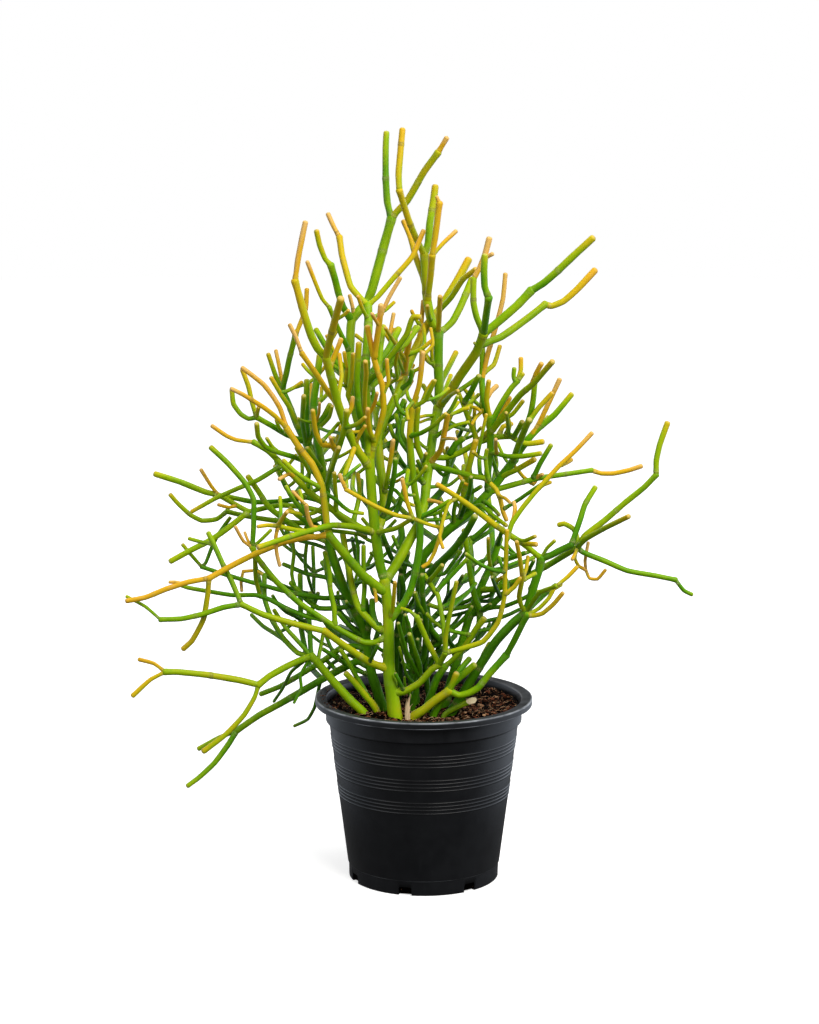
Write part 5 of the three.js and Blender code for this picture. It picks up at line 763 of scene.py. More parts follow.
class Crown:
    """All the shoots that stand so far, with their straight runs as arrays."""

    def __init__(self):
        self.shoots = []
        self.starts, self.ends = np.empty((0, 3)), np.empty((0, 3))
        self.facts = np.empty((0, 7))
        self.drawn = FILL_SEED

    def stand(self, shoot):
        """Adds a shoot. Each run keeps its owner, stem, corner radius, the owner's lowest and highest
        point, its thickness at the tip, and its place in the owner."""
        points = shoot["points"]
        radius = corner_of(max(shoot["start"], shoot["end"]))
        low, high = points[:, 2].min(), points[:, 2].max()
        facts = [[len(self.shoots), shoot["stem"], radius, low, high, shoot["end"], k]
                 for k in range(len(points) - 1)]
        self.starts = np.vstack([self.starts, points[:-1]])
        self.ends = np.vstack([self.ends, points[1:]])
        self.facts = np.vstack([self.facts, facts])
        shoot["index"] = len(self.shoots)
        self.shoots.append(shoot)

    def clash(self, points, radius, stem, parent):
        """How far a run of points of one thickness cuts into the shoots that stand already."""
        free = beyond(points, ROOT_FREE_MM)
        cut = 0.0
        owner, stems, radii, low, high = self.facts[:, :5].T
        for a, b in zip(free[:-1], free[1:]):
            level = (low <= max(a[2], b[2]) + NEAR_MM) & (high >= min(a[2], b[2]) - NEAR_MM)
            beside = (owner != parent) & level
            if not beside.any():
                continue
            gaps = segment_gaps(a, b, self.starts[beside], self.ends[beside])
            short = np.maximum(radius + radii[beside] + CLEAR_MM - gaps, 0)
            cut += float((short * np.where(stems[beside] == stem, 1, CROSS_WEIGHT)).sum())
        return cut

    def draw(self):
        """Even random numbers from 0 to 1, the same on every run: each is the last one times a factor,
        left over after division by a prime."""
        self.drawn = (self.drawn * DRAW_FACTOR) % DRAW_PRIME
        return self.drawn / DRAW_PRIME

    def foot_for(self, tip, fill):
        """The nearest place below a point from which a shoot of one fill can grow to it."""
        a, run = self.starts, self.ends - self.starts
        share = np.clip(np.einsum("ij,ij->i", tip - a, run) / np.einsum("ij,ij->i", run, run), 0, 1)
        nearest = np.linalg.norm(a + share[:, None] * run - tip, axis=1).min()
        gaps = np.linalg.norm(a - tip, axis=1)
        tips, places = self.facts[:, 5:].T
        fits = (places > 0) & (tip[2] - a[:, 2] > FILL_CLIMB * gaps)
        fits &= (a[:, 2] > POT_HEIGHT_MM + FILL_ABOVE_RIM_MM) & (tips >= fill["host"])
        fits &= (gaps < fill["longest"]) & (gaps > fill["shortest"])
        if not fits.any():
            return None
        best = int(np.argmin(np.where(fits, gaps, np.inf)))
        ahead = run[best] / np.linalg.norm(run[best])
        host = self.shoots[int(self.facts[best, 0])]
        return nearest, host, int(places[best]), a[best], ahead, gaps[best]


def foot_on(shoot, across, up):
    """The place on a shoot's route that is nearest to a seen point: the point, the depth that was listed
    for it, and its share of the shoot's length."""
    flat = seen(shoot["points"])
    a, b = flat[:-1], flat[1:]
    run = b - a
    there = np.array([across, up], float)
    share = np.clip(np.einsum("ij,ij->i", there - a, run) / np.einsum("ij,ij->i", run, run), 0, 1)
    misses = ((a + share[:, None] * run - there) ** 2).sum(axis=1)
    k = int(np.argmin(misses))
    point = shoot["points"][k] + (shoot["points"][k + 1] - shoot["points"][k]) * share[k]
    listed = shoot["listed"][k] + (shoot["listed"][k + 1] - shoot["listed"][k]) * share[k]
    return point, listed, k + share[k]


def swung_clear(crown, foot, route, tip_depth, thickness, stem, host):
    """The points of a shoot whose tip swings in depth, a step further to either side each time, until the
    shoot runs clear of all others. Where it never does, the swing that cuts least is kept."""
    best = None
    for turn in range(2 * SWING_MOST + 1):
        swing = SWING_STEP_MM * math.ceil(turn / 2) * (1 if turn % 2 else -1)
        points = laid_out(foot, route, tip_depth + swing)
        cut = crown.clash(points, corner_of(thickness), stem, host)
        if best is None or cut < best[0]:
            best = (cut, points)
        if cut == 0:
            break
    return best[1]


def grow_listed(crown):
    """Lays out every listed shoot, those from the soil first and then what grows from them, and swings a
    shoot in depth until it runs clear. What grows from a shoot swings along with it."""
    waiting = [(number, depth, None, shoot) for number, (_, depth, shoot) in enumerate(STEMS)]
    while waiting:
        stem, depth, parent, (start, end, tip_depth, tone_foot, tone_tip, route, shoots) = waiting.pop(0)
        if parent is None:
            foot, place, host = sighted(*route[0], depth), 0.0, -1
        else:
            foot, depth, place = foot_on(parent, *route[0])
            host = parent["index"]
        carried = foot[1] - depth
        points = swung_clear(crown, foot, route, tip_depth + carried, max(start, end), stem, host)
        grown = dict(stem=stem, start=start, end=end, points=points, tones=(tone_foot, tone_tip),
                     listed=depth + (tip_depth - depth) * shares_of(route), parent=parent, place=place)
        crown.stand(grown)
        waiting.extend((stem, None, grown, shoot) for shoot in shoots)


def grow_more(crown):
    """Lays out the twigs of the second list. Each starts on the shoot of the solids that is seen nearest to
    its first point, where the gap between their depths counts for DEPTH_WEIGHT of its length."""
    hosts = list(crown.shoots)
    for start, end, tip_depth, tone_foot, tone_tip, route in MORE:
        feet = []
        for host in hosts:
            point, _, place = foot_on(host, *route[0])
            miss = math.dist(seen(point[None])[0], route[0]) + DEPTH_WEIGHT * abs(point[1] - tip_depth)
            feet.append((miss, host["index"], point, place))
        _, index, point, place = min(feet, key=lambda foot: foot[:2])
        host = crown.shoots[index]
        points = swung_clear(crown, point, route, tip_depth, start, host["stem"], index)
        crown.stand(dict(stem=host["stem"], start=start, end=end, points=points, listed=points[:, 1],
                         tones=(tone_foot, tone_tip), parent=host, place=place))


def crown_at(up):
    """The crown's reach to the left, to the right and in depth at a height, between its listed heights."""
    rows = np.array(CROWN_MM, float)
    return [float(np.interp(up, rows[:, 0], rows[:, k])) for k in (1, 2, 3)]


def grow_fill(crown, fill):
    """Fills the empty places of the crown: each shoot grows from the nearest place below its tip, sags
    and then rises on its way, and stands only if it runs clear of all the others."""
    count = 0
    for _ in range(fill["tries"]):
        if count == fill["wanted"]:
            break
        up = CROWN_MM[0][0] + (CROWN_MM[-1][0] - CROWN_MM[0][0]) * crown.draw()
        left, right, deep = crown_at(up)
        deep = deep * fill["reach"]
        side = 2 * crown.draw() - 1
        across = EYE_ACROSS_MM + (right - left) / 2 + side * (left + right) / 2
        way = -1 if crown.draw() < fill["front"] else 1
        ring = math.sqrt(1 - FILL_ROUNDNESS * side * side)
        tip = sighted(across, up, way * deep * ring * (fill["inner"] + (1 - fill["inner"]) * crown.draw()))
        foot = crown.foot_for(tip, fill)
        if foot is None or not fill["near"] <= foot[0] <= fill["far"]:
            continue
        _, host, place, point, ahead, gap = foot
        start = min(fill["thick"], FILL_TAPER * host["end"])
        points = [point]
        for share in FILL_BENDS:
            bow = gap * share * (1 - share)
            middle = point + (tip - point) * share + ahead * FILL_AHEAD * bow
            points.append(middle - np.array([0, 0, FILL_SAG * bow]))
        points = np.array(points + [tip])
        if crown.clash(points, corner_of(start) + 1, host["stem"], host["index"]) > 0:
            continue
        high = np.clip((up - 330) / 420, 0, 1)
        tones = (0.08 + 0.26 * high, 0.2 + 0.5 * high)
        crown.stand(dict(stem=host["stem"], start=start, end=min(start, fill["thin"]), points=points,
                         listed=points[:, 1], tones=tones, parent=host, place=float(place)))
        count += 1


def grow_crown():
    """Every shoot of the plant, in the order in which they stand."""
    crown = Crown()
    grow_listed(crown)
    for fill in FILLS[:SOLID_FILLS]:
        grow_fill(crown, fill)
    grow_more(crown)
    for fill in FILLS[SOLID_FILLS:]:
        grow_fill(crown, fill)
    return crown.shoots


# ------------------------------------------------------------------ meshes from whole arrays

def mesh_object(name, points, quads, tris=None, values=None):
    """A smooth mesh object from arrays: points in metres, faces as rows of point numbers, and values as
    named numbers for every point."""
    tris = np.empty((0, 3), int) if tris is None else tris
    mesh = bpy.data.meshes.new(name)
    mesh.vertices.add(len(points))
    mesh.vertices.foreach_set("co", np.asarray(points, np.float32).ravel())
    corners = np.concatenate([quads.ravel(), tris.ravel()]).astype(np.int32)
    starts = np.concatenate([np.arange(len(quads)) * 4, 4 * len(quads) + np.arange(len(tris)) * 3])
    mesh.loops.add(len(corners))
    mesh.loops.foreach_set("vertex_index", corners)
    mesh.polygons.add(len(starts))
    mesh.polygons.foreach_set("loop_start", starts.astype(np.int32))
    mesh.polygons.foreach_set("use_smooth", np.ones(len(starts), bool))
    for key, numbers in (values or {}).items():
        layer = mesh.attributes.new(key, "FLOAT", "POINT")
        layer.data.foreach_set("value", np.asarray(numbers, np.float32).ravel())
    mesh.update(calc_edges=True)
    mesh.validate()
    piece = bpy.data.objects.new(name, mesh)
    bpy.context.scene.collection.objects.link(piece)
    return piece


def turns_of(sides):
    """The angles of evenly spaced points round a circle."""
    return np.arange(sides) * 2 * math.pi / sides


def belt(rings, sides):
    """The faces between rings of points that each close on themselves, ring after ring: every point is
    joined to the next one round its ring and to the same two of the ring after."""
    ring, side = np.meshgrid(np.arange(rings - 1), np.arange(sides), indexing="ij")
    after = (side + 1) % sides
    first, later = ring * sides, (ring + 1) * sides
    return np.stack([first + side, first + after, later + after, later + side], axis=-1).reshape(-1, 4)


def fan(pole, first, sides, flip):
    """The triangles from one pole point to a ring of points that begins at first."""
    side = np.arange(sides)
    rim = [first + side, first + (side + 1) % sides]
    ends = rim[::-1] if flip else rim
    return np.stack([*ends, np.full(sides, pole)], axis=1)


class Bundle:
    """Gathers closed shapes into the arrays of one mesh."""

    def __init__(self):
        self.points, self.quads, self.tris, self.values = [], [], [], {}
        self.count = 0

    def add(self, points, quads, tris, **values):
        """Adds one shape, with its faces' point numbers counted from its own first point."""
        self.points.append(points)
        self.quads.append(quads + self.count)
        self.tris.append(tris + self.count)
        self.count += len(points)
        for key, numbers in values.items():
            self.values.setdefault(key, []).append(np.broadcast_to(numbers, len(points)))

    def object(self, name):
        """All the shapes as one object."""
        points, quads, tris = [np.vstack(part) for part in (self.points, self.quads, self.tris)]
        values = {key: np.concatenate(parts) for key, parts in self.values.items()}
        return mesh_object(name, points * MM, quads, tris, values)


def curve_through(points, step, kinked=0.0):
    """A line through points: on each stretch a centripetal Catmull-Rom curve, which blends the four nearest
    points by knots spaced as the square root of their distances, sampled at about a step. The kinked share
    of it is the straight line between the points instead, so that it bends at them."""
    if len(points) == 2:
        count = max(3, int(np.linalg.norm(points[1] - points[0]) / step))
        return points[0] + (points[1] - points[0]) * np.linspace(0, 1, count + 1)[:, None]
    more = np.vstack([2 * points[0] - points[1], points, 2 * points[-1] - points[-2]])
    knots = np.concatenate([[0], np.cumsum(np.sqrt(np.linalg.norm(np.diff(more, axis=0), axis=1)))])
    spans = np.linalg.norm(np.diff(points, axis=0), axis=1)
    counts = np.maximum(3, (spans / step).astype(int))
    k = np.repeat(np.arange(len(spans)), counts) + 1
    share = np.concatenate([np.arange(n) / n for n in counts])
    k = np.append(k, len(spans))
    share = np.append(share, 1.0)
    knot = [knots[k + i] for i in (-1, 0, 1, 2)]
    at = (knot[1] + (knot[2] - knot[1]) * share)

    def between(p, q, low, high):
        part = ((at - low) / (high - low))[:, None]
        return p + (q - p) * part

    first = [between(more[k + i - 1], more[k + i], knot[i], knot[i + 1]) for i in (0, 1, 2)]
    second = [between(first[i], first[i + 1], knot[i], knot[i + 2]) for i in (0, 1)]
    smooth = between(second[0], second[1], knot[1], knot[2])
    straight = more[k] + (more[k + 1] - more[k]) * share[:, None]
    return smooth + (straight - smooth) * kinked


def lengths_along(line):
    """The length of a line up to each of its points."""
    return np.concatenate([[0], np.cumsum(np.linalg.norm(np.diff(line, axis=0), axis=1))])


def unit(vectors):
    """Vectors divided by their own lengths."""
    return vectors / np.linalg.norm(vectors, axis=-1, keepdims=True)


def frames_along(line):
    """Two directions square to a line at each of its points: the axis that the line turns least towards,
    with its part along the line taken away, and the cross product of the line's direction and that."""
    ahead = unit(np.gradient(line, axis=0))
    axis = np.eye(3)[np.argmin(np.abs(ahead).max(axis=0))]
    side = unit(axis - (ahead @ axis)[:, None] * ahead)
    return side, np.cross(ahead, side)


def closed(count, sides):
    """The triangles that close both ends of a tube, whose two middles come after its count of points."""
    return np.vstack([fan(count, 0, sides, True), fan(count + 1, count - sides, sides, False)])


def over_rings(values, sides):
    """One value for each ring of a tube, for all its points and then for the middles of its two ends."""
    return np.concatenate([np.repeat(values, sides), values[:1], values[-1:]])


def swept(line, radii, sides):
    """A tube: round every point of the line a ring of points at radii[ring, side] from it, closed by a pole
    at either end."""
    side, over = frames_along(line)
    angles = turns_of(sides)
    outward = side[:, None] * np.cos(angles)[None, :, None] + over[:, None] * np.sin(angles)[None, :, None]
    rings = line[:, None] + outward * radii[..., None]
    points = np.vstack([rings.reshape(-1, 3), line[:1], line[-1:]])
    return points, belt(len(line), sides), closed(len(line) * sides, sides)


# ------------------------------------------------------------------ even noise on the plane

def scattered(ix, iy, seed):
    """A fixed random number from 0 to 1 for every cell of a grid, by mixing the bits of its place."""
    mixed = (ix.astype(np.int64) * 374761393 + iy.astype(np.int64) * 668265263 + seed * 69069) & 0xFFFFFFFF
    mixed = ((mixed ^ (mixed >> 13)) * 1274126177) & 0xFFFFFFFF
    return ((mixed ^ (mixed >> 16)) & 0xFFFFFF) / 0xFFFFFF


def swell(x, y, size, seed):
    """Smooth noise from -1 to 1: the numbers of the four nearest cells, blended with smooth steps."""
    u, v = x / size, y / size
    ix, iy = np.floor(u), np.floor(v)
    fx, fy = u - ix, v - iy
    fx, fy = fx * fx * (3 - 2 * fx), fy * fy * (3 - 2 * fy)
    low = scattered(ix, iy, seed) * (1 - fx) + scattered(ix + 1, iy, seed) * fx
    high = scattered(ix, iy + 1, seed) * (1 - fx) + scattered(ix + 1, iy + 1, seed) * fx
    return 2 * (low * (1 - fy) + high * fy) - 1


def crumbs(x, y, size, seed):
    """Lumps: each cell of a grid holds one dome at a jittered place, as high as the root of one less its
    squared distance, and the highest dome shows. Also gives that dome's own random number."""
    u, v = x / size, y / size
    ix, iy = np.floor(u), np.floor(v)
    best, number = np.zeros_like(u), np.zeros_like(u)
    for dx in (-1, 0, 1):
        for dy in (-1, 0, 1):
            cx, cy = ix + dx, iy + dy
            own = scattered(cx, cy, seed)
            px = cx + 0.15 + 0.7 * scattered(cx, cy, seed + 1)
            py = cy + 0.15 + 0.7 * scattered(cx, cy, seed + 2)
            reach = 0.45 + 0.45 * own
            stretch = 1 + 0.8 * scattered(cx, cy, seed + 3)
            far = ((u - px) ** 2 * stretch + (v - py) ** 2 / stretch) / reach ** 2
            dome = np.sqrt(np.maximum(0, 1 - far)) * (0.4 + 0.6 * scattered(cx, cy, seed + 4))
            number = np.where(dome > best, own, number)
            best = np.maximum(best, dome)
    return best, number


# ------------------------------------------------------------------ shader maths as Python

class Socket:
    """An output of a node, so that shader maths reads as Python."""

    def __init__(self, finish, output):
        self.finish, self.output = finish, output

    def _maths(self, operation, a, b):
        """A Math node of one operation on two values."""
        return self.finish.node("ShaderNodeMath", {0: a, 1: b}, operation=operation)

    def __add__(self, other):
        return self._maths("ADD", self, other)

    def __sub__(self, other):
        return self._maths("SUBTRACT", self, other)

    def __rsub__(self, other):
        return self._maths("SUBTRACT", other, self)

    def __mul__(self, other):
        return self._maths("MULTIPLY", self, other)

    __radd__ = __add__
    __rmul__ = __mul__

    def held(self):
        """The value kept between 0 and 1."""
        return self.between(0.0, 1.0)

    def near(self, middle, width):
        """One at a middle value, falling evenly to nothing a width away from it."""
        return self.between(middle - width, middle) * self.between(middle, middle + width, 1.0, 0.0)

    def between(self, low, high, to_low=0.0, to_high=1.0, smooth=False):
        """The value taken from one range to another, and kept inside it."""
        kind = "SMOOTHSTEP" if smooth else "LINEAR"
        links = {0: self, 1: low, 2: high, 3: to_low, 4: to_high}
        return self.finish.node("ShaderNodeMapRange", links, interpolation_type=kind)


class Finish:
    """A material built from nodes round one Principled shader."""

    def __init__(self, name, **constants):
        self.material = bpy.data.materials.new(name)
        self.material.use_nodes = True
        self.tree = self.material.node_tree
        self.tree.nodes.clear()
        self.shader = self.tree.nodes.new("ShaderNodeBsdfPrincipled")
        output = self.tree.nodes.new("ShaderNodeOutputMaterial")
        self.tree.links.new(self.shader.outputs[0], output.inputs["Surface"])
        self.set(**{key.replace("_", " "): value for key, value in constants.items()})

    def feed(self, target, value):
        """Links a socket's output to a target, or writes a plain value into it."""
        if isinstance(value, Socket):
            self.tree.links.new(value.output, target)
        else:
            target.default_value = value

    def set(self, **sockets):
        """Feeds the shader's sockets by name, with an underscore for each space."""
        for key, value in sockets.items():
            self.feed(self.shader.inputs[key.replace("_", " ")], value)

    def node(self, kind, links=None, output=0, stops=None, **settings):
        """A node of a type: its settings first, then the values or links of its sockets."""
        made = self.tree.nodes.new(kind)
        for key, value in settings.items():
            setattr(made, key, value)
        if stops:
            ramp = made.color_ramp
            while len(ramp.elements) < len(stops):
                ramp.elements.new(0.5)
            for element, (place, colour) in zip(ramp.elements, stops):
                element.position = place
                element.color = (*colour, 1)
        for key, value in (links or {}).items():
            self.feed(made.inputs[key], value)
        return Socket(self, made.outputs[output])

    def attribute(self, name):
        """A named number of the mesh's points."""
        return self.node("ShaderNodeAttribute", output="Fac", attribute_name=name)

    def place(self):
        """The place on the object, in metres."""
        return self.node("ShaderNodeTexCoord", output="Object")

    def noise(self, scale, detail=2.0, stretch=(1, 1, 1)):
        """Noise from 0 to 1 on Object coordinates; scale is in waves a metre."""
        spread = self.node("ShaderNodeMapping", {"Vector": self.place(), "Scale": stretch})
        return self.node("ShaderNodeTexNoise", {"Vector": spread, "Scale": scale, "Detail": detail})

    def cells(self, scale, output="Distance"):
        """Voronoi cells on Object coordinates: the distance to the nearest centre, or its own colour."""
        return self.node("ShaderNodeTexVoronoi", {"Vector": self.place(), "Scale": scale}, output=output)

    def ramp(self, value, stops):
        """A colour that runs through stops of (place, colour)."""
        return self.node("ShaderNodeValToRGB", {0: value}, stops=stops)

    def mix(self, share, a, b):
        """A colour between two colours, given as links or as (r, g, b)."""
        a, b = [value if isinstance(value, Socket) else (*value, 1) for value in (a, b)]
        return self.node("ShaderNodeMix", {0: share, 6: a, 7: b}, 2, data_type="RGBA")

    def height(self):
        """The height above the floor, in metres."""
        return self.node("ShaderNodeSeparateXYZ", {0: self.place()}, output=2)

    def radius(self):
        """The distance from the upright axis, in metres."""
        flat = self.node("ShaderNodeVectorMath", {0: self.place(), 1: (1, 1, 0)}, operation="MULTIPLY")
        return self.node("ShaderNodeVectorMath", {0: flat}, "Value", operation="LENGTH")

    def bump(self, height, distance, strength):
        """Feeds the shader's normal from a height, whose full range is a distance in metres."""
        links = {"Height": height, "Distance": distance, "Strength": strength}
        self.set(Normal=self.node("ShaderNodeBump", links))


def dress(piece, material, nodes=()):
    """Gives a piece its material, sets it on the part's one body, and hides the solids that it stands for."""
    piece.data.materials.append(material)
    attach(piece, "root")
    if nodes:
        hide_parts(*nodes)


# ------------------------------------------------------------------ what a user would change

class PotSettings(bpy.types.PropertyGroup):
    """Sizes and colours of the pot"""

    rim_radius: FloatProperty(name="Rim radius", description="Outer radius of the rolled rim",
                              default=0.140, unit="LENGTH", subtype="DISTANCE")
    height: FloatProperty(name="Height", description="Height of the pot's rim above the floor",
                          default=0.237, unit="LENGTH", subtype="DISTANCE")
    ring_height: FloatProperty(name="Ring height", description="How far the fine rings stand out of the wall",
                               default=0.0006, unit="LENGTH", subtype="DISTANCE")
    colour: FloatVectorProperty(name="Plastic", description="Colour of the moulded plastic",
                                default=(0.0040, 0.0045, 0.0060), size=3, min=0, max=1, subtype="COLOR")
    dust: FloatVectorProperty(name="Dust", description="Colour of the dust on the rim and in the grooves",
                              default=(0.070, 0.076, 0.086), size=3, min=0, max=1, subtype="COLOR")
    # The pale colour of the painted highlight lines on the rim's top edge, under the lip and at the foot's
    # step.
    edge: FloatVectorProperty(name="Worn edges", description="Colour of the worn edges",
                              default=(0.42, 0.45, 0.50), size=3, min=0, max=1, subtype="COLOR")


class SoilSettings(bpy.types.PropertyGroup):
    """The soil's relief, litter and colours"""

    relief: FloatProperty(name="Relief", description="How far the crumbs stand up",
                          default=0.0030, unit="LENGTH", subtype="DISTANCE")
    fibres: IntProperty(name="Fibres", description="Number of loose coir fibres", default=620, min=0)
    chips: IntProperty(name="Chips", description="Number of loose chips of husk", default=900, min=0)
    # The dark peat colour also serves as the painted shade in the soil's hollows.
    dark: FloatVectorProperty(name="Dark peat", description="Colour of the moist peat",
                              default=(0.0026, 0.0009, 0.0006), size=3, min=0, max=1, subtype="COLOR")
    light: FloatVectorProperty(name="Dry peat", description="Colour of the drier crumbs",
                               default=(0.155, 0.042, 0.015), size=3, min=0, max=1, subtype="COLOR")
    fibre: FloatVectorProperty(name="Fibre", description="Colour of the palest fibres",
                               default=(0.56, 0.32, 0.17), size=3, min=0, max=1, subtype="COLOR")


class PlantSettings(bpy.types.PropertyGroup):
    """How finely the twigs are made, and the colours of their skin"""

    sides: IntProperty(name="Sides", description="Points round each twig", default=12, min=6, max=32)
    step: FloatProperty(name="Step", description="Length of the faces along a twig",
                        default=0.0039, unit="LENGTH", subtype="DISTANCE")
    kinks: FloatProperty(name="Kinks", description="How sharply a twig bends at its joints",
                         default=0.5, min=0, max=1)
    deep_green: FloatVectorProperty(name="Deep green", description="Colour of the shaded inner twigs",
                                    default=(0.026, 0.115, 0.0015), size=3, min=0, max=1, subtype="COLOR")
    green: FloatVectorProperty(name="Green", description="Colour of the middle twigs",
                               default=(0.105, 0.350, 0.0020), size=3, min=0, max=1, subtype="COLOR")
    lime: FloatVectorProperty(name="Lime", description="Colour of the trunk and the upper twigs",
                              default=(0.365, 0.553, 0.0030), size=3, min=0, max=1, subtype="COLOR")
    gold: FloatVectorProperty(name="Gold", description="Colour of the sunlit twigs",
                              default=(0.740, 0.540, 0.0100), size=3, min=0, max=1, subtype="COLOR")
    orange: FloatVectorProperty(name="Orange", description="Colour of the sunlit tips",
                                default=(0.860, 0.480, 0.020), size=3, min=0, max=1, subtype="COLOR")
    peach: FloatVectorProperty(name="Peach", description="Colour of the youngest tips",
                               default=(0.920, 0.560, 0.150), size=3, min=0, max=1, subtype="COLOR")
    dry: FloatVectorProperty(name="Dry sheath", description="Colour of the dead, dry sheath",
                             default=(0.900, 0.690, 0.410), size=3, min=0, max=1, subtype="COLOR")


class StageSettings(bpy.types.PropertyGroup):
    """The floor, the light and the lens"""

    floor: FloatVectorProperty(name="Floor", description="Colour of the floor and the backdrop",
                               default=(0.90, 0.90, 0.90), size=3, min=0, max=1, subtype="COLOR")
    light: FloatProperty(name="Light", description="Strength of all the lamps together", default=1.0, min=0)
    lens: FloatProperty(name="Lens", description="Focal length of the camera in millimetres",
                        default=92.5, min=10)


# ------------------------------------------------------------------ the pot

# The pot's profile below its rim, in millimetres from its axis and above the floor.
COLLAR_RADIUS_MM = 126.3
COLLAR_FOOT_MM = 207.5
LIP_FOOT_MM = 229
SHOULDER_RADIUS_MM = 122.2
SHOULDER_FOOT_MM = 205.5
FOOT_RADIUS_MM = 98.5
STEP_HEIGHT_MM = 18.7
BASE_RADIUS_MM = 97
MOUTH_RADIUS_MM = 126
WALL_MM = 2
RING_MIDDLES_MM = (181.0, 149.0, 118.6)
RING_PITCH_MM = 4.7
RING_WIDTH_MM = 0.75
NOTCH_COUNT = 7
NOTCH_WIDTH_MM = 17
NOTCH_HEIGHT_MM = 11
NOTCH_DEPTH_MM = 9
NOTCH_PAST_MM = 2
NOTCH_BELOW_MM = 10
NOTCH_ROUND_MM = 3
NOTCH_FIRST = math.radians(-14.5)
LEAST_LEFT = 0.95
POT_SIDES = 224
ROUNDING_STEPS = 5
RING_BAND_MM = 9.5
RING_STEPS = 58
RING_PLACES = (-1.5, -0.5, 0.5, 1.5)


def rounded(corners):
    """A profile whose corners are round: each is (radius from the axis, height, size of the rounding), and
    a rounded one becomes a few points of the curve that leaves one edge and meets the other, blended as
    (1-t)^2, 2t(1-t) and t^2."""
    points = [corners[0][:2]]
    for before, (r, z, size), after in zip(corners[:-2], corners[1:-1], corners[2:]):
        here = np.array([r, z], float)
        if size == 0:
            points.append(here)
            continue
        into = unit(np.array(before[:2], float) - here)
        out = unit(np.array(after[:2], float) - here)
        first, last = here + into * size, here + out * size
        for t in np.linspace(0, 1, ROUNDING_STEPS):
            points.append((1 - t) ** 2 * first + 2 * t * (1 - t) * here + t * t * last)
    points.append(corners[-1][:2])
    return np.array(points, float)


def pot_profile(settings):
    """The pot's section from the middle of its underside, up the outer wall, over the rim and down to the
    middle of its floor. Each ring is a bell curve that stands on the straight, leaning wall."""
    rim, top = settings.rim_radius / MM, settings.height / MM
    slope = (SHOULDER_RADIUS_MM - FOOT_RADIUS_MM) / (SHOULDER_FOOT_MM - STEP_HEIGHT_MM)
    heights = np.concatenate([np.linspace(middle - RING_BAND_MM, middle + RING_BAND_MM, RING_STEPS)
                              for middle in reversed(RING_MIDDLES_MM)])
    crests = [middle + k * RING_PITCH_MM for middle in RING_MIDDLES_MM for k in RING_PLACES]
    bells = np.exp(-(((heights[:, None] - np.array(crests)) / RING_WIDTH_MM) ** 2)).sum(axis=1)
    walls = FOOT_RADIUS_MM + (heights - STEP_HEIGHT_MM) * slope + bells * settings.ring_height / MM
    low = rounded([(0, 0, 0), (BASE_RADIUS_MM, 0, 1.2), (BASE_RADIUS_MM + 0.2, STEP_HEIGHT_MM, 0.3),
                   (FOOT_RADIUS_MM, STEP_HEIGHT_MM + 1, 0.4), (walls[0], heights[0], 0)])
    high = rounded([(walls[-1], heights[-1], 0), (SHOULDER_RADIUS_MM, SHOULDER_FOOT_MM, 1.2),
                    (COLLAR_RADIUS_MM, COLLAR_FOOT_MM, 0.8), (COLLAR_RADIUS_MM, LIP_FOOT_MM, 1.2),
                    (rim - 0.3, LIP_FOOT_MM - 0.5, 0.7), (rim, top, 1.6), (rim - 6, top, 2),
                    (MOUTH_RADIUS_MM, top - 1, 1.6), (COLLAR_RADIUS_MM - WALL_MM, LIP_FOOT_MM, 2),
                    (COLLAR_RADIUS_MM - WALL_MM, COLLAR_FOOT_MM, 1),
                    (SHOULDER_RADIUS_MM - WALL_MM, SHOULDER_FOOT_MM - 1, 1),
                    (BASE_RADIUS_MM - WALL_MM, WALL_MM, 1), (0, WALL_MM, 0)])
    return np.vstack([low[:-1], np.stack([walls, heights], axis=1), high[1:]])


def turned(profile, sides):
    """A profile turned round the vertical axis: radius times the cosine and sine of each angle, closed by
    a pole where it starts and where it ends."""
    angles = turns_of(sides)
    radius, height = profile[1:-1].T
    rings = np.stack([radius[:, None] * np.cos(angles), radius[:, None] * np.sin(angles),
                      np.repeat(height[:, None], sides, axis=1)], axis=-1)
    poles = [[0, 0, profile[0][1]], [0, 0, profile[-1][1]]]
    ends = closed(len(rings) * sides, sides)
    return np.vstack([rings.reshape(-1, 3), poles]), belt(len(rings), sides), ends


def notch_block():
    """What is cut away for a notch: its outline seen from the front, with its two upper corners rounded on
    quarter circles, carried back along its depth."""
    angles = np.linspace(0, math.pi / 2, 4)
    inset, size = NOTCH_WIDTH_MM / 2 - NOTCH_ROUND_MM, NOTCH_ROUND_MM
    right = np.stack([inset + size * np.cos(angles), NOTCH_HEIGHT_MM - size + size * np.sin(angles)], axis=1)
    left = right[::-1] * (-1, 1)
    low = [[-NOTCH_WIDTH_MM / 2, -NOTCH_BELOW_MM], [NOTCH_WIDTH_MM / 2, -NOTCH_BELOW_MM]]
    outline = np.vstack([low, right, left])
    front = np.insert(outline, 1, 0, axis=1)
    back = front + (0, NOTCH_DEPTH_MM, 0)
    middle = [front.mean(axis=0), back.mean(axis=0)]
    count = len(outline)
    ends = np.vstack([fan(2 * count, 0, count, False), fan(2 * count + 1, count, count, True)])
    return np.vstack([front, back, middle]), belt(2, count)[:, ::-1], ends


def turned_by(angle):
    """The matrix that turns rows of points round the upright axis."""
    c, s = math.cos(angle), math.sin(angle)
    return np.array([[c, s, 0], [-s, c, 0], [0, 0, 1]])


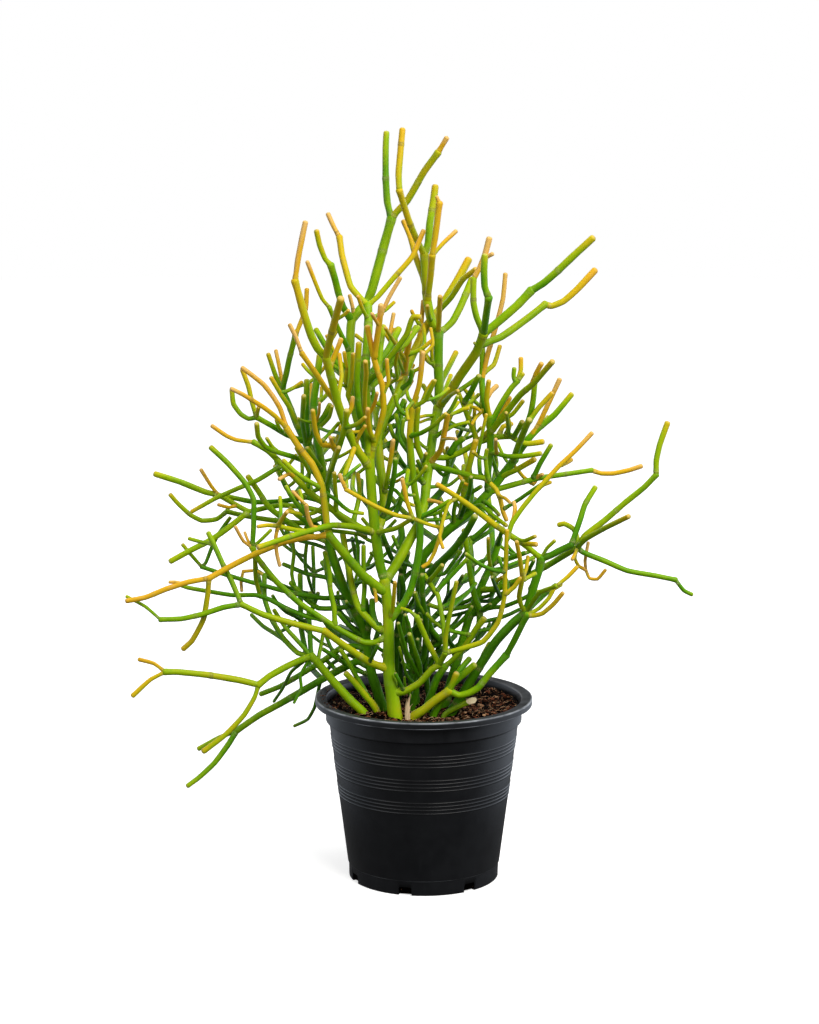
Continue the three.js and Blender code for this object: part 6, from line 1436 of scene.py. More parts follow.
def plastic():
    """Black moulded plastic: near black with a cold sheen, dusty on top of the rim, and with painted
    highlight lines, broken up in patches, along the rim's outer top edge, under the lip and at the step of
    the foot. Their places are in metres above the floor and from the pot's axis."""
    settings = bpy.context.scene.pot_settings
    finish = Finish("black_moulded_plastic", Specular_IOR_Level=0.42)
    high, out = finish.height(), finish.radius()
    rim = high.between(0.2345, 0.2366, smooth=True)
    cloud = finish.noise(9, 4)
    dust = finish.noise(55, 5)
    scuff = finish.noise(140, 3, stretch=(1, 1, 0.12)).between(0.62, 0.78)
    patchy = finish.noise(38, 3).between(0.34, 0.62)
    # Painted highlight: thin bands at the rim's outer top edge, under the lip and at the foot's step are
    # mixed, in patches, towards the pale edge colour.
    brink_highlight = rim * out.between(0.1372, 0.1392, smooth=True)
    lip = high.near(0.2290, 0.0009) * out.between(0.1380, 0.1392)
    step = high.near(0.0192, 0.0007) * 0.8
    highlit = ((brink_highlight * 0.9 + lip * 0.7 + step) * (patchy * 0.75 + 0.25)).held()
    film = (rim * 0.75 + high.between(0.206, 0.209) * 0.10 + 0.05) * dust.between(0.3, 0.72)
    film = film + scuff * 0.05 + cloud.between(0.45, 0.8) * 0.05
    body = finish.mix(film.held(), tuple(settings.colour), tuple(settings.dust))
    finish.set(Base_Color=finish.mix(highlit, body, tuple(settings.edge)))
    finish.set(Roughness=(cloud * 0.10 + dust * 0.10 + rim * 0.10 + 0.29).held())
    grain = finish.noise(1500, 2) * 0.5 + finish.noise(26, 2) * 3.0
    finish.bump(grain, 0.00008, 0.5)
    return finish.material


class EUPHORBIA_OT_pot(bpy.types.Operator):
    """Turns the nursery pot with its rolled rim and fine rings, and cuts the drainage notches"""
    bl_idname = "euphorbia.pot"
    bl_label = "Pot"

    def execute(self, context):
        profile = pot_profile(context.scene.pot_settings)
        points, quads, tris = turned(profile, POT_SIDES)
        piece = mesh_object("nursery_pot", points * MM, quads, tris)
        cutters = Bundle()
        block, sides, ends = notch_block()
        for k in range(NOTCH_COUNT):
            turn = turned_by(NOTCH_FIRST + k * 2 * math.pi / NOTCH_COUNT)
            cutters.add((block - (0, BASE_RADIUS_MM + NOTCH_PAST_MM, 0)) @ turn, sides, ends)
        cutter = cutters.object("notch_cutters")
        cut = piece.modifiers.new("notches", "BOOLEAN")
        cut.operation, cut.solver, cut.object = "DIFFERENCE", "EXACT", cutter
        depsgraph = context.evaluated_depsgraph_get()
        finished = bpy.data.meshes.new_from_object(piece.evaluated_get(depsgraph))
        if len(finished.polygons) < LEAST_LEFT * len(piece.data.polygons):
            raise RuntimeError("the notches took the pot's wall away")
        piece.modifiers.clear()
        piece.data = finished
        bpy.data.objects.remove(cutter)
        piece.data.materials.clear()
        dress(piece, plastic(), ["pot"])
        return {"FINISHED"}


# ------------------------------------------------------------------ the soil

SOIL_SIDES = 420
SOIL_RINGS = 140
SOIL_FOOT_MM = 2.3
SOIL_GAP_MM = 0.4
SOIL_TOP_GAP_MM = 0.3
LITTER_SEED = 77
FIBRE_TAPER = np.array([0.4, 1, 1, 1, 0.9, 0.3])
RIM_CRUMBS = 34
RIM_CRUMB_DEGREES = (158, 214)
RIM_CRUMB_RADII_MM = (127, 135)


def soil_level(x, y):
    """The soil's low hummocks, as the solid has them: a product of a sine and a cosine and half a sine."""
    hummocks = np.sin(x / 23 + 1.3) * np.cos(y / 19 - 0.4) + 0.5 * np.sin((x + y) / 11)
    return SOIL_LEVEL_MM + SOIL_RELIEF_MM * hummocks


def soil_surface(x, y, relief):
    """The height of the crumbly soil: its hummocks, smooth noise and three sizes of lumps. Also gives the
    random numbers of the two larger lumps."""
    large, own = crumbs(x, y, 7.5, 11)
    small, own_small = crumbs(x + 3, y, 3.6, 23)
    fine, _ = crumbs(x, y + 5, 1.9, 37)
    rise = 0.5 * swell(x, y, 13, 5) + 0.75 * large + 0.55 * small + 0.3 * fine - 0.8
    return soil_level(x, y) + relief * rise, own, own_small


def peat():
    """Coir peat: dark moist red-brown, lighter on the highest crumbs as drier peat, with painted shade in the
    hollows.
    """
    settings = bpy.context.scene.soil_settings
    dark, light, fibre = tuple(settings.dark), tuple(settings.light), tuple(settings.fibre)
    finish = Finish("coir_peat", Specular_IOR_Level=0.02)
    raised, own, fine = finish.attribute("raised"), finish.attribute("grain"), finish.noise(900, 4)
    # Painted shade: the lower a point lies among the crumbs, the nearer it comes to the dark colour, partly
    # moist peat and partly shade in the hollows.
    share = ((raised * 0.9 + own * 0.55 + fine * 0.5) * 2.3 - 2.85).held()
    body = finish.mix(share, dark, light)
    flecks = finish.cells(520, "Color")
    pale = finish.node("ShaderNodeSeparateColor", {0: flecks}).between(0.90, 0.95) * fine.between(0.45, 0.6)
    finish.set(Base_Color=finish.mix((pale * 0.55).held(), body, fibre))
    finish.set(Roughness=(fine * 0.3 + 0.55).held())
    finish.bump(finish.noise(1600, 3) + finish.noise(500, 2), 0.0006, 0.8)
    return finish.material


def husk():
    """Coir fibres and husk chips: each has its own tone between dark red-brown and pale straw."""
    settings = bpy.context.scene.soil_settings
    finish = Finish("coir_fibre", Specular_IOR_Level=0.15, Roughness=0.75)
    tone = finish.attribute("tone") + (finish.noise(700, 2) - 0.5) * 0.25
    stops = [(0.0, tuple(settings.dark)), (0.45, tuple(settings.light)), (0.8, tuple(settings.fibre)),
             (1.0, (0.62, 0.42, 0.25))]
    finish.set(Base_Color=finish.ramp(tone.held(), stops))
    return finish.material


class EUPHORBIA_OT_soil(bpy.types.Operator):
    """Fills the pot with crumbly coir peat"""
    bl_idname = "euphorbia.soil"
    bl_label = "Soil"

    def execute(self, context):
        relief = context.scene.soil_settings.relief / MM
        side = COLLAR_RADIUS_MM - WALL_MM - SOIL_TOP_GAP_MM
        flank = [[0, SOIL_FOOT_MM], [BASE_RADIUS_MM - WALL_MM - SOIL_GAP_MM, SOIL_FOOT_MM],
                 [SHOULDER_RADIUS_MM - WALL_MM - SOIL_GAP_MM, SHOULDER_FOOT_MM - 5],
                 [side, COLLAR_FOOT_MM + 1]]
        radii = np.append(np.linspace(side, side / SOIL_RINGS, SOIL_RINGS), 0)
        profile = np.vstack([flank, np.stack([radii, np.full(len(radii), SOIL_LEVEL_MM)], axis=1)])
        points, quads, tris = turned(profile, SOIL_SIDES)
        top = points[:, 2] == SOIL_LEVEL_MM
        x, y = points[:, 0], points[:, 1]
        height, own, own_small = soil_surface(x, y, relief)
        points[:, 2] = np.where(top, height, points[:, 2])
        # How high each point stands among the crumbs: the peat's colour uses it for painted shade in the
        # hollows.
        raised = np.clip((height - soil_level(x, y)) / relief * 0.6 + 0.45, 0, 1)
        values = dict(raised=np.where(top, raised, 0), grain=np.where(top, 0.6 * own + 0.4 * own_small, 0))
        piece = mesh_object("coir_soil", points * MM, quads, tris, values)
        dress(piece, peat(), ["soil"])
        return {"FINISHED"}


class EUPHORBIA_OT_litter(bpy.types.Operator):
    """Scatters coir fibres and chips of husk over the soil, and a few crumbs on the rim"""
    bl_idname = "euphorbia.litter"
    bl_label = "Fibres and chips"

    def execute(self, context):
        settings = context.scene.soil_settings
        relief = settings.relief / MM
        dice = np.random.default_rng(LITTER_SEED)
        reach = COLLAR_RADIUS_MM - WALL_MM - 5
        count = settings.fibres
        radius = reach * np.sqrt(dice.random(count))
        angle = dice.random(count) * 2 * math.pi
        heading, curl = dice.random(count) * 2 * math.pi, dice.normal(0, 0.35, count)
        length = dice.uniform(4, 14, count)
        share = np.linspace(-0.5, 0.5, len(FIBRE_TAPER))
        bearing = heading[:, None] + curl[:, None] * share
        step = length[:, None] / (len(FIBRE_TAPER) - 1)
        x = (radius * np.cos(angle))[:, None] + np.cumsum(np.cos(bearing) * step, axis=1)
        y = (radius * np.sin(angle))[:, None] + np.cumsum(np.sin(bearing) * step, axis=1)
        pull = np.minimum(1, reach / np.hypot(x, y))
        x, y = x * pull, y * pull
        arch = (dice.random(count) ** 3 * 3.5)[:, None] * (1 - (2 * share) ** 2)
        z = soil_surface(x, y, relief)[0] + 0.2 + arch
        fibres = Bundle()
        for k in range(count):
            line = np.stack([x[k], y[k], z[k]], axis=1)
            thick = dice.uniform(0.16, 0.36) * FIBRE_TAPER
            points, quads, tris = swept(line, np.repeat(thick[:, None], 4, axis=1), 4)
            fibres.add(points, quads, tris, tone=np.float64(np.clip(dice.normal(0.72, 0.22), 0.15, 1)))
        dress(fibres.object("coir_fibres"), husk())
        self.chips(settings, relief, dice, reach)
        return {"FINISHED"}

    def chips(self, settings, relief, dice, reach):
        """Chips and crumbs: a twenty-faced ball, stretched, turned and dented at random."""
        golden = (1 + math.sqrt(5)) / 2
        ball = unit(np.array([(0, a, b * golden) for a in (-1, 1) for b in (-1, 1)]
                             + [(a, b * golden, 0) for a in (-1, 1) for b in (-1, 1)]
                             + [(b * golden, 0, a) for a in (-1, 1) for b in (-1, 1)], float))
        gaps = np.linalg.norm(ball[:, None] - ball[None], axis=2)
        near = (gaps > 0.1) & (gaps < 1.1)
        faces = [(i, j, k) for i in range(12) for j in range(i) for k in range(j)
                 if near[i, j] and near[j, k] and near[i, k]]
        outward = [np.cross(ball[j] - ball[i], ball[k] - ball[i]) @ ball[i] > 0 for i, j, k in faces]
        faces = np.array([(i, j, k) if out else (i, k, j) for (i, j, k), out in zip(faces, outward)])
        lumps = Bundle()
        none = np.empty((0, 4), int)
        for k in range(settings.chips + RIM_CRUMBS):
            on_rim = k >= settings.chips
            size = dice.uniform(0.5, 1.1) if on_rim else dice.uniform(0.7, 1.9) * (1 + dice.random() ** 6)
            if on_rim:
                angle = math.radians(dice.uniform(*RIM_CRUMB_DEGREES))
                radius = dice.uniform(*RIM_CRUMB_RADII_MM)
            else:
                angle = dice.random() * 2 * math.pi
                radius = reach * math.sqrt(dice.random())
            x, y = radius * math.cos(angle), radius * math.sin(angle)
            if on_rim:
                z = POT_HEIGHT_MM - (MOUTH_RADIUS_MM + 8 - radius) * 0.1 * (radius < MOUTH_RADIUS_MM + 8)
            else:
                z = float(soil_surface(np.array([x]), np.array([y]), relief)[0][0])
            dented = ball * dice.uniform(0.75, 1.2, (12, 1))
            shape = dented * (dice.uniform(0.8, 1.7), 1, dice.uniform(0.35, 0.8))
            spin = turned_by(dice.random() * 2 * math.pi)
            tone = np.clip(dice.normal(0.34, 0.17) + (0.25 if dice.random() < 0.06 else 0), 0.03, 1)
            lumps.add(shape @ spin * size + (x, y, z + 0.3 * size), none, faces, tone=np.float64(tone))
        piece = lumps.object("husk_chips")
        piece.data.polygons.foreach_set("use_smooth", np.zeros(len(piece.data.polygons), bool))
        dress(piece, husk())


# ------------------------------------------------------------------ the stems

DOME = np.radians([20, 40, 58, 73, 84])
DOME_HEIGHT = 0.8
DOME_POWER = 0.72
BUD_ON_DOME = (0.15, 0.4, 0.7, 0.95, 1.0)
MORE_SIDES = ((12, 14), (7.5, 4), (0, 0))
JOINTS_APART_MM = 52
JOINTS_FURTHER_MM = 40
JOINT_WIDTH_MM = 1.7
JOINT_SWELLING = 0.08
FORK_SWELLING = 0.13
UNEVENNESS = 0.03
LOBES = 0.02


def host_radius(shoot):
    """The radius of the shoot that this one grows from, where it grows from it."""
    host = shoot["parent"]
    if host is None:
        return 0.0
    lengths = lengths_along(host["points"])
    k = min(int(shoot["place"]), len(lengths) - 2)
    at = lengths[k] + (lengths[k + 1] - lengths[k]) * (shoot["place"] - k)
    return (host["start"] + (host["end"] - host["start"]) * at / lengths[-1]) / 2


def at_tip(shoot):
    """Whether a shoot grows from its host's tip."""
    return shoot["parent"] is not None and shoot["place"] > len(shoot["parent"]["points"]) - 1.1


def shoot_line(shoot, settings):
    """The smooth curve through a shoot's points. That of a stem starts in the soil, and that of a shoot
    with a free tip ends early by the height of the dome that closes it."""
    points = shoot["points"]
    if shoot["parent"] is None:
        points = np.vstack([[points[0, 0], points[0, 1], SOIL_LEVEL_MM - ROOT_MM], points])
    line = curve_through(points, settings.step / MM, settings.kinks)
    if shoot["forks"]:
        return line
    along = lengths_along(line)
    last = along[-1] - DOME_HEIGHT * shoot["end"] / 2
    end = [np.interp(last, along, line[:, k]) for k in range(3)]
    return np.vstack([line[along < last - 0.3 * settings.step / MM], end])


def shoot_shape(shoot, settings):
    """A shoot as a tube along its curve. Its radius runs evenly from foot to tip, with a collar where it
    leaves its host, a neck behind it, a low swelling at each joint, a knob where it forks, a slow
    unevenness, two low lobes that turn along it, and a blunt dome at its tip whose radius falls as a power
    of the cosine. Gives its line, the lengths along it, the swellings, the sides and the tube."""
    number = shoot["index"]
    line = shoot_line(shoot, settings)
    along = lengths_along(line)
    whole = along[-1]
    radius = (shoot["start"] + (shoot["end"] - shoot["start"]) * along / whole) / 2
    host = host_radius(shoot)
    past = np.maximum(along - host, 0)
    spread = (0.55 if at_tip(shoot) else 0.9) * radius[0] if host else ROOT_MM + 12
    collar = np.exp(-((past / spread) ** 2))
    height, neck = (0.16, 0) if not host else (0.14, 0.09) if at_tip(shoot) else (0.28, 0.06)
    radius = radius * (1 + height * collar - neck * np.exp(-((past / 13) ** 2)))
    pace = JOINTS_APART_MM + JOINTS_FURTHER_MM * float(scattered(np.array(number), np.array(3), 1))
    joints = np.arange(pace * 0.8, whole - 14, pace)
    bands = np.exp(-(((along[:, None] - joints) / JOINT_WIDTH_MM) ** 2)).sum(axis=1)
    radius = radius * (1 + JOINT_SWELLING * bands)
    if shoot["forks"]:
        radius = radius * (1 + FORK_SWELLING * np.exp(-(((whole - along) / (0.5 * shoot["end"])) ** 2)))
    radius = radius * (1 + UNEVENNESS * swell(along, np.full_like(along, number * 3.7), 13, 9))
    if host:
        radius = np.where(along < host, np.minimum(radius, 0.92 * host), radius)
    ahead = unit(line[-1] - line[-2])
    blunt = radius[-1]
    line = np.vstack([line, line[-1] + ahead * (DOME_HEIGHT * blunt * np.sin(DOME))[:, None]])
    radius = np.concatenate([radius, blunt * np.cos(DOME) ** DOME_POWER])
    sides = settings.sides + next(more for least, more in MORE_SIDES if shoot["start"] >= least)
    phase = float(scattered(np.array(number), np.array(7), 2)) * 2 * math.pi
    lobes = 1 + LOBES * np.cos(2 * turns_of(sides)[None] + phase + np.arange(len(line))[:, None] * 0.08)
    return line, along, bands, sides, swept(line, radius[:, None] * lobes, sides)


def way_out(shoot, radius):
    """How far along itself a shoot comes out of its host: a little over the host's radius, divided by the
    sine of the angle between them where it grows from the host's side."""
    if shoot["parent"] is None or at_tip(shoot):
        return 1.1 * radius
    route, own = shoot["parent"]["points"], shoot["points"]
    k = min(int(shoot["place"]), len(route) - 2)
    sine = np.linalg.norm(np.cross(unit(route[k + 1] - route[k]), unit(own[1] - own[0])))
    return 1.05 * radius / max(sine, 0.35)


def shoot_values(shoot, line, along, bands, sides, points):
    """What the skin's material needs at every point: its tone, its scars, its bud, and a random number of
    the shoot. The tone is a little warmer on top, on one side that turns slowly, and near a free tip."""
    number = shoot["index"]
    own = float(scattered(np.array(number), np.array(1), 5))
    whole = along[-1]
    distance = np.concatenate([along, np.full(len(DOME), whole)])
    low, high = shoot["tones"]
    tone = low + (high - low) * (distance / whole) ** 1.2
    to_tip = np.maximum(whole - distance, 0)
    height = shoot["points"][-1][2]
    sunny = np.clip((height - 330) / 240, 0, 1)
    tone = tone + 0.12 * np.clip((height - 430) / 200, 0, 1) * np.clip(1 - tone / 0.5, 0, 1)
    if not shoot["forks"]:
        tone = tone + (0.10 + 0.14 * sunny) * np.exp(-to_tip / (8 + 10 * sunny)) * np.clip(1.25 - tone, 0, 1)
    tone = tone + 0.06 * (own - 0.5)
    tone = tone + 0.05 * swell(distance, np.full_like(distance, number * 5.3), 21, 13)
    host = host_radius(shoot)
    ring = np.exp(-(((distance - way_out(shoot, host) - 0.9) / 1.1) ** 2)) * (0.95 if host else 0)
    bands = np.concatenate([bands, np.zeros(len(DOME))])
    scar = np.maximum(ring, 0.6 * np.exp(-((1 - bands) / 0.35) ** 2) * (bands > 0.1))
    bud = np.zeros(len(distance))
    if shoot["forks"]:
        scar = np.maximum(scar, 0.45 * np.exp(-(((to_tip - 0.3 * shoot["end"]) / 1.3) ** 2)))
    else:
        bud[-len(DOME):] = BUD_ON_DOME
    middle = np.repeat(line, sides, axis=0)
    out = unit(points[:-2] - middle + 1e-9)
    turn = np.repeat(number * 2.4 + distance / 45, sides)
    beside = out[:, 0] * np.cos(turn) + out[:, 1] * np.sin(turn)
    tone = over_rings(tone, sides) + np.concatenate([0.045 * out[:, 2] + 0.07 * beside, [0, 0.04]])
    return dict(tone=tone, scar=over_rings(scar, sides), bud=over_rings(bud, sides),
                own=np.full(len(points), own))


def skin():
    """The stems' skin: a ramp from deep green over lime, gold and orange to peach by the tone of every
    point, with soft mottling, fine pale pores, pale scars at the joints and brown, dry buds."""
    settings = bpy.context.scene.plant_settings
    finish = Finish("stem_skin", Specular_IOR_Level=0.13)
    cloud = finish.noise(70, 3)
    streak = finish.noise(420, 3, stretch=(1, 1, 0.22))
    tone = finish.attribute("tone") + (cloud - 0.5) * 0.16 + (streak - 0.5) * 0.10
    stops = [(0.0, settings.deep_green), (0.3, settings.green), (0.52, settings.lime), (0.73, settings.gold),
             (0.88, settings.orange), (1.0, settings.peach)]
    body = finish.ramp(tone.held(), [(place, tuple(colour)) for place, colour in stops])
    pores = finish.cells(1150).between(0.10, 0.22, 1.0, 0.0)
    body = finish.mix((pores * 0.14).held(), body, (0.55, 0.66, 0.10))
    bruise = finish.noise(210, 4).between(0.70, 0.80) * finish.attribute("own").between(0.45, 0.8)
    body = finish.mix((bruise * 0.35).held(), body, (0.20, 0.16, 0.05))
    scar = finish.attribute("scar") * finish.noise(600, 3).between(0.38, 0.62)
    body = finish.mix((scar * 0.7).held(), body, (0.64, 0.62, 0.26))
    rim = finish.attribute("scar").between(0.12, 0.4) * finish.attribute("scar").between(0.4, 0.75, 1.0, 0.0)
    body = finish.mix((rim * cloud.between(0.4, 0.6) * 0.5).held(), body, (0.12, 0.09, 0.015))
    bud = finish.attribute("bud")
    body = finish.mix((bud * 0.55).held(), body, (0.86, 0.62, 0.30))
    speck = bud.between(0.3, 0.9) * finish.noise(1500, 2).between(0.52, 0.66)
    body = finish.mix((speck * 0.7).held(), body, (0.30, 0.12, 0.03))
    finish.set(Base_Color=body)
    finish.set(Roughness=(cloud * 0.12 + scar * 0.2 + bud * 0.25 + 0.30).held())
    finish.bump(streak * 0.6 + finish.noise(1500, 2) * 0.35 + scar * 0.8, 0.0003, 0.55)
    return finish.material


class EUPHORBIA_OT_stems(bpy.types.Operator):
    """Grows the stems with all their shoots, each stem as one piece"""
    bl_idname = "euphorbia.stems"
    bl_label = "Stems"

    def execute(self, context):
        settings = context.scene.plant_settings
        material = skin()
        bundles = [Bundle() for _ in STEMS]
        shoots = grow_crown()
        forked = {shoot["parent"]["index"] for shoot in shoots if at_tip(shoot)}
        for shoot in shoots:
            shoot["forks"] = shoot["index"] in forked
            line, along, bands, sides, tube = shoot_shape(shoot, settings)
            bundles[shoot["stem"]].add(*tube, **shoot_values(shoot, line, along, bands, sides, tube[0]))
        for (name, *_), bundle in zip(STEMS, bundles):
            dress(bundle.object(name + "_skin"), material, [name])
        return {"FINISHED"}


# ------------------------------------------------------------------ the cut stub and the dry sheath

STUB_ROUTE_MM = ((26, 211), (44, 223), (62, 231))
STUB_DEPTH_MM = -56
CUT_SLANT = 1.5
CUT_STEPS_MM = np.array([0.5, 0.9, 1.1, 1.2, 1.25])
CUT_RADII_MM = (4.1, 3.4, 2.4, 1.4, 0.5)
CUT_FACING = np.array((0.2, -0.85, 0.5))
SHEATH_ROUTE_MM = ((-20, 195), (-21, 212), (-20, 227), (-17, 240))
SHEATH_DEPTH_MM = -73


def callus():
    """The stub's skin: mid green with pale scars, and a beige, corky face where it was cut."""
    settings = bpy.context.scene.plant_settings
    finish = Finish("cut_stub_skin", Specular_IOR_Level=0.35)
    cloud = finish.noise(160, 3)
    body = finish.mix(cloud, tuple(settings.deep_green), tuple(settings.lime))
    cork = finish.mix(finish.noise(900, 3).between(0.45, 0.75), (0.98, 0.84, 0.55), (0.72, 0.46, 0.22))
    face = finish.attribute("cut").between(0.2, 0.8)
    finish.set(Base_Color=finish.mix(face.held(), body, cork))
    finish.set(Roughness=(face * 0.4 + cloud * 0.1 + 0.35).held())
    finish.bump(finish.noise(1200, 3) * (face + 0.3), 0.0006, 0.8)
    return finish.material


class EUPHORBIA_OT_stub(bpy.types.Operator):
    """Grows the short cut stub that leans out of the soil on the right"""
    bl_idname = "euphorbia.stub"
    bl_label = "Cut stub"

    def execute(self, context):
        points = np.array([sighted(across, up, STUB_DEPTH_MM) for across, up in STUB_ROUTE_MM])
        root = points[0] * (1, 1, 0) + (0, 0, SOIL_LEVEL_MM - ROOT_MM / 2)
        line = curve_through(np.vstack([root, points]), 1.6)
        share = shares_of(line)
        radius = 3.25 + 0.75 * share ** 3 + 0.35 * np.exp(-(((share - 0.93) / 0.05) ** 2))
        ahead = unit(line[-1] - line[-2])
        line = np.vstack([line, line[-1] + ahead * CUT_STEPS_MM[:, None]])
        radius = np.concatenate([radius, CUT_RADII_MM])
        face = np.ones(len(CUT_STEPS_MM))
        sides = 28
        turns = turns_of(sides)
        uneven = 1 + 0.05 * np.sin(3 * turns + 1) + 0.03 * np.sin(7 * turns)
        cut = np.concatenate([np.clip((share - 0.93) / 0.05, 0, 1), face])
        points, quads, tris = swept(line, radius[:, None] * uneven, sides)
        slant = np.concatenate([np.clip((share - 0.7) / 0.3, 0, 1) ** 2, face]) * CUT_SLANT
        middles = np.vstack([np.repeat(line, sides, axis=0), line[:1], line[-1:]])
        lean = over_rings(slant, sides)
        points = points - ahead * (lean * ((points - middles) @ CUT_FACING))[:, None]
        piece = mesh_object("cut_stub_skin", points * MM, quads, tris, dict(cut=over_rings(cut, sides)))
        dress(piece, callus(), ["stem_cut_stub"])
        return {"FINISHED"}


def straw():
    """Dry, papery tissue: straw with lengthwise veins, browner at the foot and at the torn tip."""
    dry = tuple(bpy.context.scene.plant_settings.dry)
    finish = Finish("dry_sheath_skin", Specular_IOR_Level=0.25, Roughness=0.8)
    veins = finish.noise(1400, 3, stretch=(1, 1, 0.08))
    body = finish.mix(veins.between(0.45, 0.8), dry, (0.50, 0.31, 0.14))
    tip = finish.attribute("torn") * finish.noise(500, 3).between(0.3, 0.6)
    finish.set(Base_Color=finish.mix(tip.held(), body, (0.22, 0.10, 0.035)))
    finish.bump(veins, 0.0008, 0.8)
    return finish.material


class EUPHORBIA_OT_sheath(bpy.types.Operator):
    """Sets the dead, straw-coloured sheath beside the trunk"""
    bl_idname = "euphorbia.sheath"
    bl_label = "Dry sheath"

    def execute(self, context):
        blades = Bundle()
        route = np.array([sighted(across, up, SHEATH_DEPTH_MM) for across, up in SHEATH_ROUTE_MM])
        self.blade(blades, route, (3.6, 3.6, 2.9, 1.5, 0.35), 1.0, 0.0)
        left = route + np.array([(-1, 1, 0), (-1.5, 1.5, 0), (-2.8, 1.4, -2), (-4.2, 1.2, -7)])
        self.blade(blades, left, (2.2, 2.2, 1.7, 0.9, 0.2), 0.7, 0.5)
        right = route + np.array([(1, 0.6, 0), (1.5, 0.6, 0), (2.2, 0.4, -5), (2.4, 0, -13)])
        self.blade(blades, right, (1.8, 1.9, 1.5, 0.8, 0.2), 0.6, 0.2)
        dress(blades.object("dry_sheath_skin"), straw(), ["dry_sheath"])
        return {"FINISHED"}

    def blade(self, blades, route, widths, thick, phase):
        """A thin blade: a closed flat section, cupped as the square of its width and grooved by a sine,
        carried up a smooth line while it narrows to a torn point."""
        line = curve_through(route, 1.0)
        share = shares_of(line)
        half = np.interp(share, np.linspace(0, 1, len(widths)), widths)
        half = half * (1 + 0.10 * swell(share * 40, share * 0 + phase * 9, 3.0, 3))
        sides = 26
        wide, deep = np.cos(turns_of(sides)), np.sin(turns_of(sides))
        x = half[:, None] * wide
        grooves = 0.16 * np.sin(x * 4.2 + phase * 7)
        flat = 0.5 * thick * deep * (0.35 + 0.65 * (1 - share[:, None]))
        y = flat + 0.22 * x ** 2 / 3.6 + grooves * np.sign(deep)
        rings = line[:, None] + np.stack([x, y, 0 * x], axis=-1)
        points = np.vstack([rings.reshape(-1, 3), line[:1], line[-1:]])
        torn = np.clip((share - 0.72) / 0.28, 0, 1) * 0.8 + np.clip((0.5 - share) / 0.4, 0, 1) * 0.3
        ends = closed(len(line) * sides, sides)
        blades.add(points, belt(len(line), sides), ends, torn=over_rings(torn, sides))


# ------------------------------------------------------------------ the stage

CAMERA_DOWN_DEGREES = 10.05
AIR_GLOW = 0.095
CARD_GLOW = 0.72
CARD_INNER, CARD_OUTER = 0.34, 1.5
CARD_FRONT, CARD_BACK = -0.35, 1.3
ROOM_RADIUS = 9
FLOOR_DROP = 0.0002


def lamp(name, place, aim, size, power, colour=(1, 1, 1), sheen=False):
    """A soft square lamp at a place, turned towards a point. A sheen lamp shows in reflections only."""
    light = bpy.data.lights.new(name, "AREA")
    light.shape, light.size, light.energy, light.color = "SQUARE", size, power, colour
    holder = bpy.data.objects.new(name, light)
    bpy.context.scene.collection.objects.link(holder)
    holder.location = place
    holder.rotation_euler = (Vector(aim) - Vector(place)).to_track_quat("-Z", "Y").to_euler()
    holder.visible_diffuse = not sheen


def card(name, side, glow, colour):
    """A glowing card that lies on the floor beside the pot and shows in reflections only."""
    inner, outer = CARD_INNER * side, CARD_OUTER * side
    points = np.array([(inner, CARD_FRONT + 0.3, 0), (outer, CARD_FRONT - 0.5, 0), (outer, CARD_BACK, 0),
                       (inner, CARD_BACK, 0)])
    quads = np.array([(0, 1, 2, 3) if side > 0 else (3, 2, 1, 0)])
    piece = mesh_object(name, points + (0, 0, 0.001), quads)
    finish = Finish("glowing_card", Base_Color=(0, 0, 0, 1), Emission_Color=(*colour, 1),
                    Emission_Strength=glow)
    piece.data.materials.append(finish.material)
    piece.visible_camera = piece.visible_diffuse = piece.visible_shadow = piece.visible_transmission = False


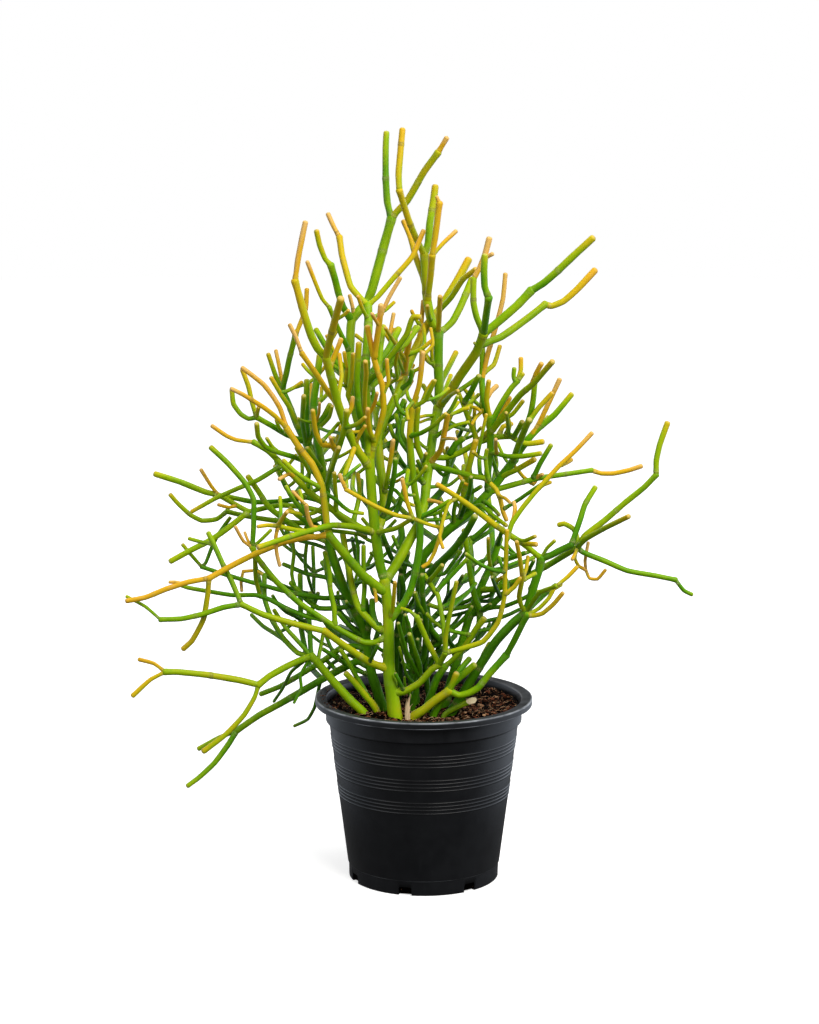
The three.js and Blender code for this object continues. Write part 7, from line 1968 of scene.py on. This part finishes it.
class EUPHORBIA_OT_stage(bpy.types.Operator):
    """Sets the pale floor and backdrop, the soft lamps and the camera"""
    bl_idname = "euphorbia.stage"
    bl_label = "Stage"

    def execute(self, context):
        settings = context.scene.stage_settings
        self.sweep(settings)
        self.lamps(settings)
        world = bpy.data.worlds.new("studio_air")
        world.use_nodes = True
        air = world.node_tree.nodes["Background"].inputs
        air["Color"].default_value = (1, 1, 1, 1)
        air["Strength"].default_value = AIR_GLOW * settings.light
        context.scene.world = world
        context.scene.view_settings.view_transform = "Standard"
        lens = bpy.data.cameras.new("camera")
        lens.sensor_fit, lens.sensor_height, lens.lens = "VERTICAL", 36, settings.lens
        lens.clip_end = 50
        camera = bpy.data.objects.new("camera", lens)
        camera.location = (EYE_ACROSS_MM * MM, -EYE_BACK_MM * MM, EYE_UP_MM * MM)
        camera.rotation_euler = (math.radians(90 - CAMERA_DOWN_DEGREES), 0, 0)
        context.scene.collection.objects.link(camera)
        context.scene.camera = camera
        return {"FINISHED"}

    def sweep(self, settings):
        """The floor is a flat disc, whiter far off. The backdrop is a wall on a circle, far behind whatever
        side is looked at. It only shows: it lights nothing and casts no shadow."""
        sides = 96
        turns = turns_of(sides)
        circle = np.stack([np.cos(turns), np.sin(turns), 0 * turns], axis=1) * ROOM_RADIUS
        floor = mesh_object("floor", np.vstack([circle, [[0, 0, 0]]]) - (0, 0, FLOOR_DROP),
                            np.empty((0, 4), int), fan(sides, 0, sides, False))
        paper = Finish("pale_paper", Base_Color=(*settings.floor, 1), Roughness=0.9, Specular_IOR_Level=0.1,
                       Emission_Strength=1.0)
        paper.set(Emission_Color=paper.mix(paper.radius().between(0.9, 2.6), (0.66, 0.66, 0.66), (1, 1, 1)))
        paper.material.cycles.emission_sampling = "NONE"
        floor.data.materials.append(paper.material)
        floor.visible_diffuse = floor.visible_glossy = False
        low, high = circle - (0, 0, 1), circle + (0, 0, ROOM_RADIUS)
        wall = mesh_object("backdrop", np.vstack([low, high]), belt(2, sides))
        white = Finish("white_wall", Base_Color=(0, 0, 0, 1), Specular_IOR_Level=0.0,
                       Emission_Color=(1, 1, 1, 1), Emission_Strength=1.0)
        white.material.cycles.emission_sampling = "NONE"
        wall.data.materials.append(white.material)
        wall.visible_diffuse = wall.visible_glossy = wall.visible_shadow = wall.visible_transmission = False

    def lamps(self, settings):
        """Watts, at a light of 1: a warm key, a fill, a top light, a back light for the far sides, and cold
        sheen lamps and cards that draw bright bands on the pot."""
        power = settings.light
        lamp("key", (1.5, -2.0, 2.7), (0, 0, 0.5), 2.4, 118 * power, (1.0, 0.98, 0.94))
        lamp("fill", (-2.2, -2.0, 1.2), (0, 0, 0.45), 2.0, 18 * power)
        lamp("top", (0.1, 0.2, 3.0), (0, 0, 0.4), 1.0, 22 * power)
        lamp("back", (-1.4, 2.4, 1.9), (0, 0, 0.5), 2.4, 22 * power)
        cold = (0.80, 0.88, 1.0)
        for side, strength in ((-1, 0.65), (1, 1)):
            for name, place, watts in (("sheen_beside", (side * 2.2, -0.3, 0.6), 16),
                                       ("sheen_behind", (side * 1.9, 1.6, 0.6), 30)):
                lamp(name, place, (0, 0, 0.2), 2.0, watts * strength * power, cold, sheen=True)
            card("card_" + ("left" if side < 0 else "right"), side, CARD_GLOW * strength * power, cold)


# ------------------------------------------------------------------ the add-on

OPERATORS = (EUPHORBIA_OT_pot, EUPHORBIA_OT_soil, EUPHORBIA_OT_litter, EUPHORBIA_OT_stems, EUPHORBIA_OT_stub,
             EUPHORBIA_OT_sheath, EUPHORBIA_OT_stage)


class EUPHORBIA_PT_panel(bpy.types.Panel):
    """Lists the pieces of the potted plant and what can be changed on them"""
    bl_label = "Potted euphorbia"
    bl_idname = "EUPHORBIA_PT_panel"
    bl_space_type = "VIEW_3D"
    bl_region_type = "UI"
    bl_category = "Euphorbia"

    def draw(self, context):
        for group in SETTINGS:
            box = self.layout.box()
            settings = getattr(context.scene, group)
            for name in settings.bl_rna.properties.keys():
                if name not in ("rna_type", "name"):
                    box.prop(settings, name)
        for operator in OPERATORS:
            self.layout.operator(operator.bl_idname)


SETTINGS = {
    "pot_settings": PotSettings,
    "soil_settings": SoilSettings,
    "plant_settings": PlantSettings,
    "stage_settings": StageSettings,
}


def register():
    """Registers every class and gives the scene its settings."""
    for each in (*SETTINGS.values(), *OPERATORS, EUPHORBIA_PT_panel):
        bpy.utils.register_class(each)
    for name, group in SETTINGS.items():
        setattr(bpy.types.Scene, name, PointerProperty(type=group))


def unregister():
    """Takes back all that register does."""
    for name in SETTINGS:
        delattr(bpy.types.Scene, name)
    for each in reversed((*SETTINGS.values(), *OPERATORS, EUPHORBIA_PT_panel)):
        bpy.utils.unregister_class(each)


def main():
    """Builds the plant and its stage."""
    register()
    bpy.ops.euphorbia.pot()
    bpy.ops.euphorbia.soil()
    bpy.ops.euphorbia.litter()
    bpy.ops.euphorbia.stems()
    bpy.ops.euphorbia.stub()
    bpy.ops.euphorbia.sheath()
    bpy.ops.euphorbia.stage()


if __name__ == "__main__":
    main()
